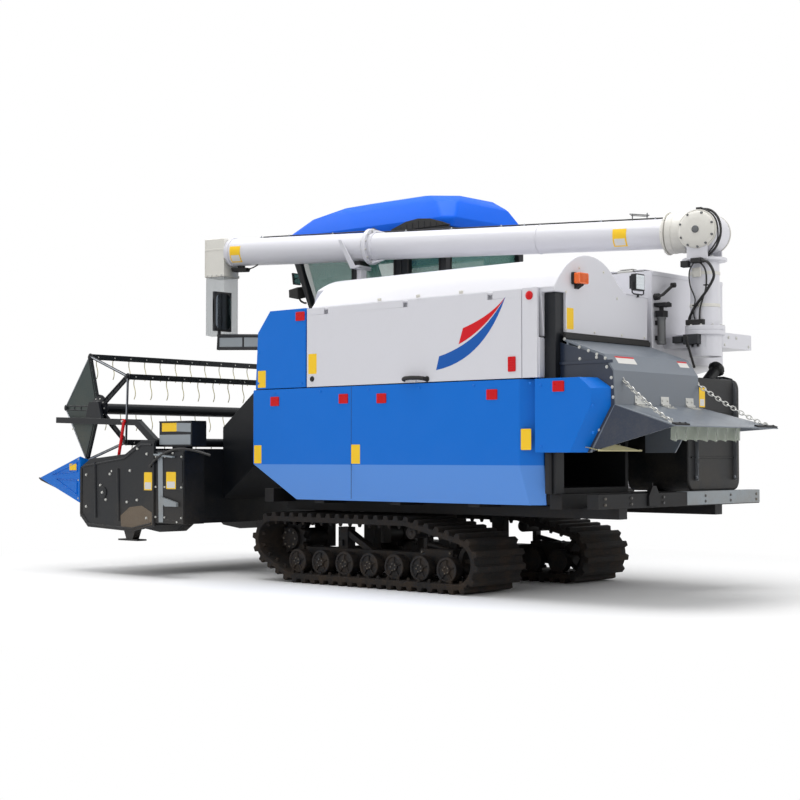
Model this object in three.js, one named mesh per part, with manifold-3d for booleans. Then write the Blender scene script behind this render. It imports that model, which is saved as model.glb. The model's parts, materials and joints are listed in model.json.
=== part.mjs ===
// A tracked combine harvester: crawler undercarriage, a threshing housing on the left, a cab and a
// grain tank on the right, a header with a tined reel in front and an unloading auger over the cab.
// Millimetres. +X is forward, +Y is the machine's left, +Z is up, and the tracks stand on Z = 0.
import * as THREE from 'three';
import { mergeVertices } from 'three/addons/utils/BufferGeometryUtils.js';
import { ConvexGeometry } from 'three/addons/geometries/ConvexGeometry.js';
import Module from 'manifold-3d';

const wasm = await Module();
wasm.setup();

// ---- driving dimensions ------------------------------------------------------------------------

const SEAT = 0.3; // gap between two pieces that touch
const CLEAR = 8; // running clearance of a moving piece
const SHEET = 18; // depth of a folded sheet-metal panel

const TRACK_GAUGE = 1200; // between the two track centres
const TRACK_WIDTH = 500;
const BELT = 35; // rubber belt
const LUG = 28; // height of a track lug
const LUG_PITCH = 90;
const WHEEL_R = 85; // road wheel
const WHEEL_FRONT = 640; // X of the first road wheel
const WHEEL_REAR = -735; // X of the last road wheel
const WHEEL_COUNT = 7;
const SPROCKET = { x: 845, r: 131 }; // drive sprocket, inside the belt
const TRACK_TOP = 460; // top of the belt, lugs left out
const IDLER = { x: -855, z: 195, r: 132 };
const CARRIER = { x: -420, r: 42 };

const RAIL_Y = 560; // chassis rail, to its middle
const RAIL = { w: 90, z0: 500, z1: 570 };
const DECK_TOP = 655; // top of the cross beams, where the bodywork stands
const REAR_X = -1650; // rear face of the bodywork
const BEAM_X = -1950; // rear cross beam, rear face

const HOUSING = { x0: REAR_X, x1: 860, y0: 60, y1: 905, z1: 1610 }; // threshing housing
const BAY = { depth: 620, z0: 690, z1: 1150, wall: 30 }; // open outlet in its rear

const COVER_Y = 950; // outer plane of the left side covers
const SEAM_Z = 1353; // between the upper and lower covers
const COVER_TOP = 1906;
const KNEE_Z = 830; // where the lower cover turns inwards
const SKIRT_Z = 583; // its bottom edge
const DOOR_FRONT = 390; // front edge of the white side door
const DOOR_REAR = -1480;
const DOOR_GAP = 6; // all round a door
const DOOR_PIN_R = 9;
const DOOR_LUGS = [-1250, -545, 180]; // X of its three hinges

const DRUM = { y: 556, z0: 1640, shoulder: 1912, top: 2125, x0: -1700, x1: 400, halfFoot: 508, r: 394 };

const HOOD = { y0: -105, y1: 835 }; // straw hood, between its side plates
const FLAP_PIN = { x: -2080, z: 1190 }; // hinge line of the deflector flap
const FLAP_REACH = 420;
const FLAP_DROP = 130;
const FLAP_FLARE = 235; // how far the flap's right corner stands out

const TANK = { x0: -1700, x1: -60, y0: -1050, y1: -150, z1: 2095 }; // grain tank
const FUEL = { x0: -1890, x1: -1420, y0: -935, y1: -275, z1: 1400 };
const ENGINE = { x0: 60, x1: 900, y0: -930, y1: -120, z0: 690, z1: 1150 };

const TUBE_R = 100; // unloading tube, which passes the cab's left side
const CAB = { x0: 30, y0: -1040, y1: -TUBE_R - 15, floor: 1180, eave: 2560 };
const CAB_FRONT = [[1380, 1180], [1440, 2040], [1640, 2480], [1640, 2560]]; // side view of its front
const CAB_SILL = 1760; // bottom of the rear and left windows
const CAB_HEAD = 2490; // top of the windows
const WALL = 40; // cab panel
const POST = 60; // cab post
const GLASS = 6;
const ROOF_TOP = 2850;

const FEEDER = { y0: 95, y1: 550, top: 1450, low: 990, frontTop: 1105, frontLow: 560 };
const HEADER_HALF = 1210; // half the header's width
const HEADER = { back: 1700, knife: 2600, floor: 400, topBack: 940, end: 12 };
const AUGER = { x: 1960, z: 655, r: 200, core: 130 };
const REEL = { x: 2520, z: 1252, r: 425, bats: 5, tilt: 2, half: 1100, tine: 180, tines: 14 };
const ARM_PIN = { x: 1770, z: 985 }; // reel arms' cross tube
const ARM_TUBE_R = 32;
const LIFT_PIN = { x: 1010, z: 1270 }; // header lift axis
const RAM = { y: -20, x: 860, z: 720, eyeX: 1260, eyeZ: 970, barrel: 265, overlap: 120 }; // lift cylinder

const POST_AXIS = { x: -1960, y: -380 }; // unloading auger post
const POST_R = 95;
const ELBOW_Z = 2345;
const TUBE_LENGTH = 3950; // from the elbow to the spout's middle
const TUBE_YAW = 11; // degrees to the left of straight ahead
const TUBE_RISE = 1.9; // degrees
const SADDLE_AT = 2610; // along the tube, where its two lengths are flanged together

const COLOURS = {
  blue: [0x0064c1, 0.35, 0.1],
  white: [0xd6d8dc, 0.4, 0.1],
  grey: [0x707e8d, 0.5, 0.2],
  black: [0x15181d, 0.55, 0.2],
  rubber: [0x17181a, 0.85, 0],
  steel: [0x8d9299, 0.4, 0.8],
  glass: [0x7fb0a8, 0.1, 0],
  clear: [0xc8ccd0, 0.2, 0],
  seat: [0x22252a, 0.9, 0],
};

// ---- helpers -----------------------------------------------------------------------------------

const group = new THREE.Group();
const rad = THREE.MathUtils.degToRad;

function material(name) {
  const [color, roughness, metalness] = COLOURS[name];
  return new THREE.MeshStandardMaterial({ color, roughness, metalness });
}

// A closed geometry with only its positions, ready for a boolean.
function welded(geometry) {
  const bare = geometry.index ? geometry.toNonIndexed() : geometry.clone();
  for (const key of Object.keys(bare.attributes)) {
    if (key !== 'position') bare.deleteAttribute(key);
  }
  bare.clearGroups();
  return mergeVertices(bare, 1e-3);
}

function solid(geometry) {
  const g = welded(geometry);
  return new wasm.Manifold(
    new wasm.Mesh({
      numProp: 3,
      vertProperties: new Float32Array(g.attributes.position.array),
      triVerts: new Uint32Array(g.index.array),
    }),
  );
}

function geometryOf(manifold) {
  const mesh = manifold.getMesh();
  const g = new THREE.BufferGeometry();
  g.setAttribute('position', new THREE.BufferAttribute(new Float32Array(mesh.vertProperties), 3));
  g.setIndex(new THREE.BufferAttribute(new Uint32Array(mesh.triVerts), 1));
  return g;
}

function unite(...parts) {
  return parts.flat().reduce((a, b) => a.add(b));
}

function cut(body, ...tools) {
  return tools.flat().reduce((a, b) => a.subtract(b), body);
}

function block(x0, x1, y0, y1, z0, z1) {
  const g = new THREE.BoxGeometry(x1 - x0, y1 - y0, z1 - z0);
  return solid(g.translate((x0 + x1) / 2, (y0 + y1) / 2, (z0 + z1) / 2));
}

// An outline of [x, z] points, holes likewise, drawn out from Y = y0 to y1.
function slabXZ(outline, y0, y1, holes = []) {
  const shape = new THREE.Shape(outline.map(([x, z]) => new THREE.Vector2(x, z)));
  for (const hole of holes) shape.holes.push(new THREE.Path(hole.map(([x, z]) => new THREE.Vector2(x, z))));
  const g = new THREE.ExtrudeGeometry(shape, { depth: y1 - y0, bevelEnabled: false, curveSegments: 16 });
  return solid(g.rotateX(Math.PI / 2).translate(0, y1, 0));
}

// An outline of [y, z] points drawn out from X = x0 to x1.
function slabYZ(outline, x0, x1, holes = []) {
  const shape = new THREE.Shape(outline.map(([y, z]) => new THREE.Vector2(y, z)));
  for (const hole of holes) shape.holes.push(new THREE.Path(hole.map(([y, z]) => new THREE.Vector2(y, z))));
  const g = new THREE.ExtrudeGeometry(shape, { depth: x1 - x0, bevelEnabled: false, curveSegments: 16 });
  return solid(g.rotateX(Math.PI / 2).rotateZ(Math.PI / 2).translate(x0, 0, 0));
}

// An outline of [x, y] points drawn up from Z = z0 to z1.
function slabXY(outline, z0, z1) {
  const shape = new THREE.Shape(outline.map(([x, y]) => new THREE.Vector2(x, y)));
  const g = new THREE.ExtrudeGeometry(shape, { depth: z1 - z0, bevelEnabled: false, curveSegments: 16 });
  return solid(g.translate(0, 0, z0));
}

function hull(points) {
  return solid(new ConvexGeometry(points.map(([x, y, z]) => new THREE.Vector3(x, y, z))));
}

// A round bar from point a to point b.
function bar(a, b, r, sides = 14, rEnd = r) {
  const from = new THREE.Vector3(...a);
  const along = new THREE.Vector3(...b).sub(from);
  const g = new THREE.CylinderGeometry(rEnd, r, along.length(), sides);
  const turn = new THREE.Quaternion().setFromUnitVectors(new THREE.Vector3(0, 1, 0), along.clone().normalize());
  g.applyQuaternion(turn);
  return solid(g.translate(from.x + along.x / 2, from.y + along.y / 2, from.z + along.z / 2));
}

// A square bar of width w (level) and height h from point a to point b.
function beam(a, b, w, h = w) {
  const from = new THREE.Vector3(...a);
  const along = new THREE.Vector3(...b).sub(from);
  const x = along.clone().normalize();
  const up = Math.abs(x.z) > 0.95 ? new THREE.Vector3(1, 0, 0) : new THREE.Vector3(0, 0, 1);
  const y = new THREE.Vector3().crossVectors(up, x).normalize();
  const z = new THREE.Vector3().crossVectors(x, y);
  const g = new THREE.BoxGeometry(along.length(), w, h);
  g.applyMatrix4(new THREE.Matrix4().makeBasis(x, y, z));
  return solid(g.translate(from.x + along.x / 2, from.y + along.y / 2, from.z + along.z / 2));
}

// A closed ring: an outer and an inner radius, about the Y axis through (x, z).
function ringY(x, z, rOut, rIn, y0, y1, sides = 40) {
  return cut(bar([x, y0, z], [x, y1, z], rOut, sides), bar([x, y0 - 1, z], [x, y1 + 1, z], rIn, sides));
}

// Points of an arc in a plane, from angle a0 to a1 in degrees.
function arc(cx, cy, r, a0, a1, steps) {
  return Array.from({ length: steps + 1 }, (_, i) => {
    const a = rad(a0 + ((a1 - a0) * i) / steps);
    return [cx + r * Math.cos(a), cy + r * Math.sin(a)];
  });
}


function add(name, colour, manifold, parent = group) {
  const mesh = new THREE.Mesh(geometryOf(manifold), material(colour));
  mesh.name = name;
  parent.add(mesh);
  return mesh;
}

// ---- undercarriage -----------------------------------------------------------------------------

const BED = LUG + BELT; // inner face of the belt's bottom run
const sprocketZ = TRACK_TOP - BELT - SPROCKET.r;
const carrierZ = TRACK_TOP - BELT - CARRIER.r - SEAT;
const wheelZ = BED + WHEEL_R - 1 + SEAT;
const LEG_Y = 290; // the legs that join track frame and chassis stand inboard of the belt
const LEG_XS = [380, -330];
const wheelXs = Array.from(
  { length: WHEEL_COUNT },
  (_, i) => WHEEL_FRONT + ((WHEEL_REAR - WHEEL_FRONT) * i) / (WHEEL_COUNT - 1),
);

// The belt runs round the sprocket, the end wheels, the idler and the carrier roller.
function beltPath(grow) {
  const turns = [
    [SPROCKET.x, sprocketZ, SPROCKET.r],
    [wheelXs[0], BED + WHEEL_R, WHEEL_R],
    [wheelXs.at(-1), BED + WHEEL_R, WHEEL_R],
    [IDLER.x, IDLER.z, IDLER.r],
    [CARRIER.x, carrierZ + SEAT, CARRIER.r],
  ];
  const points = turns.flatMap(([x, z, r]) => arc(x, z, r + grow, 0, 350, 35));
  points.sort((a, b) => a[0] - b[0] || a[1] - b[1]);
  const half = (list) => {
    const out = [];
    for (const p of list) {
      while (out.length > 1) {
        const [a, b] = out.slice(-2);
        if ((b[0] - a[0]) * (p[1] - a[1]) - (b[1] - a[1]) * (p[0] - a[0]) > 1e-6) break;
        out.pop();
      }
      out.push(p);
    }
    out.pop();
    return out;
  };
  return [...half(points), ...half([...points].reverse())];
}

// The outline of belt and lugs: each lug rises from the belt over a short ramp.
function lugOutline() {
  const path = beltPath(BELT);
  const lengths = path.map((p, i) => Math.hypot(...path[(i + 1) % path.length].map((v, k) => v - p[k])));
  const total = lengths.reduce((a, b) => a + b);
  const count = Math.round(total / LUG_PITCH);
  const at = (s, out) => {
    let left = ((s % total) + total) % total;
    let i = 0;
    while (left > lengths[i]) left -= lengths[i++];
    const [a, b] = [path[i], path[(i + 1) % path.length]];
    const [dx, dz] = [(b[0] - a[0]) / lengths[i], (b[1] - a[1]) / lengths[i]];
    return [a[0] + dx * left + dz * out, Math.max(a[1] + dz * left - dx * out, 0)];
  };
  const points = [];
  for (let i = 0; i < count; i++) {
    const s = (i * total) / count;
    const step = total / count;
    points.push(at(s, 0), at(s + step * 0.1, LUG), at(s + step * 0.45, LUG), at(s + step * 0.55, 0));
    points.push(at(s + step * 0.78, 0));
  }
  return points;
}

function undercarriage(side, label) {
  const yMid = (side * TRACK_GAUGE) / 2;
  const y0 = yMid - TRACK_WIDTH / 2;
  const y1 = yMid + TRACK_WIDTH / 2;
  add(`${label}_track`, 'rubber', slabXZ(lugOutline(), y0, y1, [beltPath(0)]));

  const wheelHalf = 0.36 * TRACK_WIDTH;
  const wheels = wheelXs.map((x) =>
    unite(
      bar([x, yMid - wheelHalf + 20, wheelZ], [x, yMid + wheelHalf - 20, wheelZ], 22, 8),
      [-1, 1].map((s) => {
        const face = yMid + s * wheelHalf;
        return bar([x, face - s * 62, wheelZ], [x, face, wheelZ], WHEEL_R - 1, 14);
      }),
    ),
  );
  const spine = block(wheelXs.at(-1) - 40, wheelXs[0] + 40, yMid - 60, yMid + 60, wheelZ - 30, wheelZ + 95);
  const rearBox = block(-700, -420, yMid - 75, yMid + 75, wheelZ - 20, wheelZ + 125);
  const inboard = side * LEG_Y;
  const legs = LEG_XS.map((x) => {
    const [a, b] = [yMid, inboard - side * 35].sort((p, q) => p - q);
    return unite(
      block(x - 55, x + 55, a, b, wheelZ + 20, wheelZ + 100),
      block(x - 50, x + 50, inboard - 35, inboard + 35, wheelZ + 20, RAIL.z1 - 10 - SEAT),
    );
  });
  const brace = beam([330, yMid, TRACK_TOP - BELT - 60], [40, yMid, wheelZ + 60], 60, 40);
  const braceFoot = block(290, 380, yMid - 40, yMid + 40, wheelZ + 60, TRACK_TOP - BELT - 35);
  const carrier = unite(
    bar([CARRIER.x, yMid - 170, carrierZ], [CARRIER.x, yMid + 170, carrierZ], CARRIER.r, 14),
    block(CARRIER.x - 16, CARRIER.x + 16, yMid - 30, yMid + 30, wheelZ + 60, carrierZ),
  );
  const idlerYoke = beam([-690, yMid, wheelZ + 40], [IDLER.x, yMid, IDLER.z], 130, 70);
  const idlerGap = bar([IDLER.x, yMid - 90, IDLER.z], [IDLER.x, yMid + 90, IDLER.z], IDLER.r + CLEAR, 24);
  const frame = cut(unite(wheels, spine, rearBox, legs, brace, braceFoot, carrier, idlerYoke), idlerGap);
  add(`${label}_track_frame`, 'black', frame);

  // The sprocket hangs on its final drive, which stands on the chassis rail.
  const teeth = 12;
  const rim = Array.from({ length: teeth * 4 }, (_, i) => {
    const r = SPROCKET.r - 2 - (i % 4 < 2 ? 0 : 26);
    return arc(SPROCKET.x, sprocketZ, r, (i * 90) / teeth, 0, 1)[0];
  });
  const drive = unite(
    slabXZ(rim, yMid - 25, yMid + 25),
    bar([SPROCKET.x, yMid - side * 110, sprocketZ], [SPROCKET.x, yMid + side * 60, sprocketZ], 78, 24),
  );
  add(`${label}_sprocket`, 'black', drive);
  const idler = unite(
    ringY(IDLER.x, IDLER.z, IDLER.r - 1, IDLER.r - 34, yMid - 55, yMid + 55, 24),
    bar([IDLER.x, yMid - 45, IDLER.z], [IDLER.x, yMid + 45, IDLER.z], 40, 14),
    [0, 60, 120].map((a) => {
      const [dx, dz] = [Math.cos(rad(a)) * (IDLER.r - 20), Math.sin(rad(a)) * (IDLER.r - 20)];
      return beam([IDLER.x - dx, yMid, IDLER.z - dz], [IDLER.x + dx, yMid, IDLER.z + dz], 50, 26);
    }),
  );
  add(`${label}_idler`, 'black', idler);
}

undercarriage(1, 'left');
undercarriage(-1, 'right');

// ---- chassis -----------------------------------------------------------------------------------

// Two rails and cross beams, with the lift cylinder's bracket on the front one; a final drive case comes down to each sprocket's hub, inboard of it.
function chassis() {
  const rails = [-1, 1].map((s) =>
    block(BEAM_X + 5, SPROCKET.x + 90, s * RAIL_Y - RAIL.w / 2, s * RAIL_Y + RAIL.w / 2, RAIL.z0, RAIL.z1),
  );
  const crossXs = [SPROCKET.x + 40, ...LEG_XS, -1000, -1640];
  const crosses = crossXs.map((x) => block(x - 45, x + 45, -930, 830, RAIL.z1 - 10, DECK_TOP));
  const rear = block(BEAM_X, BEAM_X + 80, -1090, 830, RAIL.z1 - 5, DECK_TOP);
  const cases = [-1, 1].map((s) => {
    const y = (s * TRACK_GAUGE) / 2;
    const hubEnd = y - s * (110 + SEAT);
    const outside = s * (TRACK_GAUGE / 2 - TRACK_WIDTH / 2 - CLEAR);
    return unite(
      bar([SPROCKET.x, outside, sprocketZ], [SPROCKET.x, hubEnd, sprocketZ], 70, 24),
      block(SPROCKET.x - 70, SPROCKET.x + 70, Math.min(outside, s * 260), Math.max(outside, s * 260), sprocketZ - 70, DECK_TOP - 40),
    );
  });
  const ramBracket = unite(
    [-1, 1].map((n) => block(RAM.x - 25, RAM.x + 12, RAM.y + n * 24 - 5, RAM.y + n * 24 + 5, DECK_TOP - 5, RAM.z + 12)),
    bar([RAM.x, RAM.y - 28, RAM.z], [RAM.x, RAM.y + 28, RAM.z], 12, 20),
  );
  return unite(rails, crosses, rear, cases, ramBracket);
}
add('chassis_frame', 'black', chassis());

// ---- threshing housing and its covers ----------------------------------------------------------

const H = HOUSING;
const bodyFoot = DECK_TOP + SEAT;

const CORNER_X = -1450; // the housing steps in behind here, where the covers turn inwards
const CORNER_Y = 790;

// The housing is closed except for the outlet at its rear, under the straw hood.
function housing() {
  const section = [[H.y0, bodyFoot], [H.y1 - 85, bodyFoot], [H.y1, KNEE_Z + 40], [H.y1, H.z1], [H.y0, H.z1]];
  const body = slabYZ(section, H.x0, H.x1);
  const outlet = block(H.x0 - 1, H.x0 + BAY.depth, H.y0 + BAY.wall, CORNER_Y - BAY.wall, BAY.z0, BAY.z1);
  const nose = hull([[H.x1 + 1, 700, 0], [H.x1 + 1, 700, KNEE_Z], [H.x1 + 1, 1000, 0], [H.x1 + 1, 1000, KNEE_Z], [560, 700, 560], [560, 1000, 560]]);
  const corner = block(H.x0 - 1, CORNER_X, CORNER_Y, H.y1 + 1, bodyFoot - 1, H.z1 + 1);
  // Two ears on the front wall hold the feeder house's stub shafts.
  const ears = [FEEDER.y0 - CLEAR - 20, FEEDER.y1 + CLEAR].map((y) =>
    block(H.x1 - 5, LIFT_PIN.x + 45, y, y + 20, LIFT_PIN.z - 45, LIFT_PIN.z + 45),
  );
  return unite(cut(body, outlet, corner, nose), ears);
}
add('threshing_housing', 'black', housing());

const coverInner = H.y1 + SEAT;
const facetIn = 90; // how far the rear edges turn inwards

// Upper front cover, blue, with its top front corner cut off.
function frontCover() {
  const outline = [
    [DOOR_FRONT + DOOR_GAP, SEAM_Z + DOOR_GAP], [900, SEAM_Z + DOOR_GAP], [877, 1759],
    [753, COVER_TOP], [DOOR_FRONT + DOOR_GAP, COVER_TOP],
  ];
  const back = [
    [DOOR_FRONT + DOOR_GAP, H.z1 + SEAT], [H.x1, H.z1 + SEAT], [H.x1 - 40, 1730],
    [720, COVER_TOP - SHEET], [DOOR_FRONT + DOOR_GAP, COVER_TOP - SHEET],
  ];
  const flange = slabXZ([[DOOR_FRONT + DOOR_GAP, H.z1 + SEAT], [H.x1, H.z1 + SEAT],
    [820, 1740], [735, COVER_TOP - 10], [DOOR_FRONT + DOOR_GAP, COVER_TOP - 10]], H.y1 - 60, COVER_Y - 2);
  const hollow = slabXZ(back.map(([x, z]) => [x - 1, z - (z > H.z1 + 1 ? 20 : 0)]), H.y1 - 61, COVER_Y - SHEET);
  return unite(slabXZ(outline, coverInner, COVER_Y), cut(flange, hollow));
}
add('front_side_cover', 'blue', frontCover());

// Lower cover, blue: a flat side, a skirt that slants inwards, and a corner that turns in at the rear.
function lowerCover() {
  const top = SEAM_Z;
  const inY = H.y1 + SEAT;
  const front = 924;
  const rear = -1455;
  const cornerX = -1575;
  const skirtY = COVER_Y - 75;
  const outer = hull([
    [front, COVER_Y, top], [front, COVER_Y, KNEE_Z], [560, skirtY, SKIRT_Z],
    [rear, COVER_Y, top], [rear, COVER_Y, KNEE_Z], [-1476, skirtY, SKIRT_Z],
    [cornerX, COVER_Y - facetIn, top], [cornerX, COVER_Y - facetIn, KNEE_Z],
    [-1560, skirtY - 60, SKIRT_Z], [front, inY - 60, top], [front, inY - 60, KNEE_Z],
    [560, inY - 80, SKIRT_Z], [cornerX, inY - 80, top], [-1560, inY - 90, SKIRT_Z],
  ]);
  const inner = hull([
    [front - 12, inY, top + 1], [front - 12, inY, KNEE_Z + 4], [570, skirtY - SHEET, SKIRT_Z - 1],
    [rear, inY, top + 1], [rear, inY, KNEE_Z + 4], [-1470, skirtY - SHEET, SKIRT_Z - 1],
    [cornerX - 1, H.y1 - 60, top + 1], [cornerX - 1, H.y1 - 60, KNEE_Z], [-1562, skirtY - 85, SKIRT_Z - 1],
    [front - 12, 700, top + 1], [front - 12, 700, KNEE_Z], [560, 700, SKIRT_Z - 1],
    [cornerX - 1, 700, top + 1], [-1562, 700, SKIRT_Z - 1],
  ]);
  return cut(outer, inner);
}
add('lower_side_cover', 'blue', lowerCover());

// Rear side cover, blue, in front of the hood's foot, with its outer corners cut and turned inwards.
function rearCover() {
  const y = COVER_Y;
  const inY = coverInner;
  const x0 = -1575 - SEAT;
  const face = [[x0, 1350], [-1900, 1350], [-1985, 1280], [-1985, 1190], [-1830, 905], [x0, 905]];
  const turned = [[x0, 1350], [-1955, 1350], [-2050, 1290], [-2050, 1180], [-1880, 905], [x0, 905]];
  const outer = hull([
    ...face.map(([x, z]) => [x, y, z]), ...turned.map(([x, z]) => [x, HOOD.y1 + SEAT, z]),
  ]);
  const inner = hull([
    ...face.map(([x, z]) => [Math.min(x + 10, x0 + 1), inY, z]),
    ...turned.map(([x, z]) => [Math.min(x + 14, x0 + 1), HOOD.y1, z]),
  ]);
  return cut(outer, inner);
}
add('rear_side_cover', 'blue', rearCover());

// The white side door is hinged along its top edge; a grip is let into its bottom edge.
const doorTop = COVER_TOP - DOOR_GAP;
const doorFoot = SEAM_Z + DOOR_GAP;
const doorAxis = { y: COVER_Y - SHEET / 2, z: doorTop - 8 };
const lugWidth = 40;
function sideDoor() {
  const skin = block(DOOR_REAR + DOOR_GAP, DOOR_FRONT - DOOR_GAP, COVER_Y - SHEET, COVER_Y, doorFoot, doorTop - 45);
  const lip = block(DOOR_REAR + DOOR_GAP, DOOR_FRONT - DOOR_GAP, COVER_Y - SHEET + 2, COVER_Y, doorTop - 46, doorTop);
  const notches = DOOR_LUGS.map((x) => block(x, x + lugWidth, COVER_Y - 40, COVER_Y + 1, doorTop - 45, doorTop + 1));
  const grip = block(-630, -480, COVER_Y - 1, COVER_Y + 16, doorFoot, doorFoot + 26);
  return unite(cut(skin.add(lip), notches), grip);
}
add('side_door', 'white', sideDoor());

// Square post at the rear left corner, in a notch of the drum cover.
const POST_BOX = { x0: -1682, x1: -1600, y0: 800, y1: 885, top: 1875 };
const P = POST_BOX;
add('rear_post', 'black', block(P.x0, P.x1, P.y0, P.y1, bodyFoot, P.top));

// Narrow white panel behind the door, and the ledge over it that carries the door's hinges.
function cornerPanel() {
  const skin = block(-1594, DOOR_REAR, COVER_Y - SHEET, COVER_Y, doorFoot, COVER_TOP);
  const back = block(P.x1 + SEAT, DOOR_REAR - 60, P.y1 - 15, COVER_Y - SHEET + 1, doorFoot, H.z1 - 8);
  return unite(skin, back);
}
add('corner_panel', 'white', cornerPanel());

// ---- drum cover, rear post, hood and flap ------------------------------------------------------

// White half barrel over the threshing drum; its front end is sloped, its rear end is flat.
function drumCover() {
  const foot = H.z1 + SEAT;
  const left = DRUM.y + DRUM.halfFoot - 174;
  const profile = (grow) => [
    [-96 + grow, foot], [left - grow, foot], [left - grow, 1640], [COVER_Y - SHEET - CLEAR - 4 - grow, 1905 - grow],
    ...arc(DRUM.y, DRUM.top - DRUM.r, DRUM.r - grow, 38, 142, 14),
    [168 - grow, 1924 - grow], [-104 + grow, DRUM.shoulder - grow],
  ];
  const whole = slabYZ(profile(0), DRUM.x0, DRUM.x1 + 60);
  const nose = hull([
    [DRUM.x1 - 40, -400, 2200], [DRUM.x1 + 120, -400, 1840], [DRUM.x1 + 120, -400, 2200],
    [DRUM.x1 - 40, 1100, 2200], [DRUM.x1 + 120, 1100, 1840], [DRUM.x1 + 120, 1100, 2200],
  ]);
  const notch = block(DRUM.x0 - 1, P.x1 + SEAT, P.y0 - SEAT, COVER_Y, foot - 1, P.top + SEAT);
  const front = block(DOOR_FRONT - 20, 1000, P.y0, COVER_Y, foot - 1, 2200);
  const lugs = DOOR_LUGS.map((x) => {
    const [a, b] = [x + SEAT, x + lugWidth - SEAT];
    return unite(
      bar([a, doorAxis.y, doorAxis.z], [b, doorAxis.y, doorAxis.z], DOOR_PIN_R, 16),
      block(a, b, 880, doorAxis.y, doorAxis.z - 6, doorAxis.z + 6),
    );
  });
  return unite(cut(whole, nose, notch, front), lugs);
}
add('drum_cover', 'white', drumCover());

// Folded hood over the straw outlet: two side plates and a roof in four folds, open below and behind.
const hoodFolds = [[-1702, 1596], [-2000, 1490], [-2070, 1390], [FLAP_PIN.x, FLAP_PIN.z]];
function strawHood() {
  const t = 14;
  const under = hoodFolds.map(([x, z], i) => [i ? x + t : x, z - t]);
  const roof = slabXZ([...hoodFolds, ...[...under].reverse()], HOOD.y0, HOOD.y1);
  const wallOutline = [[P.x0 - SEAT, 1570], ...hoodFolds.slice(1).map(([x, z]) => [x + 4, z - 4]), [-1905, 905], [P.x0 - SEAT, 905]];
  const walls = [HOOD.y0, HOOD.y1 - t].map((y) => slabXZ(wallOutline, y, y + t));
  const front = block(-1742, -1728, HOOD.y0, HOOD.y1, 1180, 1575);
  return unite(roof, walls, front);
}
add('straw_hood', 'grey', strawHood());

// The flap hangs from the hood's rear edge and flares to the right; a cheek closes each side of it.
const flapX = FLAP_PIN.x - SEAT;
const flapTip = flapX - FLAP_REACH;
const flapT = 8;
function deflectorFlap() {
  const right = HOOD.y0;
  const left = HOOD.y1 + 15;
  const corners = [
    [flapX, left, FLAP_PIN.z], [flapX, right, FLAP_PIN.z],
    [flapTip, left, FLAP_PIN.z - FLAP_DROP], [flapTip, right - FLAP_FLARE, FLAP_PIN.z - FLAP_DROP],
  ];
  const panel = hull([...corners, ...corners.map(([x, y, z]) => [x, y, z - flapT])]);
  const cheek = [[flapX, FLAP_PIN.z - 2], [flapTip + 10, FLAP_PIN.z - FLAP_DROP - 5], [-1905, 907]];
  const leftCheek = slabXZ(cheek, HOOD.y1 + 3, left);
  const rightCheek = hull([
    [flapX - 8, right - 2, FLAP_PIN.z - 4], [flapTip + 10, right - FLAP_FLARE + 4, FLAP_PIN.z - FLAP_DROP - 5],
    [flapX - 8, right - 2, FLAP_PIN.z - 170], [flapX - 8, right - 10, FLAP_PIN.z - 4],
    [flapTip + 10, right - FLAP_FLARE + 12, FLAP_PIN.z - FLAP_DROP - 5], [flapX - 8, right - 10, FLAP_PIN.z - 170],
  ]);
  return unite(panel, leftCheek, rightCheek);
}
add('deflector_flap', 'grey', deflectorFlap());

const CURTAIN = { x: -2350, y0: -130, y1: 670, z0: 975, t: 6 };
const curtainTop = FLAP_PIN.z - flapT - ((flapX - CURTAIN.x + CURTAIN.t) * FLAP_DROP) / FLAP_REACH - SEAT;
add('rubber_curtain', 'clear', block(CURTAIN.x - CURTAIN.t, CURTAIN.x, CURTAIN.y0, CURTAIN.y1, CURTAIN.z0, curtainTop));

// ---- fuel tank, grain tank, engine -------------------------------------------------------------

// Moulded tank with round corners, standing on the cross beams, and its slanted filler neck.
function fuelTank() {
  const r = 70;
  const [y0, y1, z0, z1] = [FUEL.y0, FUEL.y1, bodyFoot, FUEL.z1];
  const section = [
    ...arc(y1 - r, z0 + r, r, -90, 0, 6), ...arc(y1 - r, z1 - r, r, 0, 90, 6),
    ...arc(y0 + r, z1 - r, r, 90, 180, 6), ...arc(y0 + r, z0 + r, r, 180, 270, 6),
  ];
  const neck = bar([-1790, -620, FUEL.z1 - 60], [-1820, -760, FUEL.z1 + 75], 38, 20);
  const cap = bar([-1816, -745, FUEL.z1 + 60], [-1824, -778, FUEL.z1 + 92], 50, 20);
  return unite(slabYZ(section, FUEL.x0, FUEL.x1), neck, cap);
}
add('fuel_tank', 'black', fuelTank());

// Closed bin whose floor falls to a trough for its unloading screw; the roof is ridged.
function grainTank() {
  const side = [
    [TANK.x1, TANK.z1], [TANK.x0, TANK.z1], [TANK.x0, 1500], [FUEL.x1 + 20, FUEL.z1 + 40], [FUEL.x1 + 20, 1100], [-1000, bodyFoot],
    [-800, bodyFoot], [-330, 1010], [TANK.x1, 1200],
  ];
  const lid = block(TANK.x0 + 120, TANK.x1 - 120, TANK.y0 + 90, TANK.y1 - 90, TANK.z1 - 1, TANK.z1 + 22);
  return unite(slabXZ(side, TANK.y0, TANK.y1), lid);
}
add('grain_tank', 'white', grainTank());

add('engine_block', 'black', block(ENGINE.x0, ENGINE.x1, ENGINE.y0, ENGINE.y1, bodyFoot, ENGINE.z1));

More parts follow.
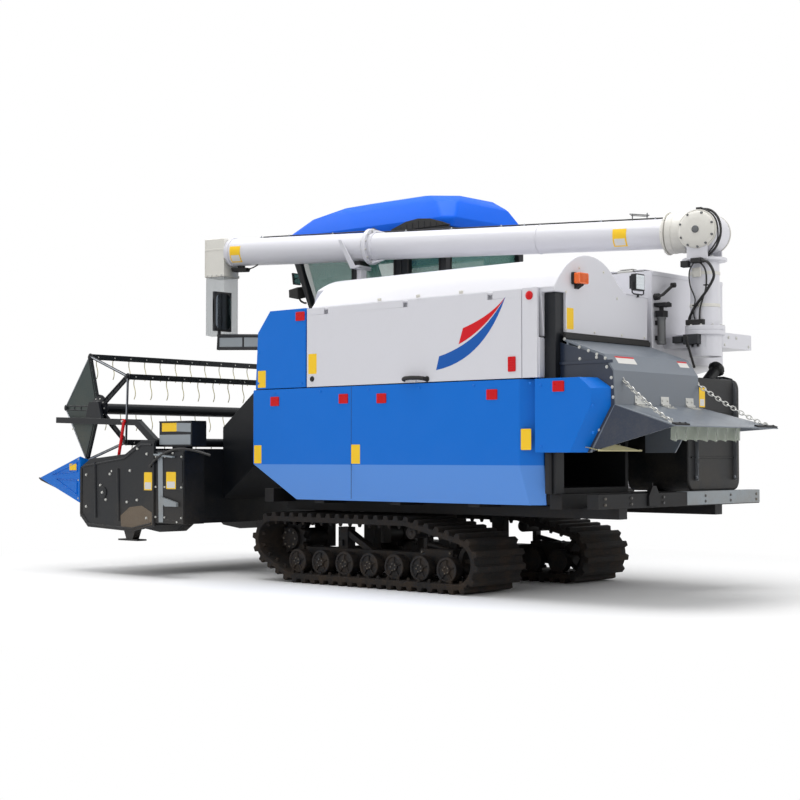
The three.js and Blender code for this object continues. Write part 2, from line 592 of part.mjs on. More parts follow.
// Screened door over the engine's cooler on the right side, hinged at its rear edge.
const SCREEN = { x0: ENGINE.x0, x1: ENGINE.x1, y: -1045, t: 40 };
const screenPin = { x: SCREEN.x0 - 14, y: SCREEN.y - 8 }; // just outside the panel's face, so its rear corner swings clear
function screenDoor() {
  const panel = block(SCREEN.x0, SCREEN.x1, SCREEN.y, SCREEN.y + SCREEN.t, bodyFoot + 15, ENGINE.z1 - 15);
  const knuckles = [bodyFoot + 90, ENGINE.z1 - 150].map((z) =>
    unite(
      bar([screenPin.x, screenPin.y, z], [screenPin.x, screenPin.y, z + 60], 14, 16),
      block(screenPin.x, SCREEN.x0 + 5, screenPin.y - 6, SCREEN.y + 5, z, z + 60),
    ),
  );
  return unite(panel, knuckles);
}
add('engine_screen_door', 'black', screenDoor());

// The housing round the engine: a rear wall with the door's hinge post, an upper plate and a sill.
function engineHousing() {
  const post = block(SCREEN.x0 - 70, SCREEN.x0 - 28 - SEAT, SCREEN.y, ENGINE.y0 + 60, bodyFoot, ENGINE.z1);
  const wall = block(SCREEN.x0 - 70, SCREEN.x0 - 45, ENGINE.y0, ENGINE.y1, bodyFoot, ENGINE.z1);
  const knuckles = [bodyFoot + 90, ENGINE.z1 - 150];
  const lugs = knuckles.flatMap((z) => [z - 14 - SEAT, z + 60 + SEAT]).map((z) =>
    unite(
      bar([screenPin.x, screenPin.y, z], [screenPin.x, screenPin.y, z + 14], 14, 16),
      block(SCREEN.x0 - 40, screenPin.x, screenPin.y - 10, SCREEN.y + 8, z, z + 14),
    ),
  );
  return unite(post, wall, lugs);
}
add('engine_housing', 'black', engineHousing());

// ---- unloading auger ---------------------------------------------------------------------------

const A = POST_AXIS;
const slewZ = 1700; // slewing joint between the fixed foot and the turning post

function augerBase() {
  const elbow = bar([A.x, A.y, 1530], [A.x, A.y, slewZ - SEAT], POST_R + 12, 20);
  const flange = bar([A.x, A.y, slewZ - 30], [A.x, A.y, slewZ - SEAT], POST_R + 35, 20);
  const carrier = block(A.x - 60, TANK.x0 - SEAT, A.y - 90, A.y + 90, 1590, slewZ - 40);
  const box = block(A.x - 90, TANK.x0 - SEAT, A.y - 440, A.y - 60, 1590, 1730 - 40);
  return unite(elbow, flange, carrier, box);
}
add('auger_base', 'white', augerBase());

const headZ = ELBOW_Z;
const yaw = rad(TUBE_YAW);
const forward = [Math.cos(yaw), Math.sin(yaw)];
const sideways = [-Math.sin(yaw), Math.cos(yaw)];
const along = (d, s, z) => [A.x + forward[0] * d + sideways[0] * s, A.y + forward[1] * d + sideways[1] * s, z];

// The turning post ends in two cheeks that hold the tube's elbow on its tilt pin.
function augerPost() {
  const shaft = bar([A.x, A.y, slewZ + SEAT], [A.x, A.y, headZ - 175], POST_R, 20);
  const flange = bar([A.x, A.y, slewZ + SEAT], [A.x, A.y, slewZ + 30], POST_R + 35, 20);
  const plate = bar([A.x, A.y, headZ - 195], [A.x, A.y, headZ - 175], POST_R + 50, 20);
  const cheeks = [-1, 1].map((s) => {
    const foot = beam(along(-70, s * 138, headZ - 90), along(70, s * 138, headZ - 90), 14, 200);
    return unite(foot, bar(along(0, s * 131, headZ), along(0, s * 145, headZ), 60, 16));
  });
  return unite(shaft, flange, plate, cheeks);
}
add('auger_post', 'white', augerPost());

const rise = rad(TUBE_RISE);
// A point on the tube: d along it, s to its left, h above its axis.
const onTube = (d, s, h) => along(d * Math.cos(rise) - h * Math.sin(rise), s, headZ + d * Math.sin(rise) + h * Math.cos(rise));

// The elbow turns on the tilt pin between the post's cheeks; the tube runs forward over the cab.
function augerTube() {
  const elbow = bar(along(0, -131 + SEAT, headZ), along(0, 131 - SEAT, headZ), 128, 24);
  const collar = bar(onTube(0, 0, 0), onTube(235, 0, 0), 128, 24);
  const rear = bar(onTube(0, 0, 0), onTube(SADDLE_AT, 0, 0), TUBE_R, 24);
  const front = bar(onTube(SADDLE_AT - 10, 0, 0), onTube(TUBE_LENGTH - 90, 0, 0), TUBE_R + 6, 24);
  const flanges = bar(onTube(SADDLE_AT - 60, 0, 0), onTube(SADDLE_AT - 30, 0, 0), TUBE_R + 34, 24);
  return unite(elbow, collar, rear, front, flanges);
}
add('auger_tube', 'white', augerTube());

// Spout: a box that turns the grain down, square to the ground.
const spoutTop = onTube(TUBE_LENGTH, 0, TUBE_R + 4);
const spout = { half: 92, wide: 96, foot: spoutTop[2] - 300, sleeve: 460, wall: 6 };
const squareAt = (d0, d1, half) => [[d0, -half], [d1, -half], [d1, half], [d0, half]].map(([d, s]) => along(d, s, 0).slice(0, 2));
function augerSpout() {
  const mouth = [TUBE_LENGTH - spout.half, TUBE_LENGTH + spout.half];
  const box = slabXY(squareAt(...mouth, spout.wide), spout.foot, spoutTop[2]);
  const hollow = slabXY(squareAt(mouth[0] + 8, mouth[1] - 8, spout.wide - 8), spout.foot - 1, spoutTop[2] - 40);
  const overlap = bar(onTube(TUBE_LENGTH - 90 - SEAT - 300, 0, 0), onTube(TUBE_LENGTH - 90 + SEAT, 0, 0), TUBE_R + 6 + SEAT, 24);
  return cut(box, hollow, overlap);
}
add('auger_spout', 'white', augerSpout());

function spoutSleeve() {
  const [d0, d1] = [TUBE_LENGTH - spout.half + 4, TUBE_LENGTH + spout.half - 4];
  const top = spout.foot - SEAT;
  const outer = slabXY(squareAt(d0, d1, spout.wide - 4), top - spout.sleeve, top);
  const inner = slabXY(squareAt(d0 + 6, d1 - 6, spout.wide - 10), top - spout.sleeve - 1, top + 1);
  return cut(outer, inner);
}
add('spout_sleeve', 'clear', spoutSleeve());

// Rest for the folded tube: a stem on top of the housing in front of the drum cover, with a pad under the tube.
function tubeRest() {
  const d = SADDLE_AT + 40;
  const under = onTube(d, 0, -TUBE_R - 34 - CLEAR); // below the flange as well
  const stem = beam(along(d, 0, H.z1 + 20), [under[0], under[1], under[2] - 10], 60, 46);
  const foot = slabXY(squareAt(d - 60, d + 60, 60), H.z1 + SEAT, H.z1 + 30);
  const pad = slabXY(squareAt(d - 30, d + 30, 86), under[2] - 16, under[2]);
  return unite(stem, foot, pad);
}
add('tube_rest', 'white', tubeRest());

// ---- cab ---------------------------------------------------------------------------------------

const C = CAB;
const cabSide = [[C.x0, C.floor], ...CAB_FRONT, [C.x0, C.eave]];
const inset = (grow) => [
  [C.x0 + grow, C.floor + grow], [CAB_FRONT[0][0] - grow, C.floor + grow], [CAB_FRONT[1][0] - grow, CAB_FRONT[1][1]],
  [CAB_FRONT[2][0] - grow, CAB_FRONT[2][1]], [CAB_FRONT[2][0] - grow, C.eave - grow], [C.x0 + grow, C.eave - grow],
];
const DOORWAY = { x0: 330, x1: 1310, z0: 1240, z1: CAB_HEAD };

const cabPin = { x: DOORWAY.x0 - 4, y: C.y0 - 14 }; // the door's hinge line
const cabKnuckles = [1420, 2250];

// The cab's frame: floor, posts, sills and rails, open at every window and at the doorway.
function cabFrame() {
  const shell = cut(slabXZ(cabSide, C.y0, C.y1), slabXZ(inset(WALL), C.y0 + WALL, C.y1 - WALL));
  const leftWindows = [[90, 395], [535, 905], [970, 1395]].map(([a, b]) =>
    slabXZ([[a, CAB_SILL], [b, CAB_SILL], [b + (b > 1300 ? 20 : 0), 2040], [b + (b > 1300 ? 175 : 0), CAB_HEAD], [a, CAB_HEAD]], C.y1 - WALL - 1, C.y1 + 1),
  );
  const quarter = slabXZ([[1345, CAB_SILL], [1375, CAB_SILL], [1395, 2040], [1565, CAB_HEAD], [1345, CAB_HEAD]], C.y0 - 1, C.y0 + WALL + 1);
  const doorway = block(DOORWAY.x0, DOORWAY.x1, C.y0 - 1, C.y0 + WALL + 1, DOORWAY.z0, DOORWAY.z1);
  const rearPane = block(C.x0 - 1, C.x0 + WALL + 1, C.y0 + POST, C.y1 - POST, TANK.z1 - 60, CAB_HEAD);
  const frontPane = block(1200, 1700, C.y0 + POST, C.y1 - POST, 1420, CAB_HEAD);
  const lugs = cabKnuckles.map((z) =>
    unite(
      bar([cabPin.x, cabPin.y, z - 20], [cabPin.x, cabPin.y, z - SEAT], 12, 16),
      block(cabPin.x - 30, cabPin.x, C.y0 - 18, C.y0 + 1, z - 20, z - SEAT),
    ),
  );
  return unite(
    cut(shell, leftWindows, quarter, doorway, rearPane, cut(frontPane, block(0, 1330, -2000, 0, 1000, 2600))),
    lugs,
  );
}
add('cab_frame', 'black', cabFrame());

// Panes lie against the inside of the frame.
function sidePane() {
  const y = C.y1 - WALL - SEAT;
  const outline = [[75, CAB_SILL - 15], [1330, CAB_SILL - 15], [1360, 2040], [1500, CAB_HEAD - 60], [1500, CAB_HEAD + 15], [75, CAB_HEAD + 15]];
  return slabXZ(outline, y - GLASS, y);
}
add('left_window', 'glass', sidePane());
const rearX = C.x0 + WALL + SEAT;
add('rear_window', 'glass', block(rearX, rearX + GLASS, C.y0 + POST - 12, C.y1 - POST + 12, TANK.z1 - 72, CAB_HEAD + 12));
function windscreen() {
  const line = [[CAB_FRONT[0][0] + 17, 1420], [CAB_FRONT[1][0], 2040], [CAB_FRONT[2][0], CAB_HEAD - 10]];
  const outer = line.map(([x, z]) => [x - 10, z + 2]);
  const inner = line.map(([x, z]) => [x - 10 - GLASS * 2, z + 2]);
  return slabXZ([...outer, ...inner.reverse()], C.y0 + POST + SEAT, C.y1 - POST - SEAT);
}
add('windscreen', 'glass', windscreen());

// Door on the right, hinged at its rear edge on two outside knuckles.
function cabDoor() {
  const [x0, x1] = [DOORWAY.x0 + DOOR_GAP, DOORWAY.x1 - DOOR_GAP];
  const [z0, z1] = [DOORWAY.z0 + DOOR_GAP, DOORWAY.z1 - DOOR_GAP];
  const leaf = block(x0, x1, C.y0, C.y0 + WALL, z0, z1);
  const pane = block(x0 + POST, x1 - POST, C.y0 - 1, C.y0 + WALL + 1, 1520, z1 - POST);
  const hinges = cabKnuckles.map((z) =>
    unite(
      bar([cabPin.x, cabPin.y, z], [cabPin.x, cabPin.y, z + 50], 12, 16),
      block(cabPin.x, x0 + 60, C.y0 - 18, C.y0 - 8, z, z + 50),
      block(x0 + 20, x0 + 60, C.y0 - 10, C.y0 + 1, z, z + 50),
    ),
  );
  const grip = unite(
    block(x1 - 50, x1 - 30, C.y0 - 45, C.y0 + 1, 1500, 1530),
    block(x1 - 50, x1 - 30, C.y0 - 45, C.y0 + 1, 1670, 1700),
    block(x1 - 50, x1 - 30, C.y0 - 45, C.y0 - 30, 1500, 1700),
  );
  return unite(cut(leaf, pane), hinges, grip);
}
add('cab_door', 'blue', cabDoor());
add('cab_door_window', 'glass', block(DOORWAY.x0 + DOOR_GAP + POST - 12, DOORWAY.x1 - DOOR_GAP - POST + 12,
  C.y0 + WALL + SEAT, C.y0 + WALL + SEAT + GLASS, 1508, CAB_HEAD - DOOR_GAP - POST + 12));

// Roof: a low dome with cut corners, drawn in level by level.
function roofRing(z, front, rear, side, corner) {
  const [x0, x1, y0, y1] = [C.x0 - 30 + rear, 1760 - front, C.y0 - 25 + side, C.y1 - side];
  const plan = [[x0 + corner, y0], [x1 - corner, y0], [x1, y0 + corner], [x1, y1 - corner],
    [x1 - corner, y1], [x0 + corner, y1], [x0, y1 - corner], [x0, y0 + corner]];
  return plan.map(([x, y]) => [x, y, z]);
}
add('cab_roof', 'blue', hull([
  ...roofRing(C.eave + SEAT, 60, 30, 10, 60), ...roofRing(C.eave + 70, 0, 0, 0, 70),
  ...roofRing(ROOF_TOP - 90, 190, 60, 60, 110), ...roofRing(ROOF_TOP - 25, 420, 130, 130, 150),
  ...roofRing(ROOF_TOP, 620, 260, 220, 160),
]));

// Platform under the cab, carried by the engine housing, with the steps to the door at its front right.
const baseTop = C.floor - SEAT;
const baseFoot = ENGINE.z1 + SEAT;
const stepYs = [C.y0 - 5, C.y0 + 25];
add('cab_base', 'black', unite(
  block(C.x0 - 40, 1375, C.y0, C.y1, baseFoot, baseTop),
  block(1300, 1345, C.y0 + 20, C.y1 - 20, 700, baseTop - 5),
  block(905 + CLEAR, 940, C.y0 + 20, C.y1 - 20, bodyFoot, baseTop - 5),
  block(930, 1310, C.y1 - 70, C.y1 - 20, 700, baseTop - 5),
  [1010, 1330].map((x) => block(x, x + 30, ...stepYs, 520, baseTop - 10)),
  [540, 760, 980].map((z) => block(1011, 1359, stepYs[0] - 90, stepYs[1], z, z + 25)),
));

const SEAT_AT = { x: 480, y: (C.y0 + C.y1) / 2, w: 480 };
const cabFloor = C.floor + WALL + SEAT;
const S = SEAT_AT;
add('seat_base', 'black', block(S.x + 60, S.x + 400, S.y - 170, S.y + 170, cabFloor, cabFloor + 330));
const cushionTop = cabFloor + 330 + 110;
add('seat_cushion', 'seat', block(S.x, S.x + 470, S.y - S.w / 2, S.y + S.w / 2, cabFloor + 330 + SEAT, cushionTop));
add('seat_back', 'seat', hull([
  ...[[S.x - 20, 0], [S.x + 100, 0], [S.x - 90, 640], [S.x - 5, 640]].flatMap(([x, z]) =>
    [-1, 1].map((s) => [x, S.y + s * (S.w / 2 - z / 12), cushionTop + SEAT + z])),
]));
function console_() {
  const column = beam([1180, S.y, cabFloor + 20], [1110, S.y, 1950], 90, 70);
  const foot = block(1100, 1280, S.y - 90, S.y + 90, cabFloor, cabFloor + 60);
  const head = block(1010, 1190, S.y - 140, S.y + 140, 1940, 2000);
  const wheel = bar([1085, S.y, 2001], [1075, S.y, 2022], 175, 28);
  const stem = bar([1090, S.y, 1990], [1084, S.y, 2005], 30, 16);
  return unite(column, foot, head, stem, wheel);
}
add('steering_console', 'black', console_());

// Mirror on a bent-tube bracket, bolted to the front of the threshing housing.
function mirrorBracket() {
  const y = 750;
  const r = 13;
  const x0 = H.x1 + SEAT;
  const loop = [
    bar([x0 + r, y, 1440], [x0 + r, y, 1760], r, 12),
    bar([x0 + r, y, 1660], [1530, y, 1690], r, 12),
    bar([x0 + r, y, 1750], [1530, y, 1785], r, 12),
    bar([1530, y, 1680], [1500, y, 2110], r, 12),
  ];
  const panel = hull([[900, y - 3, 1665], [900, y + 3, 1665], [1525, y - 3, 1693], [1525, y + 3, 1693],
    [900, y - 3, 1750], [900, y + 3, 1750], [1525, y - 3, 1780], [1525, y + 3, 1780]]);
  const plate = block(x0, x0 + 12, y - 40, y + 40, 1420, 1600);
  const mirror = unite(block(1478, 1500, y - 85, y + 85, 1815, 2110));
  return unite(loop, panel, plate, mirror);
}
add('mirror_bracket', 'black', mirrorBracket());

// ---- feeder house and header -------------------------------------------------------------------

const L = LIFT_PIN;
const F = FEEDER;
// Tunnel that carries the crop up from the header; it turns on two stub shafts at its rear end.
function feederHouse() {
  const side = [[1090, F.low], [HEADER.back - SEAT, F.frontLow], [HEADER.back - SEAT, F.frontTop], [1240, F.top],
    [1060, F.top], [L.x - 120, L.z + 60], [L.x - 120, L.z - 60]];
  const mouth = slabXZ([[1500, F.frontLow + 160], [HEADER.back + 1, F.frontLow + 40], [HEADER.back + 1, F.frontTop - 150],
    [1500, F.frontTop]], F.y0 + 30, F.y1 - 30);
  const shafts = bar([L.x, F.y0 - CLEAR + SEAT, L.z], [L.x, F.y1 + CLEAR - SEAT, L.z], 32, 20);
  const ear = [F.y0, RAM.y + 32];
  const bracket = unite(
    beam([RAM.eyeX + 60, ear[0] + 5, RAM.eyeZ], [RAM.eyeX + 60, RAM.y + 32, RAM.eyeZ], 60, 60),
    beam([RAM.eyeX + 80, RAM.y + 26, RAM.eyeZ], [RAM.eyeX - 18, RAM.y + 26, RAM.eyeZ], 12, 40),
    bar([RAM.eyeX, RAM.y + 31, RAM.eyeZ], [RAM.eyeX, RAM.y - 16, RAM.eyeZ], 13, 14),
  );
  return unite(cut(slabXZ(side, F.y0, F.y1), mouth), shafts, bracket);
}
add('feeder_house', 'black', feederHouse());

// Lift cylinder: the barrel turns on a bracket over the front cross beam.
const ramDir = new THREE.Vector3(RAM.eyeX - RAM.x, 0, RAM.eyeZ - RAM.z);
const ramLength = ramDir.length();
ramDir.normalize();
const onRam = (d) => [RAM.x + ramDir.x * d, RAM.y, RAM.z + ramDir.z * d];
function ramBarrel() {
  const tube = cut(bar(onRam(18), onRam(RAM.barrel), 34, 16), bar(onRam(24), onRam(RAM.barrel + 1), 18 + SEAT, 16));
  const eye = ringY(RAM.x, RAM.z, 28, 12 + SEAT, RAM.y - 18, RAM.y + 18, 20);
  return unite(tube, eye);
}
add('lift_cylinder_barrel', 'steel', ramBarrel());
function ramRod() {
  const eye = ringY(RAM.eyeX, RAM.eyeZ, 42, 30, RAM.y - 14, RAM.y + 14, 24);
  return unite(bar(onRam(RAM.barrel - RAM.overlap), onRam(ramLength - 32), 18, 16), eye);
}
add('lift_cylinder_rod', 'steel', ramRod());

// Header body: back wall, floor, top beam and two end plates; open in front and above.
function headerBody() {
  const W = HEADER_HALF;
  const t = HEADER.end;
  const back = block(HEADER.back, HEADER.back + t, -W, W, HEADER.floor, HEADER.topBack);
  const mouth = block(HEADER.back - 1, HEADER.back + t + 1, F.y0 + 30, F.y1 - 30, F.frontLow + 40, F.frontTop - 200);
  const top = block(HEADER.back, HEADER.back + 85, -W, W, HEADER.topBack - 80, HEADER.topBack);
  const floor = slabXZ([[HEADER.back, HEADER.floor - 20], [2150, HEADER.floor - 20], [HEADER.knife, HEADER.floor + 20],
    [HEADER.knife, HEADER.floor + 32], [2150, HEADER.floor], [HEADER.back, HEADER.floor]], -W, W);
  const end = [[HEADER.back, 1000], [1860, 1000], [2050, 900], [2476, 864], [HEADER.knife, 800], [HEADER.knife, 430],
    [2500, 345], [1960, 325], [HEADER.back, 370]];
  const ends = [-1, 1].map((s) => slabXZ(end, ...[s * W, s * (W - t)].sort((a, b) => a - b)));
  const skids = [-820, 0, 820].map((y) => slabXZ([[1760, HEADER.floor - 19], [1860, 318], [2060, 306], [2260, 330],
    [2330, HEADER.floor - 19]], y - 50, y + 50));
  const saddles = [-900, 900].map((y) =>
    block(ARM_PIN.x - 20, ARM_PIN.x + 20, y - 40, y + 40, HEADER.topBack - 5, ARM_PIN.z - ARM_TUBE_R - SEAT),
  );
  return unite(cut(back, mouth), top, floor, ends, skids, saddles);
}
add('header_body', 'black', headerBody());

function headerDriveCase() {
  const inner = HEADER_HALF - 190;
  return unite(
    block(1370, HEADER.back - SEAT, inner, HEADER_HALF - 5, 395, 925),
    block(1335, HEADER.back - SEAT, inner + 10, HEADER_HALF - 40, 955, 1130),
    block(1450, 1600, inner + 40, HEADER_HALF - 80, 920, 960),
  );
}
add('header_drive_case', 'black', headerDriveCase());

const DIVIDER = 100; // width of a crop divider

// Crop divider: a folded blue nose at each end of the header.
function divider(side) {
  const outer = side * HEADER_HALF;
  const inner = side * (HEADER_HALF - DIVIDER);
  const x = HEADER.knife + SEAT;
  return hull([[3165, side * (HEADER_HALF - 25), 713], [3165, side * (HEADER_HALF - 35), 705], [x, outer, 884], [x, outer, 525],
    [x, inner, 850], [x, inner, 540]]);
}
add('left_divider', 'blue', divider(1));
add('right_divider', 'blue', divider(-1));

// Cutter bar: a back strip with a row of pointed knife guards.
function cutterBar() {
  const half = HEADER_HALF - DIVIDER - 5;
  const x = HEADER.knife + SEAT;
  const z = HEADER.floor + 26;
  const count = 27;
  const guards = Array.from({ length: count }, (_, i) => {
    const y = -half + 40 + ((2 * half - 80) * i) / (count - 1);
    return hull([[x + 20, y - 14, z - 10], [x + 20, y + 14, z - 10], [x + 20, y - 14, z + 12], [x + 20, y + 14, z + 12],
      [x + 115, y - 2, z], [x + 115, y + 2, z]]);
  });
  return unite(block(x, x + 30, -half, half, z - 12, z + 6), guards);
}
add('cutter_bar', 'steel', cutterBar());

// Screw that carries the crop across to the feeder: a core with a flight from each end.
function headerAuger() {
  const half = HEADER_HALF - HEADER.end - SEAT;
  const core = bar([AUGER.x, -half, AUGER.z], [AUGER.x, half, AUGER.z], AUGER.core / 2 + 20, 18);
  const middle = (F.y0 + F.y1) / 2;
  const pitch = 400;
  // One flight is a ribbon that winds from y0 to y1; its sense changes with the side.
  const flight = (y0, y1, sense) => {
    const turns = Math.abs(y1 - y0) / pitch;
    const steps = Math.round(turns * 14);
    const position = [];
    const index = [];
    for (let i = 0; i <= steps; i++) {
      const a = (sense * i * 2 * Math.PI * turns) / steps;
      const y = y0 + ((y1 - y0) * i) / steps;
      for (const [r, dy] of [[60, -5], [AUGER.r, -3], [AUGER.r, 3], [60, 5]]) {
        position.push(AUGER.x + Math.cos(a) * r, y + dy, AUGER.z + Math.sin(a) * r);
      }
    }
    for (let i = 0; i < steps; i++) {
      for (let k = 0; k < 4; k++) {
        const [a, b, c, d] = [i * 4 + k, i * 4 + ((k + 1) % 4), i * 4 + 4 + k, i * 4 + 4 + ((k + 1) % 4)];
        if (k === 2) index.push(a, c, d, a, d, b);
        else index.push(a, c, b, b, c, d);
      }
    }
    const end = steps * 4;
    index.push(0, 1, 2, 0, 2, 3, end, end + 2, end + 1, end, end + 3, end + 2);
    const g = new THREE.BufferGeometry();
    g.setAttribute('position', new THREE.Float32BufferAttribute(position, 3));
    g.setIndex(index);
    const ribbon = solid(g);
    if (ribbon.volume() > 0) return ribbon;
    g.setIndex(index.flatMap((_, i) => (i % 3 ? [] : [index[i], index[i + 2], index[i + 1]])));
    return solid(g);
  };
  const fingers = [0, 1, 2, 3, 4].map((i) => {
    const a = rad(i * 72 + 20);
    const y = middle - 160 + i * 80;
    return bar([AUGER.x, y, AUGER.z], [AUGER.x + Math.cos(a) * 190, y, AUGER.z + Math.sin(a) * 190], 8, 5);
  });
  return unite(core, flight(half - 12, middle + 230, 1), flight(-half + 12, middle - 230, -1), fingers);
}
add('header_auger', 'steel', headerAuger());

// Two bent arms on a cross tube along the header's back carry the reel.
const armY = REEL.half + 40;
function reelArms() {
  const pin = [ARM_PIN.x, ARM_PIN.z];
  const tube = bar([pin[0], -armY - 20, pin[1]], [pin[0], armY + 20, pin[1]], ARM_TUBE_R, 20);
  const arms = [-1, 1].map((s) => {
    const y = s * armY;
    const w = 44;
    return unite(
      beam([pin[0], y, pin[1]], [1990, y, 1138], w, 52),
      beam([1965, y, 1136], [2990, y, 1170], w, 46),
      slabXZ([[REEL.x - 110, 1150], [REEL.x + 110, 1155], [REEL.x + 60, REEL.z + 50], [REEL.x - 60, REEL.z + 50]], y - 12, y + 12),
    );
  });
  return unite(tube, arms);
}
add('reel_arms', 'black', reelArms());

const batAngles = Array.from({ length: REEL.bats }, (_, i) => REEL.tilt + (360 / REEL.bats) * i);
const batAt = (a) => [REEL.x + REEL.r * Math.cos(rad(a)), REEL.z + REEL.r * Math.sin(rad(a))];
const spiderT = 8;

// Reel: a centre tube with a five-armed spider and a ring of braces at each end.
function reelFrame() {
  const end = armY - 12 - SEAT;
  const tube = bar([REEL.x, -end, REEL.z], [REEL.x, end, REEL.z], 42, 16);
  const spiders = [-1, 1].map((s) => {
    const y0 = s > 0 ? REEL.half - spiderT : -REEL.half;
    const arms = batAngles.map((a) => beam([REEL.x, y0 + spiderT / 2, REEL.z],
      [batAt(a)[0], y0 + spiderT / 2, batAt(a)[1]], spiderT, 46));
    const braces = batAngles.map((a, i) => {
      const [p, q] = [batAt(a), batAt(batAngles[(i + 1) % REEL.bats])];
      return beam([p[0], y0 + spiderT / 2, p[1]], [q[0], y0 + spiderT / 2, q[1]], spiderT, 22);
    });
    const ears = batAngles.map((a) => bar([batAt(a)[0], y0, batAt(a)[1]], [batAt(a)[0], y0 + spiderT, batAt(a)[1]], 26, 10));
    return unite(arms, braces, ears, bar([REEL.x, y0, REEL.z], [REEL.x, y0 + spiderT, REEL.z], 110, 16));
  });
  return unite(tube, spiders);
}
add('reel', 'black', reelFrame());

// Tine bars keep the same way up as the reel turns, so each turns back on its own journals.
for (const [i, a] of batAngles.entries()) {
  const [x, z] = batAt(a);
  const half = REEL.half - spiderT - SEAT;
  const tube = bar([x, -half, z], [x, half, z], 19, 10);
  const tines = Array.from({ length: REEL.tines }, (_, k) => {
    const y = -half + 60 + ((2 * half - 120) * k) / (REEL.tines - 1);
    return bar([x, y, z], [x - 6, y, z - REEL.tine], 5, 4);
  });
  add(`tine_bar_${i + 1}`, 'black', unite(tube, tines));
}

// ---- datum: the middle of the machine's box, on the ground -------------------------------------

const box = new THREE.Box3().setFromObject(group);
group.position.set(-(box.min.x + box.max.x) / 2, -(box.min.y + box.max.y) / 2, -box.min.z);

export default group;
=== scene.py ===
# %% [markdown]
# # A crawler combine, finished around its solid model
#
# The solid model of the machine is loaded first and never moved. Everything made here is a
# finer piece or a better finish that rides on one of the model's moving bodies, so a door or the
# reel takes its labels, bolts and wires with it when it turns.

# %% Load the frame and its names
import math

import bmesh
import bpy
from mathutils import Matrix, Vector
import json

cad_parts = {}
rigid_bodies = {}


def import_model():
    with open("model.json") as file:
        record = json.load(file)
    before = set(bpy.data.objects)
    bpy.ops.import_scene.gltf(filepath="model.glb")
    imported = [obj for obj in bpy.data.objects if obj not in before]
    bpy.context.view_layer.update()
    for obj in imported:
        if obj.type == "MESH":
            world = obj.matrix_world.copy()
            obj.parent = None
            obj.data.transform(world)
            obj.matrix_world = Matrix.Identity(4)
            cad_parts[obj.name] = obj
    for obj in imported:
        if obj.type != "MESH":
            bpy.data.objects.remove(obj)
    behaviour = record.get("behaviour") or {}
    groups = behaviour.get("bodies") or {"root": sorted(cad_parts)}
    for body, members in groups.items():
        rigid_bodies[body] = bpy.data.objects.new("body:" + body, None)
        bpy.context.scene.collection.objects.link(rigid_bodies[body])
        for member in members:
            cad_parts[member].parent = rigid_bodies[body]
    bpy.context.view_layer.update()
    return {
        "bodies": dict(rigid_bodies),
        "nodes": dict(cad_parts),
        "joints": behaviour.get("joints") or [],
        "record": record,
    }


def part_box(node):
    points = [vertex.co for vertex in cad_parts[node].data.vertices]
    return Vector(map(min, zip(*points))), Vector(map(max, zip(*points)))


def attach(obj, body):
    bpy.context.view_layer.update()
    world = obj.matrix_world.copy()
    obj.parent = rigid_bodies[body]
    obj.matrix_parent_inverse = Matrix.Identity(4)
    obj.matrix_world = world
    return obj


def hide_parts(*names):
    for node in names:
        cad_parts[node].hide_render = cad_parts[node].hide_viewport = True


for leftover in list(bpy.data.objects):
    bpy.data.objects.remove(leftover)
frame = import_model()
nodes = frame["nodes"]
MACHINE_ZERO = 332.35  # mm that the machine's own zero, over the tracks, lies ahead of the frame's origin


def at(x, y, z):
    """A point of the machine, in millimetres ahead, to the left and up, as a place in the frame."""
    return Vector(((x - MACHINE_ZERO) / 1000, y / 1000, z / 1000))


# %% [markdown]
# ## Camera
#
# The machine is seen from behind its left rear corner with a fairly long lens held low, so the
# uprights stay parallel and the far track is only a little smaller than the near one. A target
# direction turned into a rotation is easier to read than three angles.

# %% Camera
CAMERA_AT = Vector((-7.535, 8.415, 0.879))
CAMERA_LOOKS = Vector((0.6687, -0.7426, 0.0368))
LENS_MM = 69.5

camera_data = bpy.data.cameras.new("camera")
camera_data.lens = LENS_MM
camera_data.sensor_width = 36
camera_data.clip_end = 200
camera = bpy.data.objects.new("camera", camera_data)
camera.location = CAMERA_AT
camera.rotation_euler = CAMERA_LOOKS.to_track_quat("-Z", "Y").to_euler()
bpy.context.scene.collection.objects.link(camera)
bpy.context.scene.camera = camera
print("camera at", tuple(camera.location), "lens", LENS_MM)

# %% [markdown]
# ## Floor and light
#
# A studio floor only has to catch the shadow. It and the world look white to the camera and to
# reflections, through Light Path, while the light that falls on the paint stays at a plain level.
# Three large soft lamps stand where a studio's boxes would: over the left side, over the rear and
# high in front.

# %% World and floor
SKY = 0.5  # light that the surroundings throw on the machine
SHOWN = 1.0  # how bright they look


def seen_rays(tree, backgrounds=True):
    """A value of 1 for rays from the camera, a mirror or through glass, else 0."""
    path = tree.nodes.new("ShaderNodeLightPath")
    first = tree.nodes.new("ShaderNodeMath")
    first.operation = "MAXIMUM"
    tree.links.new(path.outputs["Is Camera Ray"], first.inputs[0])
    tree.links.new(path.outputs["Is Glossy Ray"], first.inputs[1])
    second = tree.nodes.new("ShaderNodeMath")
    second.operation = "MAXIMUM"
    tree.links.new(first.outputs[0], second.inputs[0])
    tree.links.new(path.outputs["Is Transmission Ray"], second.inputs[1])
    return second.outputs[0]


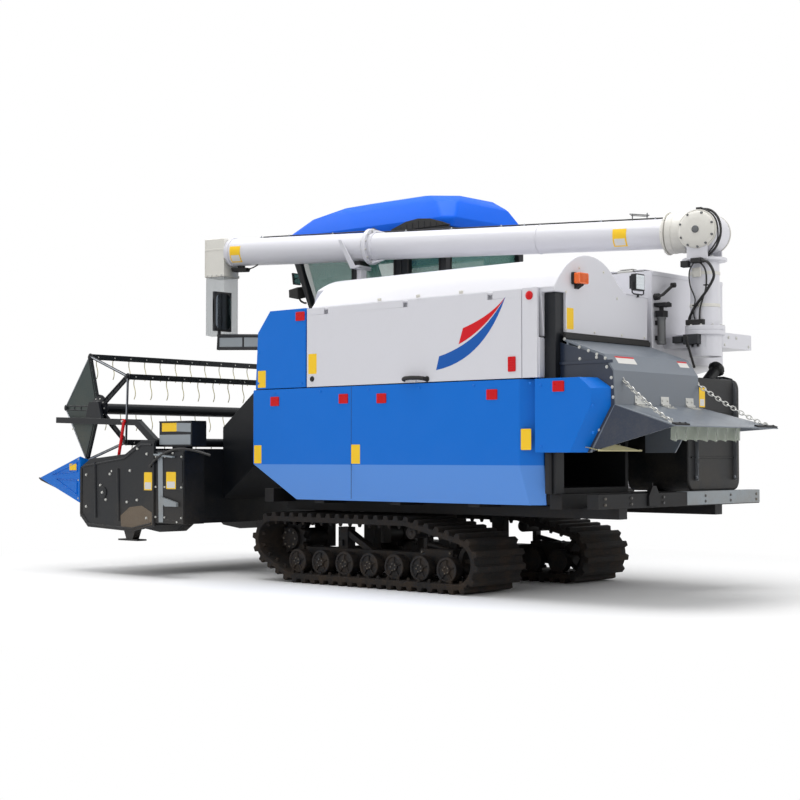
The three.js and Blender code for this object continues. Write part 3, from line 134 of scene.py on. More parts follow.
world = bpy.data.worlds.new("studio")
bpy.context.scene.world = world
world.use_nodes = True
sky = world.node_tree
sky.nodes.clear()
lit = sky.nodes.new("ShaderNodeBackground")
lit.inputs["Strength"].default_value = SKY
shown = sky.nodes.new("ShaderNodeBackground")
shown.inputs["Strength"].default_value = SHOWN
for background in (lit, shown):
    background.inputs["Color"].default_value = (1, 1, 1, 1)
mix = sky.nodes.new("ShaderNodeMixShader")
sky.links.new(seen_rays(sky), mix.inputs[0])
sky.links.new(lit.outputs[0], mix.inputs[1])
sky.links.new(shown.outputs[0], mix.inputs[2])
sky.links.new(mix.outputs[0], sky.nodes.new("ShaderNodeOutputWorld").inputs[0])

FLOOR_HALF = 40.0
floor_mesh = bpy.data.meshes.new("floor")
floor_mesh.from_pydata(
    [(x * FLOOR_HALF, y * FLOOR_HALF, -0.001) for x, y in ((-1, -1), (1, -1), (1, 1), (-1, 1))], [],
    [(0, 1, 2, 3)]
)
floor = bpy.data.objects.new("floor", floor_mesh)
bpy.context.scene.collection.objects.link(floor)
floor_paint = bpy.data.materials.new("floor_white")
floor_paint.use_nodes = True
floor_tree = floor_paint.node_tree
floor_tree.nodes.clear()
matt = floor_tree.nodes.new("ShaderNodeBsdfDiffuse")
matt.inputs["Color"].default_value = (0.9, 0.9, 0.9, 1)
paper = floor_tree.nodes.new("ShaderNodeEmission")
# The floor shows its shadow near the machine and fades into the white backdrop further out.
NEAR, FAR = 2.6, 4.6
place = floor_tree.nodes.new("ShaderNodeTexCoord").outputs["Object"]
spread = floor_tree.nodes.new("ShaderNodeVectorMath")
spread.operation = "LENGTH"
floor_tree.links.new(place, spread.inputs[0])
fade = floor_tree.nodes.new("ShaderNodeMapRange")
fade.interpolation_type = "SMOOTHSTEP"
fade.inputs["From Min"].default_value = NEAR
fade.inputs["From Max"].default_value = FAR
floor_tree.links.new(spread.outputs["Value"], fade.inputs["Value"])
away = floor_tree.nodes.new("ShaderNodeMath")
away.operation = "MULTIPLY"
floor_tree.links.new(fade.outputs["Result"], away.inputs[0])
floor_tree.links.new(seen_rays(floor_tree), away.inputs[1])
floor_mix = floor_tree.nodes.new("ShaderNodeMixShader")
floor_tree.links.new(away.outputs[0], floor_mix.inputs[0])
floor_tree.links.new(matt.outputs[0], floor_mix.inputs[1])
floor_tree.links.new(paper.outputs[0], floor_mix.inputs[2])
floor_tree.links.new(floor_mix.outputs[0], floor_tree.nodes.new("ShaderNodeOutputMaterial").inputs[0])
floor_mesh.materials.append(floor_paint)

# %% Lamps
LAMPS = {
    "top_box": ((-0.5, 0.5, 8.5), (0, 0, 1.0), 6.0, 520),
    "left_box": ((-2.5, 8.5, 4.5), (0, 0.5, 0.9), 5.0, 110),
    "rear_box": ((-8.0, -1.5, 4.5), (-1, 0, 1.2), 4.0, 130),
    "front_box": ((6.5, 1.0, 6.0), (0.5, 0, 1.2), 5.0, 160),
}
for name, (place, aim, size, watts) in LAMPS.items():
    lamp_data = bpy.data.lights.new(name, "AREA")
    lamp_data.size = size
    lamp_data.energy = watts
    lamp = bpy.data.objects.new(name, lamp_data)
    lamp.location = place
    lamp.rotation_euler = (Vector(aim) - Vector(place)).to_track_quat("-Z", "Y").to_euler()
    bpy.context.scene.collection.objects.link(lamp)
bpy.context.scene.view_settings.view_transform = "Standard"
print("lamps", len(LAMPS))

# %% [markdown]
# ## Shared effects for the finishes
#
# A farm machine's paint is never one flat colour. Two effects appear on nearly every finish: dust
# that settles more thickly low down, and a fine grain that breaks up the reflections. Each is a
# shader node group, built once, with inputs that every finish sets for itself. A group is better
# than a copy of its nodes in every material, because one change in it reaches all of them.


# %% Node group helpers
def new_group(name, sockets_in, sockets_out):
    """An empty shader node group with its sockets, and its input and output nodes."""
    tree = bpy.data.node_groups.new(name, "ShaderNodeTree")
    for label, kind, value in sockets_in:
        socket = tree.interface.new_socket(name=label, in_out="INPUT", socket_type=kind)
        socket.default_value = value
    for label, kind in sockets_out:
        tree.interface.new_socket(name=label, in_out="OUTPUT", socket_type=kind)
    return tree, tree.nodes.new("NodeGroupInput"), tree.nodes.new("NodeGroupOutput")


def math_node(tree, operation, a, b=None, clamp=False):
    """A Math node fed by sockets or plain numbers; gives its output socket."""
    node = tree.nodes.new("ShaderNodeMath")
    node.operation = operation
    node.use_clamp = clamp
    for index, value in enumerate((a, b)):
        if value is None:
            continue
        if isinstance(value, (int, float)):
            node.inputs[index].default_value = value
        else:
            tree.links.new(value, node.inputs[index])
    return node.outputs[0]


def noise_node(tree, vector, scale, detail=4.0, roughness=0.6):
    """A Noise texture on a vector; gives its Fac socket."""
    node = tree.nodes.new("ShaderNodeTexNoise")
    node.inputs["Detail"].default_value = detail
    node.inputs["Roughness"].default_value = roughness
    tree.links.new(vector, node.inputs["Vector"])
    if isinstance(scale, (int, float)):
        node.inputs["Scale"].default_value = scale
    else:
        tree.links.new(scale, node.inputs["Scale"])
    return node.outputs["Fac"]


def ramp_node(tree, fac, low, high):
    """Maps fac from low..high to 0..1, clamped and smooth."""
    node = tree.nodes.new("ShaderNodeMapRange")
    node.interpolation_type = "SMOOTHSTEP"
    tree.links.new(fac, node.inputs["Value"])
    for label, value in (("From Min", low), ("From Max", high)):
        if isinstance(value, (int, float)):
            node.inputs[label].default_value = value
        else:
            tree.links.new(value, node.inputs[label])
    return node.outputs["Result"]


def mix_colour(tree, fac, a, b):
    """Mixes two colours by fac; gives the colour socket."""
    node = tree.nodes.new("ShaderNodeMix")
    node.data_type = "RGBA"
    for socket, value in ((node.inputs[0], fac), (node.inputs[6], a), (node.inputs[7], b)):
        if isinstance(value, (int, float)) or isinstance(value, tuple):
            socket.default_value = value
        else:
            tree.links.new(value, socket)
    return node.outputs[2]


# %% Dust group
def make_dust_group():
    """Dust and mud: patches by noise, thicker towards the ground."""
    tree, inside, outside = new_group(
        "dust",
        [
            ("Paint", "NodeSocketColor", (0.5, 0.5, 0.5, 1)),
            ("Dirt", "NodeSocketColor", (0.25, 0.21, 0.16, 1)),
            ("Amount", "NodeSocketFloat", 0.3),
            ("Clean above", "NodeSocketFloat", 1.2),
            ("Patch scale", "NodeSocketFloat", 6.0),
            ("Roughness", "NodeSocketFloat", 0.4),
        ],
        [("Color", "NodeSocketColor"), ("Roughness", "NodeSocketFloat"), ("Mask", "NodeSocketFloat")],
    )
    coords = tree.nodes.new("ShaderNodeTexCoord").outputs["Object"]
    split = tree.nodes.new("ShaderNodeSeparateXYZ")
    tree.links.new(coords, split.inputs[0])
    height = ramp_node(tree, split.outputs["Z"], inside.outputs["Clean above"], 0.0)
    patches = noise_node(tree, coords, inside.outputs["Patch scale"], detail=6.0)
    specks = noise_node(tree, coords, 90.0, detail=2.0)
    patchy = ramp_node(tree, patches, 0.38, 0.68)
    speckled = math_node(tree, "MULTIPLY", ramp_node(tree, specks, 0.45, 0.62), 0.5)
    both = math_node(tree, "ADD", patchy, speckled)
    lower = math_node(tree, "ADD", height, 0.12)
    mask = math_node(tree, "MULTIPLY", math_node(tree, "MULTIPLY", both, lower), inside.outputs["Amount"],
                     clamp=True)
    tree.links.new(
        mix_colour(tree, mask, inside.outputs["Paint"], inside.outputs["Dirt"]), outside.inputs["Color"]
    )
    added = math_node(tree, "MULTIPLY", mask, 0.5)
    wander = math_node(tree, "MULTIPLY", math_node(tree, "SUBTRACT", patches, 0.5), 0.16)
    rough = math_node(tree, "ADD", math_node(tree, "ADD", inside.outputs["Roughness"], added), wander,
                      clamp=True)
    tree.links.new(rough, outside.inputs["Roughness"])
    tree.links.new(mask, outside.inputs["Mask"])
    return tree


def make_grain_group():
    """Fine relief: orange peel on paint, pebbling on plastic, pits on castings, and faint rubbed streaks."""
    tree, inside, outside = new_group(
        "grain",
        [("Size", "NodeSocketFloat", 400.0), ("Ripple", "NodeSocketFloat", 6.0),
         ("Ripple share", "NodeSocketFloat", 0.3)],
        [("Height", "NodeSocketFloat"), ("Shade", "NodeSocketFloat")],
    )
    coords = tree.nodes.new("ShaderNodeTexCoord").outputs["Object"]
    fine = noise_node(tree, coords, inside.outputs["Size"], detail=2.0)
    broad = noise_node(tree, coords, inside.outputs["Ripple"], detail=1.0)
    share = math_node(tree, "MULTIPLY", broad, inside.outputs["Ripple share"])
    tree.links.new(math_node(tree, "ADD", fine, share), outside.inputs["Height"])
    tree.links.new(math_node(tree, "MULTIPLY", math_node(tree, "ADD", fine, broad), 0.5),
                   outside.inputs["Shade"])
    return tree


DUST = make_dust_group()
GRAIN = make_grain_group()
print("effects", [group.name for group in bpy.data.node_groups])

# %% [markdown]
# ## The finishes
#
# Every finish is one Principled shader. Colours are written the way a paint card gives them, 0 to
# 255, and turned into the linear values that Blender mixes with.


# %% Finish maker
def shade(red, green, blue):
    """A paint card's 0-255 colour as Blender's linear colour."""
    def linear(value):
        value /= 255
        return value / 12.92 if value <= 0.04045 else ((value + 0.055) / 1.055) ** 2.4

    return (linear(red), linear(green), linear(blue), 1.0)


FIELD_DUST = shade(140, 126, 104)
DRY_MUD = shade(92, 76, 60)


def finish(name, colour, rough, metal=0.0, coat=0.0, dust=0.25, clean=1.1, dirt=FIELD_DUST, patch=5.0,
           grain=420.0, relief=0.02, ripple=5.0, share=0.3, vary=0.06, alpha=1.0, through=0.0, glow=0.0,
           gloss=0.5):
    """A Principled finish with the dust and grain groups in front of it."""
    material = bpy.data.materials.new(name)
    material.use_nodes = True
    tree = material.node_tree
    shader = tree.nodes["Principled BSDF"]
    relief_node = tree.nodes.new("ShaderNodeGroup")
    relief_node.node_tree = GRAIN
    for label, value in (("Size", grain), ("Ripple", ripple), ("Ripple share", share)):
        relief_node.inputs[label].default_value = value
    dark = tuple(channel * (1 - vary) for channel in colour[:3]) + (1.0,)
    light = tuple(min(1.0, channel * (1 + vary)) for channel in colour[:3]) + (1.0,)
    base = mix_colour(tree, relief_node.outputs["Shade"], dark, light)
    dust_node = tree.nodes.new("ShaderNodeGroup")
    dust_node.node_tree = DUST
    tree.links.new(base, dust_node.inputs["Paint"])
    for label, value in (("Dirt", dirt), ("Amount", dust), ("Clean above", clean), ("Patch scale", patch),
                         ("Roughness", rough)):
        dust_node.inputs[label].default_value = value
    tree.links.new(dust_node.outputs["Color"], shader.inputs["Base Color"])
    tree.links.new(dust_node.outputs["Roughness"], shader.inputs["Roughness"])
    bump = tree.nodes.new("ShaderNodeBump")
    bump.inputs["Strength"].default_value = relief * 10
    bump.inputs["Distance"].default_value = 0.002
    tree.links.new(relief_node.outputs["Height"], bump.inputs["Height"])
    tree.links.new(bump.outputs["Normal"], shader.inputs["Normal"])
    shader.inputs["Metallic"].default_value = metal
    shader.inputs["Coat Weight"].default_value = coat
    shader.inputs["Coat Roughness"].default_value = 0.12
    shader.inputs["Alpha"].default_value = alpha
    shader.inputs["Specular IOR Level"].default_value = gloss
    shader.inputs["Transmission Weight"].default_value = through
    if glow:
        shader.inputs["Emission Color"].default_value = colour
        shader.inputs["Emission Strength"].default_value = glow
    return material


# %% The machine's finishes
blue = finish("blue_paint", shade(0, 108, 206), 0.34, coat=0.06, dust=0.06, clean=1.0, vary=0.04, gloss=0.18)
roof_blue = finish("roof_paint", shade(0, 92, 214), 0.46, dust=0.03, clean=0.6, vary=0.05, gloss=0.15)
white = finish("white_paint", shade(212, 212, 218), 0.34, coat=0.1, dust=0.14, clean=1.4, vary=0.02)
ivory = finish("cream_casting", shade(216, 214, 207), 0.48, dust=0.2, clean=1.6, grain=150, relief=0.05)
grey = finish("hood_grey", shade(104, 112, 122), 0.38, coat=0.15, dust=0.3, clean=1.4, vary=0.05)
light_grey = finish("beam_grey", shade(138, 146, 152), 0.45, metal=0.1, dust=0.45, clean=1.0)
navy = finish("navy_paint", shade(18, 34, 56), 0.34, coat=0.2, dust=0.2, clean=1.5)
black = finish("black_paint", shade(15, 19, 25), 0.42, coat=0.05, dust=0.1, clean=0.9, gloss=0.3)
header_black = finish("header_black", shade(13, 17, 23), 0.42, coat=0.04, dust=0.08, clean=1.0, patch=3.0,
                      gloss=0.3)
frame_black = finish("frame_black", shade(13, 15, 19), 0.55, dust=0.2, clean=0.8, dirt=DRY_MUD, patch=9.0,
                     gloss=0.3)
cast_iron = finish("cast_iron", shade(20, 22, 26), 0.6, metal=0.2, dust=0.26, clean=0.7, dirt=DRY_MUD,
                   patch=12.0, gloss=0.35,
                   grain=160, relief=0.08)
track_rubber = finish("track_rubber", shade(17, 17, 19), 0.8, dust=0.24, gloss=0.3, clean=0.75, dirt=DRY_MUD,
                      patch=7.0,
                      grain=240, relief=0.09, vary=0.2)
trim_rubber = finish("trim_rubber", shade(16, 16, 17), 0.7, dust=0.1, grain=300, relief=0.05)
cable_skin = finish("cable_skin", shade(14, 14, 15), 0.5, dust=0.05, grain=500, relief=0.03)
tank_plastic = finish("tank_plastic", shade(15, 17, 20), 0.42, dust=0.14, gloss=0.3, clean=1.2, grain=260,
                      relief=0.06)
cab_plastic = finish("cab_plastic", shade(34, 37, 41), 0.6, dust=0.05, grain=700, relief=0.05)
steel = finish("bright_steel", shade(150, 154, 160), 0.3, metal=0.9, dust=0.15, clean=1.0, grain=260,
               relief=0.02)
dull_steel = finish("dull_steel", shade(96, 98, 100), 0.5, metal=0.7, dust=0.5, clean=1.2, grain=200,
                    relief=0.05)
chrome = finish("chrome", shade(205, 208, 212), 0.1, metal=1.0, dust=0.0, grain=300, relief=0.004)
zinc = finish("zinc_bolts", shade(196, 196, 192), 0.38, metal=0.7, dust=0.1, grain=300, relief=0.01)
cream_wire = finish("cream_wire", shade(204, 196, 150), 0.5, metal=0.1, dust=0.1, grain=300)
yellow = finish("yellow_label", shade(244, 198, 16), 0.45, dust=0.05, grain=600, relief=0.01)
label_white = finish("white_label", shade(214, 212, 208), 0.45, dust=0.05, grain=600, relief=0.01)
red = finish("red_reflector", shade(202, 4, 18), 0.3, coat=0.1, dust=0.03, grain=500, relief=0.02, gloss=0.2)
orange = finish("amber_lens", shade(238, 104, 22), 0.25, coat=0.5, dust=0.03, grain=300, relief=0.02)
mirror = finish("mirror_glass", shade(190, 200, 208), 0.04, metal=1.0, dust=0.0, grain=60, relief=0.001)
vinyl = finish("seat_vinyl", shade(34, 38, 42), 0.5, dust=0.06, grain=420, relief=0.12)
lamp_glass = finish("lamp_glass", shade(226, 232, 236), 0.12, coat=0.6, dust=0.02, grain=120, relief=0.05)

# The skirt under the covers leans in towards the ground, and below one line its blue is painted
# paler: painted light for the brighter band it shows.
SKIRT_LINE = 0.829
skirt_blue = finish("skirt_blue", shade(0, 108, 206), 0.36, coat=0.05, dust=0.06, clean=1.0, vary=0.04,
                    gloss=0.18)
skirt_tree = skirt_blue.node_tree
skirt_dust = next(node for node in skirt_tree.nodes if node.type == "GROUP" and node.node_tree == DUST)
skirt_height = skirt_tree.nodes.new("ShaderNodeSeparateXYZ")
skirt_tree.links.new(skirt_tree.nodes.new("ShaderNodeTexCoord").outputs["Object"], skirt_height.inputs[0])
below = ramp_node(skirt_tree, skirt_height.outputs["Z"], SKIRT_LINE, SKIRT_LINE - 0.004)
# painted light: below the skirt line the blue is mixed 42 % of the way towards a pale blue
skirt_painted_light = math_node(skirt_tree, "MULTIPLY", below, 0.42)
skirt_tree.links.new(
    mix_colour(skirt_tree, skirt_painted_light, skirt_dust.inputs["Paint"].links[0].from_socket, shade(132, 178, 236)),
    skirt_dust.inputs["Paint"],
)
print("finishes", len(bpy.data.materials))

# %% [markdown]
# ## Glass and clear sheet
#
# The cab's glass has a green tint and the curtain under the hood is clear, yellowed sheet. The glass
# keeps plain values on its shader and no bump, so that it stays clean to look through.


# %% See-through finishes
def clear_finish(name, colour, rough, alpha, through):
    material = bpy.data.materials.new(name)
    material.use_nodes = True
    shader = material.node_tree.nodes["Principled BSDF"]
    shader.inputs["Base Color"].default_value = colour
    shader.inputs["Roughness"].default_value = rough
    shader.inputs["Alpha"].default_value = alpha
    shader.inputs["Transmission Weight"].default_value = through
    shader.inputs["IOR"].default_value = 1.45
    return material


green_glass = clear_finish("green_glass", shade(96, 146, 136), 0.03, 0.46, 0.0)
curtain_sheet = clear_finish("curtain_sheet", shade(176, 184, 170), 0.16, 0.55, 0.0)
sleeve_sheet = clear_finish("sleeve_sheet", shade(170, 176, 178), 0.12, 0.5, 0.0)

# %% [markdown]
# ## Dressing the solid model
#
# The solids already have the right shapes, but their edges are perfectly sharp, which no pressed
# or welded part has. A Weld modifier joins the loose triangles, a small Bevel rounds the edges and
# Weighted Normal keeps the broad faces flat, without touching the solid's own vertices.

# %% Finishes and rounded edges for the solids
DRESS = {
    skirt_blue: ("lower_side_cover",),
    blue: ("front_side_cover", "rear_side_cover", "left_divider", "right_divider", "cab_door"),
    roof_blue: ("cab_roof",),
    white: ("side_door", "corner_panel", "drum_cover", "grain_tank", "auger_base", "auger_post", "auger_tube",
            "tube_rest"),
    ivory: ("auger_spout",),
    grey: ("straw_hood", "deflector_flap"),
    cab_plastic: ("steering_console", "seat_base"),
    frame_black: ("threshing_housing", "chassis_frame", "engine_block", "engine_housing"),
    header_black: ("feeder_house", "header_body", "header_drive_case", "reel_arms", "reel", "tine_bar_1",
                   "tine_bar_2", "tine_bar_3", "tine_bar_4", "tine_bar_5"),
    cast_iron: ("left_track_frame", "right_track_frame", "left_sprocket", "right_sprocket", "left_idler",
                "right_idler"),
    track_rubber: ("left_track", "right_track"),
    tank_plastic: ("fuel_tank",),
    dull_steel: ("cutter_bar", "header_auger"),
    black: ("rear_post", "cab_frame", "mirror_bracket", "engine_screen_door", "cab_base",
            "lift_cylinder_barrel"),
    chrome: ("lift_cylinder_rod",),
    green_glass: ("left_window", "rear_window", "windscreen", "cab_door_window"),
}
NO_BEVEL = {"left_window", "rear_window", "windscreen", "cab_door_window"}
SOFT_EDGE = {"fuel_tank": 0.012, "cab_roof": 0.02, "drum_cover": 0.006, "lower_side_cover": 0.006,
             "left_track": 0.004,
             "right_track": 0.004, "auger_tube": 0.002, "cutter_bar": 0.001, "header_auger": 0.001,
             "auger_spout": 0.008}


def round_edges(obj, width, angle=32.0):
    """Joins loose triangles, rounds the sharp edges and keeps flat faces flat, all as modifiers."""
    weld = obj.modifiers.new("weld", "WELD")
    weld.merge_threshold = 1e-5
    if width:
        bevel = obj.modifiers.new("bevel", "BEVEL")
        bevel.width = width
        bevel.segments = 2
        bevel.limit_method = "ANGLE"
        bevel.angle_limit = math.radians(angle)
        bevel.use_clamp_overlap = False
    weighted = obj.modifiers.new("weighted", "WEIGHTED_NORMAL")
    weighted.keep_sharp = True


for material, names in DRESS.items():
    for name in names:
        obj = nodes[name]
        obj.data.materials.clear()
        obj.data.materials.append(material)
        if name in NO_BEVEL:
            continue
        for polygon in obj.data.polygons:
            polygon.use_smooth = True
        round_edges(obj, SOFT_EDGE.get(name, 0.0025))
print("dressed", sum(len(names) for names in DRESS.values()), "solids")

# %% [markdown]
# ## Tools for new pieces
#
# Most trim is a few simple forms welded together: a plate with an outline, a rod, a bent tube, a
# turned part, a bolt. A small builder collects them in one mesh, so a hinge or a lamp is a handful
# of lines, and its edges are rounded at the end like the rest of the machine.


# %% Shape builder
class Shape:
    """Collects simple closed forms, given in the machine's millimetres, in one mesh."""

    def __init__(self):
        self.mesh = bmesh.new()

    def prism(self, ring_low, ring_high):
        """A closed form between two rings of the same count."""
        low = [self.mesh.verts.new(at(*p)) for p in ring_low]
        high = [self.mesh.verts.new(at(*p)) for p in ring_high]
        count = len(low)
        self.mesh.faces.new(low)
        self.mesh.faces.new(list(reversed(high)))
        for i in range(count):
            j = (i + 1) % count
            self.mesh.faces.new((low[j], low[i], high[i], high[j]))
        return self

    def plate(self, outline, along, start, end):
        """An outline in the plane across the named axis, from start to end along it."""
        def lift(a, b, depth):
            return {"x": (depth, a, b), "y": (a, depth, b), "z": (a, b, depth)}[along]

        return self.prism([lift(a, b, start) for a, b in outline], [lift(a, b, end) for a, b in outline])

    def block(self, low, high):
        """A plain block between two corners."""
        (x0, y0, z0), (x1, y1, z1) = low, high
        return self.plate(((x0, y0), (x1, y0), (x1, y1), (x0, y1)), "z", z0, z1)

    def rod(self, a, b, radius, sides=16, radius_b=None):
        """A round bar or cone from a to b."""
        return self.tube([a, b], radius, sides, radii=(radius, radius if radius_b is None else radius_b))

    def tube(self, points, radius, sides=12, radii=None, flat=1.0, closed=False):
        """A round bar along a path; flat squeezes its section."""
        points = [Vector(p) for p in points]
        count = len(points)
        rings = []
        side = None
        for i, point in enumerate(points):
            before = points[i - 1] if (i or closed) else point
            after = points[(i + 1) % count] if (i < count - 1 or closed) else point
            heading = (after - before).normalized()
            if side is None:
                spare = Vector((0, 0, 1)) if abs(heading.z) < 0.9 else Vector((1, 0, 0))
                side = heading.cross(spare).normalized()
            side = (side - heading * side.dot(heading)).normalized()
            other = heading.cross(side)
            r = radii[i] if radii else radius
            rings.append([self.mesh.verts.new(at(*(point + side * math.cos(t) * r + other * math.sin(t) * r * flat)))
                          for t in (2 * math.pi * k / sides for k in range(sides))])
        for i in range(count if closed else count - 1):
            low, high = rings[i], rings[(i + 1) % count]
            for k in range(sides):
                n = (k + 1) % sides
                self.mesh.faces.new((low[k], low[n], high[n], high[k]))
        if not closed:
            self.mesh.faces.new(list(reversed(rings[0])))
            self.mesh.faces.new(rings[-1])
        return self

    def turned(self, profile, centre, axis, sides=32):
        """A turned part: (radius, distance) pairs round an axis through centre, closed at both ends."""
        axis = Vector(axis).normalized()
        spare = Vector((0, 0, 1)) if abs(axis.z) < 0.9 else Vector((1, 0, 0))
        u = axis.cross(spare).normalized()
        v = axis.cross(u)
        centre = Vector(centre)
        rings = [[self.mesh.verts.new(at(*(centre + axis * d + u * math.cos(t) * r + v * math.sin(t) * r)))
                  for t in (2 * math.pi * k / sides for k in range(sides))] for r, d in profile]
        for low, high in zip(rings, rings[1:]):
            for k in range(sides):
                n = (k + 1) % sides
                self.mesh.faces.new((low[k], low[n], high[n], high[k]))
        self.mesh.faces.new(list(reversed(rings[0])))
        self.mesh.faces.new(rings[-1])
        return self

    def bolt(self, place, axis, across=16, height=7):
        """A flanged hexagon bolt head standing on place."""
        place, axis = Vector(place), Vector(axis).normalized()
        self.turned([(across * 0.72, 0), (across * 0.72, height * 0.25)], place, axis, sides=14)
        return self.turned([(across * 0.5, height * 0.25), (across * 0.5, height * 0.85),
                            (across * 0.4, height)],
                           place, axis, sides=6)

    def piece(self, name, body, slot, material, rounding=0.0012, angle=32.0):
        """Ends the shape as one object that rides on a body."""
        bmesh.ops.recalc_face_normals(self.mesh, faces=self.mesh.faces)
        mesh = bpy.data.meshes.new(name)
        self.mesh.to_mesh(mesh)
        self.mesh.free()
        for polygon in mesh.polygons:
            polygon.use_smooth = True
        mesh.materials.append(material)
        obj = bpy.data.objects.new(name, mesh)
        bpy.context.scene.collection.objects.link(obj)
        if rounding:
            bevel = obj.modifiers.new("bevel", "BEVEL")
            bevel.width = rounding
            bevel.segments = 2
            bevel.limit_method = "ANGLE"
            bevel.angle_limit = math.radians(angle)
            bevel.use_clamp_overlap = False
            obj.modifiers.new("weighted", "WEIGHTED_NORMAL").keep_sharp = True
        else:
            mesh.set_sharp_from_angle(angle=math.radians(angle))
        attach(obj, body)
        return obj


def rounded(u0, v0, u1, v1, radius, steps=4):
    """The outline of a rectangle with round corners."""
    outline = []
    for cu, cv, start in ((u1 - radius, v1 - radius, 0), (u0 + radius, v1 - radius, 90),
                          (u0 + radius, v0 + radius, 180), (u1 - radius, v0 + radius, 270)):
        for k in range(steps + 1):
            t = math.radians(start + 90 * k / steps)
            outline.append((cu + radius * math.cos(t), cv + radius * math.sin(t)))
    return outline


print("shape builder ready")

# %% [markdown]
# ## Left side: stripes, labels, reflectors and the door's handle
#
# The stripe is a sheet of film on the white door: two bands that sweep up to one point. Each band's
# edge is a smooth curve through a few points, closed into an outline and given the film's small
# thickness. Labels and reflectors are plates with round corners. They stay blank.

# %% Film stripes on the door
DOOR_FACE = 950
COVER_FACE = 950
FILM = 0.8  # thicker than real film, so it can't flicker with the paint behind it
STRIPE_TIP = (-1352, 1862)


def sweep(start, lean, end, count=14):
    """Points on a quadratic curve from start, pulled towards lean, to end."""
    return [tuple((1 - t) ** 2 * s + 2 * t * (1 - t) * m + t * t * e for s, m, e in zip(start, lean, end))
            for t in (i / (count - 1) for i in range(count))]


def stripe(name, low_start, low_lean, high_start, high_lean, material):
    low = sweep(low_start, low_lean, STRIPE_TIP)
    high = sweep(high_start, high_lean, STRIPE_TIP)
    outline = low[:-1] + [STRIPE_TIP] + list(reversed(high[:-1]))
    shape = Shape().plate(outline, "y", DOOR_FACE, DOOR_FACE + FILM)
    return shape.piece(name, "side_door", "paint_blue", material, rounding=0)


stripe_blue = finish("stripe_blue", shade(2, 84, 168), 0.36, coat=0.05, dust=0.05, vary=0.03, gloss=0.25)
stripe_red = finish("stripe_red", shade(206, 10, 26), 0.36, coat=0.05, dust=0.05, vary=0.03, gloss=0.25)
stripe("door_stripe_blue", (-791, 1432), (-1180, 1478), (-816, 1519), (-1150, 1590), stripe_blue)
stripe("door_stripe_red", (-978, 1588), (-1190, 1665), (-1013, 1688), (-1240, 1752), stripe_red)

# %% Labels and reflectors
LABELS = {  # name: (body, face, x middle, z middle, width, height, material)
    "label_door": ("side_door", DOOR_FACE, 328, 1517, 80, 138, yellow),
    "label_front_cover": ("machine", COVER_FACE, 836, 1428, 80, 120, yellow),
    "label_low_front": ("machine", COVER_FACE, 876, 897, 76, 128, yellow),
    "label_low_middle": ("machine", COVER_FACE, -82, 897, 80, 128, yellow),
    "label_low_rear": ("machine", COVER_FACE, -1508, 985, 78, 128, yellow),
}
for name, (body, face, x, z, width, height, material) in LABELS.items():
    outline = rounded(x - width / 2, z - height / 2, x + width / 2, z + height / 2, 5)
    Shape().plate(outline, "y", face, face + FILM).piece(name, body, "paint_white", material, rounding=0)

REFLECTORS = {
    "reflector_front_top": ("machine", COVER_FACE, 447, 1852, 86, 62),
    "reflector_low_1": ("machine", COVER_FACE, 700, 1268, 84, 64),
    "reflector_low_2": ("machine", COVER_FACE, 30, 1270, 84, 64),
    "reflector_low_3": ("machine", COVER_FACE, -318, 1264, 84, 64),
    "reflector_low_4": ("machine", COVER_FACE, -1246, 1264, 84, 64),
    "reflector_rear_cover": ("machine", COVER_FACE, -1752, 1300, 84, 64),
    "reflector_door": ("side_door", DOOR_FACE, -1402, 1446, 58, 92),
}
for name, (body, face, x, z, width, height) in REFLECTORS.items():
    lens = Shape().plate(rounded(x - width / 2, z - height / 2, x + width / 2, z + height / 2, 6), "y", face,
                         face + 6)
    for k in range(1, 6):
        if width > height:
            u = x - width / 2 + width * k / 6
            lens.block((u - 1, face + 5, z - height / 2 + 8), (u + 1, face + 7.2, z + height / 2 - 6))
        else:
            v = z - height / 2 + height * k / 6
            lens.block((x - width / 2 + 6, face + 5, v - 1), (x + width / 2 - 6, face + 7.2, v + 1))
    lens.piece(name, body, "paint_blue", red, rounding=0.001)

round_lens = Shape().turned([(27, 0), (27, 5), (22, 8), (10, 10.5), (0.5, 11)], (-1536, 950, 1858),
                            (0, 1, 0), 28)
round_lens.piece("reflector_round", "machine", "paint_blue", red, rounding=0)

# %% Door handle, lock and seam clips
grip = Shape()
grip_path = [(-715, 963, 1378), (-708, 985, 1381), (-680, 998, 1385), (-620, 1002, 1387), (-565, 998, 1385),
             (-540, 985, 1381), (-533, 963, 1378)]
grip.tube(grip_path, 11, 12, flat=1.25)
for x in (-715, -533):
    grip.turned([(19, -1), (19, 3), (15, 6)], (x, DOOR_FACE, 1378), (0, 1, 0), 20)
grip.piece("door_handle", "side_door", "paint_black", trim_rubber, rounding=0)

lock = Shape().turned([(19, 0), (19, 3), (15, 5), (15, 9), (12, 10)], (330, DOOR_FACE, 1413), (0, 1, 0), 24)
lock.block((328, DOOR_FACE + 9, 1405), (332, DOOR_FACE + 12, 1421))
lock.piece("door_lock", "side_door", "paint_black", trim_rubber, rounding=0.0006)

clips = Shape()
for x in (-300, -640, -1000):
    clips.block((x - 16, 948, 1906), (x + 16, 956, 1926))
    clips.bolt((x, 955, 1916), (0, 1, 0), 13, 6)
clips.piece("door_seam_clips", "machine", "paint_white", ivory, rounding=0.0015)

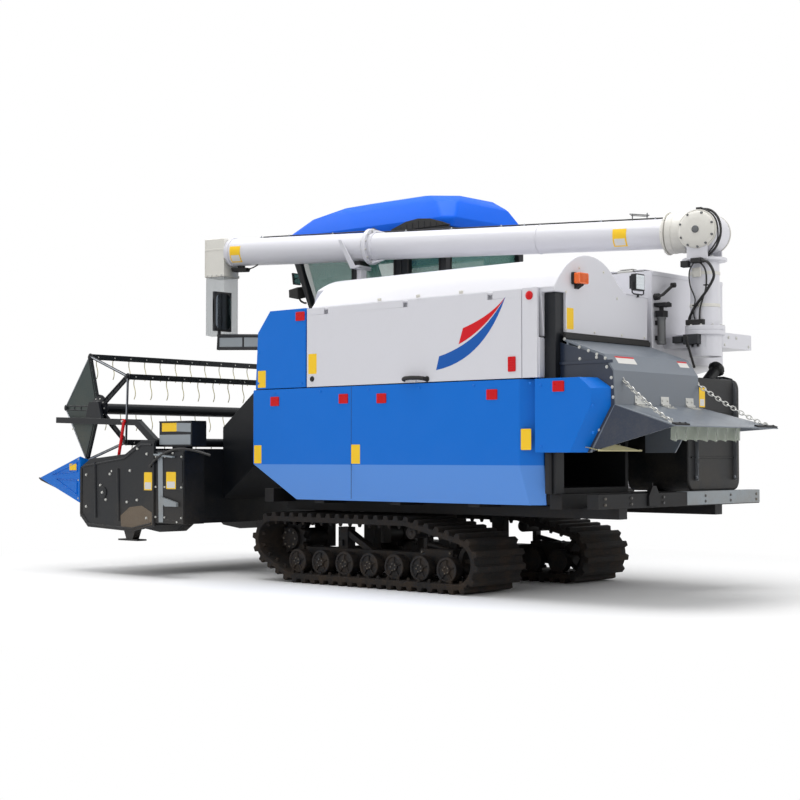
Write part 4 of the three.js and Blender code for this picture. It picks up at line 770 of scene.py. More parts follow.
# Button heads along the covers' edges, and the pressed seam of the lower cover.
heads = Shape()
for x in (-1540, -1100, -650, -200, 250, 700):
    heads.turned([(9, 0), (9, 2), (6, 4.2), (0.5, 4.8)], (x, COVER_FACE, 1325), (0, 1, 0), 12)
for x, z in ((430, 1870), (870, 1620), (870, 1400), (430, 1385)):
    heads.turned([(9, 0), (9, 2), (6, 4.2), (0.5, 4.8)], (x, COVER_FACE, z), (0, 1, 0), 12)
for x, z in ((-2000, 1180), (-2000, 1020), (-1620, 940), (-1620, 1310)):
    heads.turned([(9, 0), (9, 2), (6, 4.2), (0.5, 4.8)], (x, COVER_FACE, z), (0, 1, 0), 12)
heads.piece("cover_screws", "machine", "paint_blue", blue, rounding=0)

seam = Shape().block((-42.5, 949, 600), (-39.5, 950.6, 1350))
seam.piece("cover_seam", "machine", "paint_black", trim_rubber, rounding=0)
print("left side trim", len(LABELS) + len(REFLECTORS) + 6)

# %% [markdown]
# ## The rear: hood, flap, chains and curtain
#
# The straw hood is folded sheet between two dark side plates, held by pale button-head bolts. The
# flap below it hangs on two chains. A chain is the plainest case for Geometry Nodes: one link,
# set along a curve, every second one turned a quarter round.


# %% Instances along a path with Geometry Nodes
def add_socket(tree, label, kind, value=None):
    socket = tree.interface.new_socket(name=label, in_out="INPUT", socket_type=kind)
    if value is not None:
        socket.default_value = value
    return socket


def make_chain_tree():
    """Links along a curve: a rounded oval swept by a wire, each one turned against the last."""
    tree = bpy.data.node_groups.new("chain_links", "GeometryNodeTree")
    tree.interface.new_socket(name="Geometry", in_out="INPUT", socket_type="NodeSocketGeometry")
    add_socket(tree, "Pitch", "NodeSocketFloat", 0.024)
    add_socket(tree, "Wire", "NodeSocketFloat", 0.0035)
    add_socket(tree, "Finish", "NodeSocketMaterial")
    tree.interface.new_socket(name="Geometry", in_out="OUTPUT", socket_type="NodeSocketGeometry")
    inside, outside = tree.nodes.new("NodeGroupInput"), tree.nodes.new("NodeGroupOutput")
    points = tree.nodes.new("GeometryNodeCurveToPoints")
    points.mode = "LENGTH"
    tree.links.new(inside.outputs["Geometry"], points.inputs["Curve"])
    tree.links.new(inside.outputs["Pitch"], points.inputs["Length"])
    oval = tree.nodes.new("GeometryNodeCurvePrimitiveCircle")
    oval.inputs["Resolution"].default_value = 12
    radius = math_in(tree, "MULTIPLY", inside.outputs["Pitch"], 0.72)
    tree.links.new(radius, oval.inputs["Radius"])
    squeeze = tree.nodes.new("GeometryNodeTransform")
    squeeze.inputs["Scale"].default_value = (0.6, 1.0, 1.0)
    squeeze.inputs["Rotation"].default_value = (math.pi / 2, 0, 0)
    tree.links.new(oval.outputs["Curve"], squeeze.inputs["Geometry"])
    wire = tree.nodes.new("GeometryNodeCurvePrimitiveCircle")
    wire.inputs["Resolution"].default_value = 6
    tree.links.new(inside.outputs["Wire"], wire.inputs["Radius"])
    link = tree.nodes.new("GeometryNodeCurveToMesh")
    tree.links.new(squeeze.outputs["Geometry"], link.inputs["Curve"])
    tree.links.new(wire.outputs["Curve"], link.inputs["Profile Curve"])
    index = tree.nodes.new("GeometryNodeInputIndex")
    odd = math_in(tree, "MODULO", index.outputs[0], 2.0)
    quarter = math_in(tree, "MULTIPLY", odd, math.pi / 2)
    spin = tree.nodes.new("ShaderNodeCombineXYZ")
    tree.links.new(quarter, spin.inputs["Z"])
    turn = tree.nodes.new("FunctionNodeRotateRotation")
    turn.rotation_space = "LOCAL"
    tree.links.new(points.outputs["Rotation"], turn.inputs["Rotation"])
    to_rotation = tree.nodes.new("FunctionNodeEulerToRotation")
    tree.links.new(spin.outputs[0], to_rotation.inputs[0])
    tree.links.new(to_rotation.outputs[0], turn.inputs["Rotate By"])
    instance = tree.nodes.new("GeometryNodeInstanceOnPoints")
    tree.links.new(points.outputs["Points"], instance.inputs["Points"])
    tree.links.new(link.outputs["Mesh"], instance.inputs["Instance"])
    tree.links.new(turn.outputs["Rotation"], instance.inputs["Rotation"])
    finish_tree(tree, instance.outputs["Instances"], inside, outside)
    return tree


def math_in(tree, operation, a, b):
    """A Math node in a geometry tree; gives its output socket."""
    node = tree.nodes.new("ShaderNodeMath")
    node.operation = operation
    for socket, value in zip(node.inputs, (a, b)):
        if isinstance(value, (int, float)):
            socket.default_value = value
        else:
            tree.links.new(value, socket)
    return node.outputs[0]


def finish_tree(tree, geometry, inside, outside):
    """Every tree ends the same way: real geometry with its material set."""
    real = tree.nodes.new("GeometryNodeRealizeInstances")
    tree.links.new(geometry, real.inputs[0])
    smooth = tree.nodes.new("GeometryNodeSetShadeSmooth")
    tree.links.new(real.outputs[0], smooth.inputs["Geometry"])
    paint = tree.nodes.new("GeometryNodeSetMaterial")
    tree.links.new(smooth.outputs[0], paint.inputs["Geometry"])
    tree.links.new(inside.outputs["Finish"], paint.inputs["Material"])
    tree.links.new(paint.outputs[0], outside.inputs["Geometry"])


def grow(name, base, tree, inputs, body):
    """Runs a Geometry Nodes tree on base data once and keeps the result as a plain mesh piece."""
    carrier = bpy.data.objects.new(name + "_base", base)
    bpy.context.scene.collection.objects.link(carrier)
    modifier = carrier.modifiers.new("grow", "NODES")
    modifier.node_group = tree
    sockets = {item.name: item.identifier for item in tree.interface.items_tree if item.in_out == "INPUT"}
    for label, value in inputs.items():
        modifier[sockets[label]] = value
    bpy.context.view_layer.update()
    result = carrier.evaluated_get(bpy.context.evaluated_depsgraph_get())
    mesh = bpy.data.meshes.new_from_object(result)
    mesh.name = name
    bpy.data.objects.remove(carrier)
    piece = bpy.data.objects.new(name, mesh)
    bpy.context.scene.collection.objects.link(piece)
    mesh.set_sharp_from_angle(angle=math.radians(40))
    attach(piece, body)
    print(name, "faces", len(mesh.polygons))
    return piece


def path_curve(name, points, smooth=False):
    """A poly curve through machine points."""
    curve = bpy.data.curves.new(name, "CURVE")
    curve.dimensions = "3D"
    spline = curve.splines.new("POLY")
    spline.points.add(len(points) - 1)
    for target, point in zip(spline.points, points):
        target.co = (*at(*point), 1)
    return curve


def sagging(a, b, drop, count=24):
    """A hanging line from a to b that sags by drop at its middle."""
    a, b = Vector(a), Vector(b)
    return [a.lerp(b, t) + Vector((0, 0, -drop * 4 * t * (1 - t))) for t in (i / (count - 1) for i in range(count))]


CHAIN_TREE = make_chain_tree()

# %% Chains and strut
CHAINS = {
    "chain_left": ((-1958, 720, 1432), (-2440, 806, 1080), 22),
    "chain_right": ((-1958, -60, 1434), (-2452, -268, 1076), 26),
}
for name, (top, foot, drop) in CHAINS.items():
    grow(name, path_curve(name, sagging(top, foot, drop)), CHAIN_TREE,
         {"Pitch": 0.027, "Wire": 0.0035, "Finish": zinc}, "machine")
hooks = Shape()
for name, (top, foot, drop) in CHAINS.items():
    for place in (top, foot):
        x, y, z = place
        hooks.turned([(14, -16), (14, -6), (6, -3), (6, 6)], (x, y, z), (0, 0, 1), 16)
        hooks.tube([(x + 10 * math.cos(t), y, z + 9 + 10 * math.sin(t)) for t in
                    (2 * math.pi * k / 14 for k in range(14))], 3, 6, closed=True)
hooks.piece("chain_eyes", "machine", "bare_steel", zinc, rounding=0)

strut = Shape().tube([(-1965, -130, 1640), (-1972, -165, 1560), (-1990, -195, 1450)], 8, 10)
strut.turned([(16, -8), (16, 8)], (-1965, -130, 1640), (0, 1, 0), 16)
strut.piece("hood_strut", "machine", "paint_black", trim_rubber, rounding=0)

# %% Hood side plate, bolts and seal
HOOD_LEFT = 835
plate = Shape().plate([(-1683, 1571), (-1990, 1480), (-2062, 1386), (-2074, 1186), (-1905, 907),
                       (-1683, 907)], "y",
                      HOOD_LEFT, HOOD_LEFT + 2)
plate.plate([(-1683, 1452), (-2064, 1452), (-2066, 1434), (-1683, 1434)], "y", HOOD_LEFT + 1, HOOD_LEFT + 12)
plate.piece("hood_side_plate", "machine", "paint_black", navy, rounding=0.001)
hood_bolts = Shape()
for x, z in ((-1715, 1590), (-1824, 1536), (-1890, 1512), (-1950, 1488), (-2010, 1462), (-1667, 1470),
             (-1827, 1466),
             (-1948, 1470), (-2020, 1410), (-2052, 1345), (-2058, 1290), (-2064, 1230), (-1900, 960),
             (-1960, 1040)):
    hood_bolts.bolt((x, HOOD_LEFT + 1.5, z), (0, 1, 0), 14, 6)
hood_bolts.piece("hood_bolts", "machine", "bare_steel", zinc, rounding=0)
seal = Shape().block((-1722, -100, 1592), (-1700.5, 832, 1622))
seal.block((-1712, -100, 1620), (-1700.5, 832, 1634))
seal.piece("drum_cover_seal", "machine", "paint_black", trim_rubber, rounding=0.003)

FOLDS = ((-1702, 1596), (-2000, 1490), (-2070, 1390), (-2080, 1190))


def on_fold(index, share, lift):
    """A point (x, z) on a fold of the hood, share of the way down it and lifted off its face."""
    (x0, z0), (x1, z1) = FOLDS[index], FOLDS[index + 1]
    length = math.hypot(x1 - x0, z1 - z0)
    nx, nz = -(z0 - z1) / length, (x0 - x1) / length
    return x0 + (x1 - x0) * share + nx * lift, z0 + (z1 - z0) * share + nz * lift


def fold_plate(shape, index, near, far, y0, y1, low, high):
    """A plate lying on a fold between two shares of it."""
    return shape.plate([on_fold(index, near, low), on_fold(index, far, low), on_fold(index, far, high),
                        on_fold(index, near, high)], "y", y0, y1)


fold_labels = Shape()
fold_plate(fold_labels, 1, 0.12, 0.55, 540, 740, 0, FILM)
fold_plate(fold_labels, 1, 0.12, 0.5, -60, 50, 0, FILM)
fold_labels.piece("hood_labels", "machine", "paint_white", label_white, rounding=0)
fold_stripe = Shape()
fold_plate(fold_stripe, 1, 0.12, 0.2, 540, 740, FILM, 2 * FILM)
fold_plate(fold_stripe, 1, 0.12, 0.2, -60, 50, FILM, 2 * FILM)
fold_stripe.piece("hood_label_bands", "machine", "paint_white", red, rounding=0)

# %% Flap: hinges, dark cheeks and edge bars
FLAP_X, FLAP_Z = -2080, 1190
TIP_X, TIP_Z = -2500, 1060


def on_flap(share, lift=0.0):
    """A point (x, z) on the flap's top face."""
    length = math.hypot(TIP_X - FLAP_X, TIP_Z - FLAP_Z)
    nx, nz = (TIP_Z - FLAP_Z) / length, (FLAP_X - TIP_X) / length
    return FLAP_X + (TIP_X - FLAP_X) * share + nx * lift, FLAP_Z + (TIP_Z - FLAP_Z) * share + nz * lift


hinges = Shape()
for y in (585, 300, 15):
    hinges.rod((FLAP_X - 7, y - 48, FLAP_Z + 5), (FLAP_X - 7, y + 48, FLAP_Z + 5), 7, 14)
    fold_plate(hinges, 2, 0.72, 0.97, y - 45, y + 45, 0, 3)
    low, far = on_flap(0.02), on_flap(0.14)
    low_up, far_up = on_flap(0.02, 3), on_flap(0.14, 3)
    hinges.plate([low, far, far_up, low_up], "y", y - 45, y + 45)
    for dy in (-28, 28):
        x, z = on_flap(0.09, 3)
        hinges.bolt((x, y + dy, z), (-0.29, 0, 0.95), 12, 5)
        x, z = on_fold(2, 0.84, 3)
        hinges.bolt((x, y + dy, z), (-1, 0, 0.05), 12, 5)
hinges.piece("flap_hinges", "machine", "bare_steel", zinc, rounding=0)

cheek = Shape().plate([(-2085, 1184), (-2488, 1054), (-1925, 912)], "y", 850, 852)
cheek.piece("flap_cheek_skin", "machine", "paint_black", navy, rounding=0.0008)
bars = Shape()
tip = [on_flap(0.93, 0), on_flap(1.0, 0), on_flap(1.0, 9), on_flap(0.93, 9)]
bars.plate(tip, "y", 700, 850).plate(tip, "y", -330, -90)
for y in (730, 790, -300, -200):
    x, z = on_flap(0.965, 8)
    bars.bolt((x, y, z), (-0.29, 0, 0.95), 14, 6)
bars.piece("flap_edge_bars", "machine", "paint_black", frame_black, rounding=0.001)

# %% [markdown]
# ## The curtain
#
# A clear, yellowed plastic curtain hangs behind the flap and stops straw from flying. It is one
# sheet hung from its top edge, gathered into soft vertical folds that deepen towards the free
# hem. A sheet of points with a thickness modifier gives that in a few lines.

# %% Curtain
curtain_low, curtain_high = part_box("rubber_curtain")
FOLD_COUNT = 7
ACROSS, DOWN = 140, 10
curtain_x = (curtain_low[0] + curtain_high[0]) / 2
points, faces = [], []
for j in range(DOWN + 1):
    drop = j / DOWN
    for i in range(ACROSS + 1):
        share = i / ACROSS
        wave = math.sin(share * FOLD_COUNT * 2 * math.pi) + 0.35 * math.sin(share * FOLD_COUNT * 4.6 + 1.3)
        hem = 0.006 * math.sin(share * FOLD_COUNT * 2 * math.pi + 0.8) * drop
        points.append((curtain_x - 0.001 + wave * 0.011 * (0.15 + 0.85 * drop),
                       curtain_low[1] + (curtain_high[1] - curtain_low[1]) * share,
                       curtain_high[2] - (curtain_high[2] - curtain_low[2]) * drop + hem))
for j in range(DOWN):
    for i in range(ACROSS):
        a = j * (ACROSS + 1) + i
        faces.append((a, a + 1, a + ACROSS + 2, a + ACROSS + 1))
curtain_mesh = bpy.data.meshes.new("curtain")
curtain_mesh.from_pydata(points, [], faces)
for polygon in curtain_mesh.polygons:
    polygon.use_smooth = True
curtain_mesh.materials.append(curtain_sheet)
curtain = bpy.data.objects.new("curtain", curtain_mesh)
bpy.context.scene.collection.objects.link(curtain)
thick = curtain.modifiers.new("thickness", "SOLIDIFY")
thick.thickness = 0.002
thick.offset = 0
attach(curtain, "machine")
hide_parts("rubber_curtain")


# %% [markdown]
# ## Lamps, cables and fittings at the rear
#
# Small things at the rear say how the machine is used: an amber side lamp, a square work lamp on
# the shoulder of the drum cover, the cylinder that lifts the tube, and the cables that run down the
# post. The cables are clipped at both ends to the turning post, so they are plain bent tubes.

# %% Lamps on the drum cover
REAR_FACE = -1700
amber = Shape().plate(rounded(640, 1934, 742, 2002, 12), "x", REAR_FACE - 58, REAR_FACE - 18)
for k in range(1, 8):
    y = 640 + 102 * k / 8
    amber.block((REAR_FACE - 60.5, y - 1.2, 1942), (REAR_FACE - 57, y + 1.2, 1994))
amber.piece("side_lamp_lens", "machine", "paint_white", orange, rounding=0.003)
amber_back = Shape().plate(rounded(636, 1930, 746, 2006, 12), "x", REAR_FACE - 18, REAR_FACE - 0.5)
amber_back.plate([(REAR_FACE, 1905), (REAR_FACE, 1934), (REAR_FACE - 42, 1934), (REAR_FACE - 42, 1928)], "y",
                 668, 714)
amber_back.piece("side_lamp_back", "machine", "paint_black", trim_rubber, rounding=0.002)

work = Shape().plate(rounded(-30, 1948, 78, 2056, 10), "x", -1726, -1690)
for k in range(5):
    work.block((-1690, -22 + 21 * k, 1960), (-1672, -16 + 21 * k, 2044))
work.tube([(-1708, -42, 2002), (-1708, -42, 1932), (-1708, -20, 1924), (-1708, 68, 1924), (-1708, 90, 1932),
           (-1708, 90, 2002)], 5, 8)
work.rod((-1708, 24, 1905), (-1708, 24, 1928), 9, 12)
work.piece("work_lamp_body", "machine", "paint_black", black, rounding=0.0015)
work_lens = Shape().plate(rounded(-22, 1956, 70, 2048, 6), "x", -1729, -1725.5)
for i in range(4):
    for k in range(4):
        work_lens.turned([(8, 0), (6.5, 2), (2, 3)], (-1729, -10 + 23 * i, 1968 + 23 * k), (-1, 0, 0), 12)
work_lens.piece("work_lamp_lens", "machine", "paint_white", lamp_glass, rounding=0)

cover_rear = Shape()
for y, z in ((660, 2038), (400, 2034), (800, 1880), (250, 1880), (800, 1650), (500, 1650), (200, 1650),
             (-60, 1650)):
    cover_rear.bolt((REAR_FACE, y, z), (-1, 0, 0), 13, 6)
cover_rear.piece("drum_cover_bolts", "machine", "paint_white", ivory, rounding=0)
rear_label = Shape().plate(rounded(722, 1655, 792, 1785, 5), "x", REAR_FACE - FILM, REAR_FACE)
rear_label.piece("label_drum_cover", "machine", "paint_white", yellow, rounding=0)
cover_rim = Shape()
cover_rim.tube([(REAR_FACE - 3, 150, 1918), (REAR_FACE - 3, 20, 1914), (REAR_FACE - 3, -96, 1910)], 4, 8)
cover_rim.piece("drum_cover_rim", "machine", "paint_white", white, rounding=0)

# %% Tilt cylinder, lever and boxes behind the grain tank
ram = Shape()
ram.rod((-1742, -200, 1620), (-1742, -200, 1790), 27, 24)
ram.turned([(31, 0), (31, 14), (27, 18)], (-1742, -200, 1776), (0, 0, 1), 24)
ram.turned([(31, 0), (31, 14), (27, 18)], (-1742, -200, 1612), (0, 0, 1), 24)
ram.piece("valve_cylinder", "machine", "bare_steel", dull_steel, rounding=0.0015)
valve = Shape()
valve.block((-1772, -232, 1790), (-1712, -170, 1832))
valve.rod((-1742, -200, 1830), (-1742, -200, 1868), 15, 16)
valve.block((-1790, -250, 1858), (-1704, -168, 1884))
valve.rod((-1742, -250, 1872), (-1742, -290, 1884), 16, 16)
valve.block((-1742, -215, 1640), (-1700.5, -185, 1670)).block((-1742, -215, 1740), (-1700.5, -185, 1770))
valve.piece("valve_head", "machine", "bare_steel", cast_iron, rounding=0.002)
lever = Shape()
lever.rod((-1700.5, -185, 1925), (-1735, -185, 1925), 22, 20)
lever.tube([(-1728, -170, 1918), (-1734, -230, 1940), (-1740, -300, 1985), (-1742, -345, 2012)], 13, 12,
           flat=0.7)
lever.rod((-1728, -345, 2012), (-1758, -345, 2012), 17, 20)
lever.piece("tank_lever", "machine", "paint_black", trim_rubber, rounding=0.002)
junction = Shape().block((-1990, -289.5, 1606), (-1880, -235, 1672))
junction.block((-1860, -289.5, 1620), (-1790, -250, 1664))
for x in (-1975, -1935, -1895):
    junction.rod((x, -262, 1606), (x, -262, 1590), 7, 10)
junction.piece("junction_box", "machine", "paint_black", cab_plastic, rounding=0.004)
base_box = Shape()
for y, z in ((-520, 1660), (-620, 1660)):
    base_box.bolt((-2050, y, z), (-1, 0, 0), 16, 7)
for y in (-780, -470):
    base_box.bolt((-2050, y, 1610), (-1, 0, 0), 14, 6)
base_box.piece("base_box_bolts", "machine", "bare_steel", zinc, rounding=0)

# %% Post: clamp band, flange bolts, and the cables on it
POST_X, POST_Y = -1960, -380
post_trim = Shape()
for k in range(10):
    t = 2 * math.pi * k / 10
    post_trim.bolt((POST_X + 118 * math.cos(t), POST_Y + 118 * math.sin(t), 1730), (0, 0, 1), 14, 8)
    post_trim.bolt((POST_X + 122 * math.cos(t), POST_Y + 122 * math.sin(t), 2170), (0, 0, 1), 14, 8)
post_trim.piece("post_flange_bolts", "auger_post", "bare_steel", zinc, rounding=0)
band = Shape()
for z in (1850, 2060):
    band.turned([(96, 0), (99, 2), (99, 20), (96, 22)], (POST_X, POST_Y, z), (0, 0, 1), 40)
band.block((POST_X - 30, POST_Y + 94, 2044), (POST_X + 30, POST_Y + 110, 2104))
for x in (-1980, -1940):
    for z in (2058, 2090):
        band.bolt((x, POST_Y + 110, z), (0, 1, 0), 12, 6)
band.piece("post_bands", "auger_post", "paint_white", ivory, rounding=0.0012)


def smooth_path(points, steps=8):
    """A Catmull-Rom curve through points, with a few steps between each pair."""
    points = [Vector(p) for p in points]
    padded = [points[0] * 2 - points[1]] + points + [points[-1] * 2 - points[-2]]
    out = []
    for a, b, c, d in zip(padded, padded[1:], padded[2:], padded[3:]):
        for k in range(steps):
            t = k / steps
            out.append(0.5 * ((2 * b) + (c - a) * t + (2 * a - 5 * b + 4 * c - d) * t * t
                              + (3 * b - a - 3 * c + d) * t ** 3))
    return out + [points[-1]]


cables = Shape()
cables.tube(smooth_path([(-2010, -225, 2150), (-2085, -215, 2120), (-2110, -240, 2040), (-2060, -250, 1960),
                         (-2000, -262, 1900), (-1950, -272, 1850), (-1905, -285, 1790),
                         (-1890, -292, 1745)]), 9, 10)
cables.tube(smooth_path([(-1995, -235, 2150), (-2050, -235, 2080), (-2040, -262, 1980), (-2010, -270, 1900),
                         (-1990, -270, 1840), (-1980, -275, 1760)]), 6, 8)
cables.tube(smooth_path([(-1975, -240, 2150), (-1940, -225, 2080), (-1925, -255, 1990), (-1955, -265, 1900),
                         (-1940, -268, 1820), (-1950, -278, 1755)]), 4.5, 8)
cables.piece("post_cables", "auger_post", "paint_black", cable_skin, rounding=0)
ties = Shape()
for z, x in ((1858, -1955), (1985, -2038)):
    ties.tube([(x + 17 * math.cos(t), -264 + 17 * math.sin(t), z) for t in
               (2 * math.pi * k / 16 for k in range(16))], 3.5, 6, closed=True)
ties.block((-2008, -300, 1734), (-1880, -268, 1768))
ties.block((-2030, -262, 2130), (-1955, -210, 2160))
ties.piece("cable_ties", "auger_post", "paint_black", trim_rubber, rounding=0.002)
print("rear fittings made")

# %% [markdown]
# ## Undercarriage
#
# Each track wheel is a casting with a raised rim, a boss and five lightening ribs, held by a ring
# of bolts. The seven wheels of a side are alike, so the same wheel face of turned rings and ribs
# is built at each wheel's hub. A Geometry Nodes tree sets bolts on any cloud of points, and is
# used all over the machine.


# %% Studs on points
def make_stud_tree():
    """Hexagon heads on points, all along one axis."""
    tree = bpy.data.node_groups.new("studs", "GeometryNodeTree")
    tree.interface.new_socket(name="Geometry", in_out="INPUT", socket_type="NodeSocketGeometry")
    add_socket(tree, "Radius", "NodeSocketFloat", 0.008)
    add_socket(tree, "Height", "NodeSocketFloat", 0.006)
    add_socket(tree, "Axis", "NodeSocketVector")
    add_socket(tree, "Sides", "NodeSocketInt", 6)
    add_socket(tree, "Finish", "NodeSocketMaterial")
    tree.interface.new_socket(name="Geometry", in_out="OUTPUT", socket_type="NodeSocketGeometry")
    inside, outside = tree.nodes.new("NodeGroupInput"), tree.nodes.new("NodeGroupOutput")
    head = tree.nodes.new("GeometryNodeMeshCone")
    head.inputs["Side Segments"].default_value = 1
    tree.links.new(inside.outputs["Sides"], head.inputs["Vertices"])
    tree.links.new(inside.outputs["Radius"], head.inputs["Radius Bottom"])
    tree.links.new(math_in(tree, "MULTIPLY", inside.outputs["Radius"], 0.82), head.inputs["Radius Top"])
    tree.links.new(inside.outputs["Height"], head.inputs["Depth"])
    align = tree.nodes.new("FunctionNodeAlignRotationToVector")
    align.axis = "Z"
    tree.links.new(inside.outputs["Axis"], align.inputs["Vector"])
    instance = tree.nodes.new("GeometryNodeInstanceOnPoints")
    tree.links.new(inside.outputs["Geometry"], instance.inputs["Points"])
    tree.links.new(head.outputs["Mesh"], instance.inputs["Instance"])
    tree.links.new(align.outputs[0], instance.inputs["Rotation"])
    finish_tree(tree, instance.outputs["Instances"], inside, outside)
    return tree


STUD_TREE = make_stud_tree()


def studs(name, places, axis, body, material, radius=0.008, height=0.006, sides=6):
    """Bolt heads at machine points, standing along an axis."""
    base = bpy.data.meshes.new(name)
    base.from_pydata([tuple(at(*place)) for place in places], [], [])
    return grow(name, base, STUD_TREE, {"Radius": radius, "Height": height, "Axis": axis, "Sides": sides,
                                        "Finish": material}, body)


# %% Wheel faces
WHEEL_Z = 147.3
WHEEL_FACE = 780
WHEEL_XS = [640 - 1375 * i / 6 for i in range(7)]
for side, label in ((1, "left"), (-1, "right")):
    faces_shape = Shape()
    out = (0, side, 0)
    for x in WHEEL_XS:
        hub = (x, side * WHEEL_FACE, WHEEL_Z)
        faces_shape.turned([(84, -6), (84, 6), (80, 9), (70, 9), (66, 5), (64, -2)], hub, out, 30)
        faces_shape.turned([(30, -2), (30, 9), (26, 14), (16, 15), (12, 11), (0.5, 11)], hub, out, 20)
        for k in range(5):
            t = 2 * math.pi * k / 5 + 0.3
            a, b = Vector((x + 26 * math.cos(t), 0, WHEEL_Z + 26 * math.sin(t))), Vector(
                (x + 68 * math.cos(t), 0, WHEEL_Z + 68 * math.sin(t)))
            a.y = b.y = side * (WHEEL_FACE + 2)
            faces_shape.tube([a, b], 8, 8, flat=0.6)
    faces_shape.piece(label + "_wheel_faces", "machine", "paint_black", cast_iron, rounding=0)
    places = [(x + 22 * math.cos(t), side * (WHEEL_FACE + 12), WHEEL_Z + 22 * math.sin(t))
              for x in WHEEL_XS for t in (2 * math.pi * k / 5 for k in range(5))]
    studs(label + "_wheel_bolts", places, out, "machine", dull_steel, 0.005, 0.005)

    # Carrier roller cap, tensioner rod on the frame, and grease plugs.
    fittings = Shape()
    yc = side * 770
    fittings.turned([(42, 0), (42, 5), (34, 8), (32, 3), (14, 3), (12, 9), (0.5, 10)], (-420, yc, 378), out,
                    24)
    fittings.tube([(-430, side * 610, 300), (-620, side * 612, 262), (-700, side * 612, 235)], 18, 12)
    fittings.turned([(26, 0), (26, 30), (20, 34)], (-640, side * 612, 258), (-0.96, 0, -0.28), 18)
    for x in (-690, -560, -430):
        fittings.block((x - 8, side * 600 - 78 if side < 0 else 672, 128),
                       (x + 8, side * 600 - 74 if side < 0 else 678, 268))
    fittings.plate([(-700, 132), (-420, 132), (-420, 268), (-700, 268)], "y",
                   *sorted((side * 675, side * 681)))
    fittings.block((320, side * 655 - 8, 260), (350, side * 655 + 8, 300))
    fittings.piece(label + "_track_fittings", "machine", "paint_black", cast_iron, rounding=0.002)
    places = [(x, side * 682, z) for x in (-680, -440) for z in (150, 250)]
    places += [(845 + 58 * math.cos(t), side * 662, 294 + 58 * math.sin(t)) for t in
               (2 * math.pi * k / 8 for k in range(8))]
    studs(label + "_frame_bolts", places, out, "machine", dull_steel, 0.009, 0.008)

# %% [markdown]
# ## Belt detail
#
# The belt's solid has its cross bars. A rubber belt also has steel cores whose horns run between
# the wheels, and thin moulded ribs between the bars at its edges. The horns repeat around the belt,
# so they are set at even points along the belt's centre line, pointing inwards.


# %% Points round the belt's inside
def belt_line(step=90.0):
    """Points and inward directions evenly round the inside of the belt, in the side view."""
    circles = [(845, 294, 131), (640, 148, 85), (-735, 148, 85), (-855, 195, 132)]
    cloud = sorted({(round(x + r * math.cos(t), 3), round(z + r * math.sin(t), 3))
                    for x, z, r in circles + [(-420, 383,
                                               42)] for t in (2 * math.pi * k / 72 for k in range(72))})

    def half(items):
        out = []
        for p in items:
            while len(out) > 1:
                (ax, az), (bx, bz) = out[-2:]
                if (bx - ax) * (p[1] - az) - (bz - az) * (p[0] - ax) > 1e-6:
                    break
                out.pop()
            out.append(p)
        return out

    ring = half(cloud)[:-1] + half(cloud[::-1])[:-1]
    ring.append(ring[0])
    length = sum(math.dist(a, b) for a, b in zip(ring, ring[1:]))
    count = round(length / step)
    gap, travelled, target, found = length / count, 0.0, 0.0, []
    for a, b in zip(ring, ring[1:]):
        piece = math.dist(a, b)
        while target <= travelled + piece and len(found) < count:
            t = (target - travelled) / piece if piece else 0
            dx, dz = (b[0] - a[0]) / piece, (b[1] - a[1]) / piece
            found.append((a[0] + (b[0] - a[0]) * t, a[1] + (b[1] - a[1]) * t, -dz, dx))
            target += gap
        travelled += piece
    return found


belt_points = belt_line()
for side, label in ((1, "left"), (-1, "right")):
    horns = Shape()
    for x, z, nx, nz in belt_points:
        for y in (side * 600 - 208, side * 600 + 208):
            tx, tz = -nz, nx
            low = [(x + tx * u, y + v, z + tz * u) for u, v in ((-14, -9), (14, -9), (14, 9), (-14, 9))]
            high = [(x + nx * 22 + tx * u, y + v, z + nz * 22 + tz * u) for u, v in
                    ((-7, -5), (7, -5), (7, 5), (-7, 5))]
            horns.prism(low, high)
    horns.piece(label + "_belt_horns", "machine", "track_rubber", track_rubber, rounding=0)
print("belt points", len(belt_points))

# %% Bolts along the chassis and a drawbar eye
chassis_places = [(-1950, y, z) for y in (-1040, -700, -380, 120, 480, 760) for z in (592, 628)]
studs("rear_beam_bolts", chassis_places, (-1, 0, 0), "machine", dull_steel, 0.01, 0.009)
light_end = Shape().block((-1953, -1091, 570), (-1868, -160, 657))
light_end.piece("rear_beam_cover", "machine", "paint_grey", light_grey, rounding=0.003)
rear_bracket = Shape()
rear_bracket.plate([(180, 575), (300, 575), (300, 640), (260, 700), (220, 700), (180, 640)], "x", -1964,
                   -1951)
rear_bracket.plate([(-1951, 655), (-1900, 655), (-1951, 720)], "y", 236, 246)
rear_bracket.piece("rear_bracket", "machine", "paint_black", frame_black, rounding=0.002)
corner_iron = Shape()
corner_iron.plate([(-1660, 655), (-1640, 655), (-1640, 900), (-1660, 900)], "y", 838, 900)
corner_iron.piece("corner_iron", "machine", "paint_black", frame_black, rounding=0.002)
print("undercarriage done")

# %% [markdown]
# ## The reel
#
# Five bars turn with the reel, and each is kept the same way up by its own journals. A bar is a
# folded channel with a row of clamped spring tines. A tine is bent wire with a double curve, so it
# starts as a Bezier segment, is swept with a thin circle, and is set along the bar by a tree with
# the number of tines and their length as inputs.

# %% Tine bars
REEL_X, REEL_Z, REEL_R, REEL_HALF = 2520, 1252, 425, 1092
BAR_COUNT, TINE_COUNT, TINE_DROP = 5, 14, 0.172


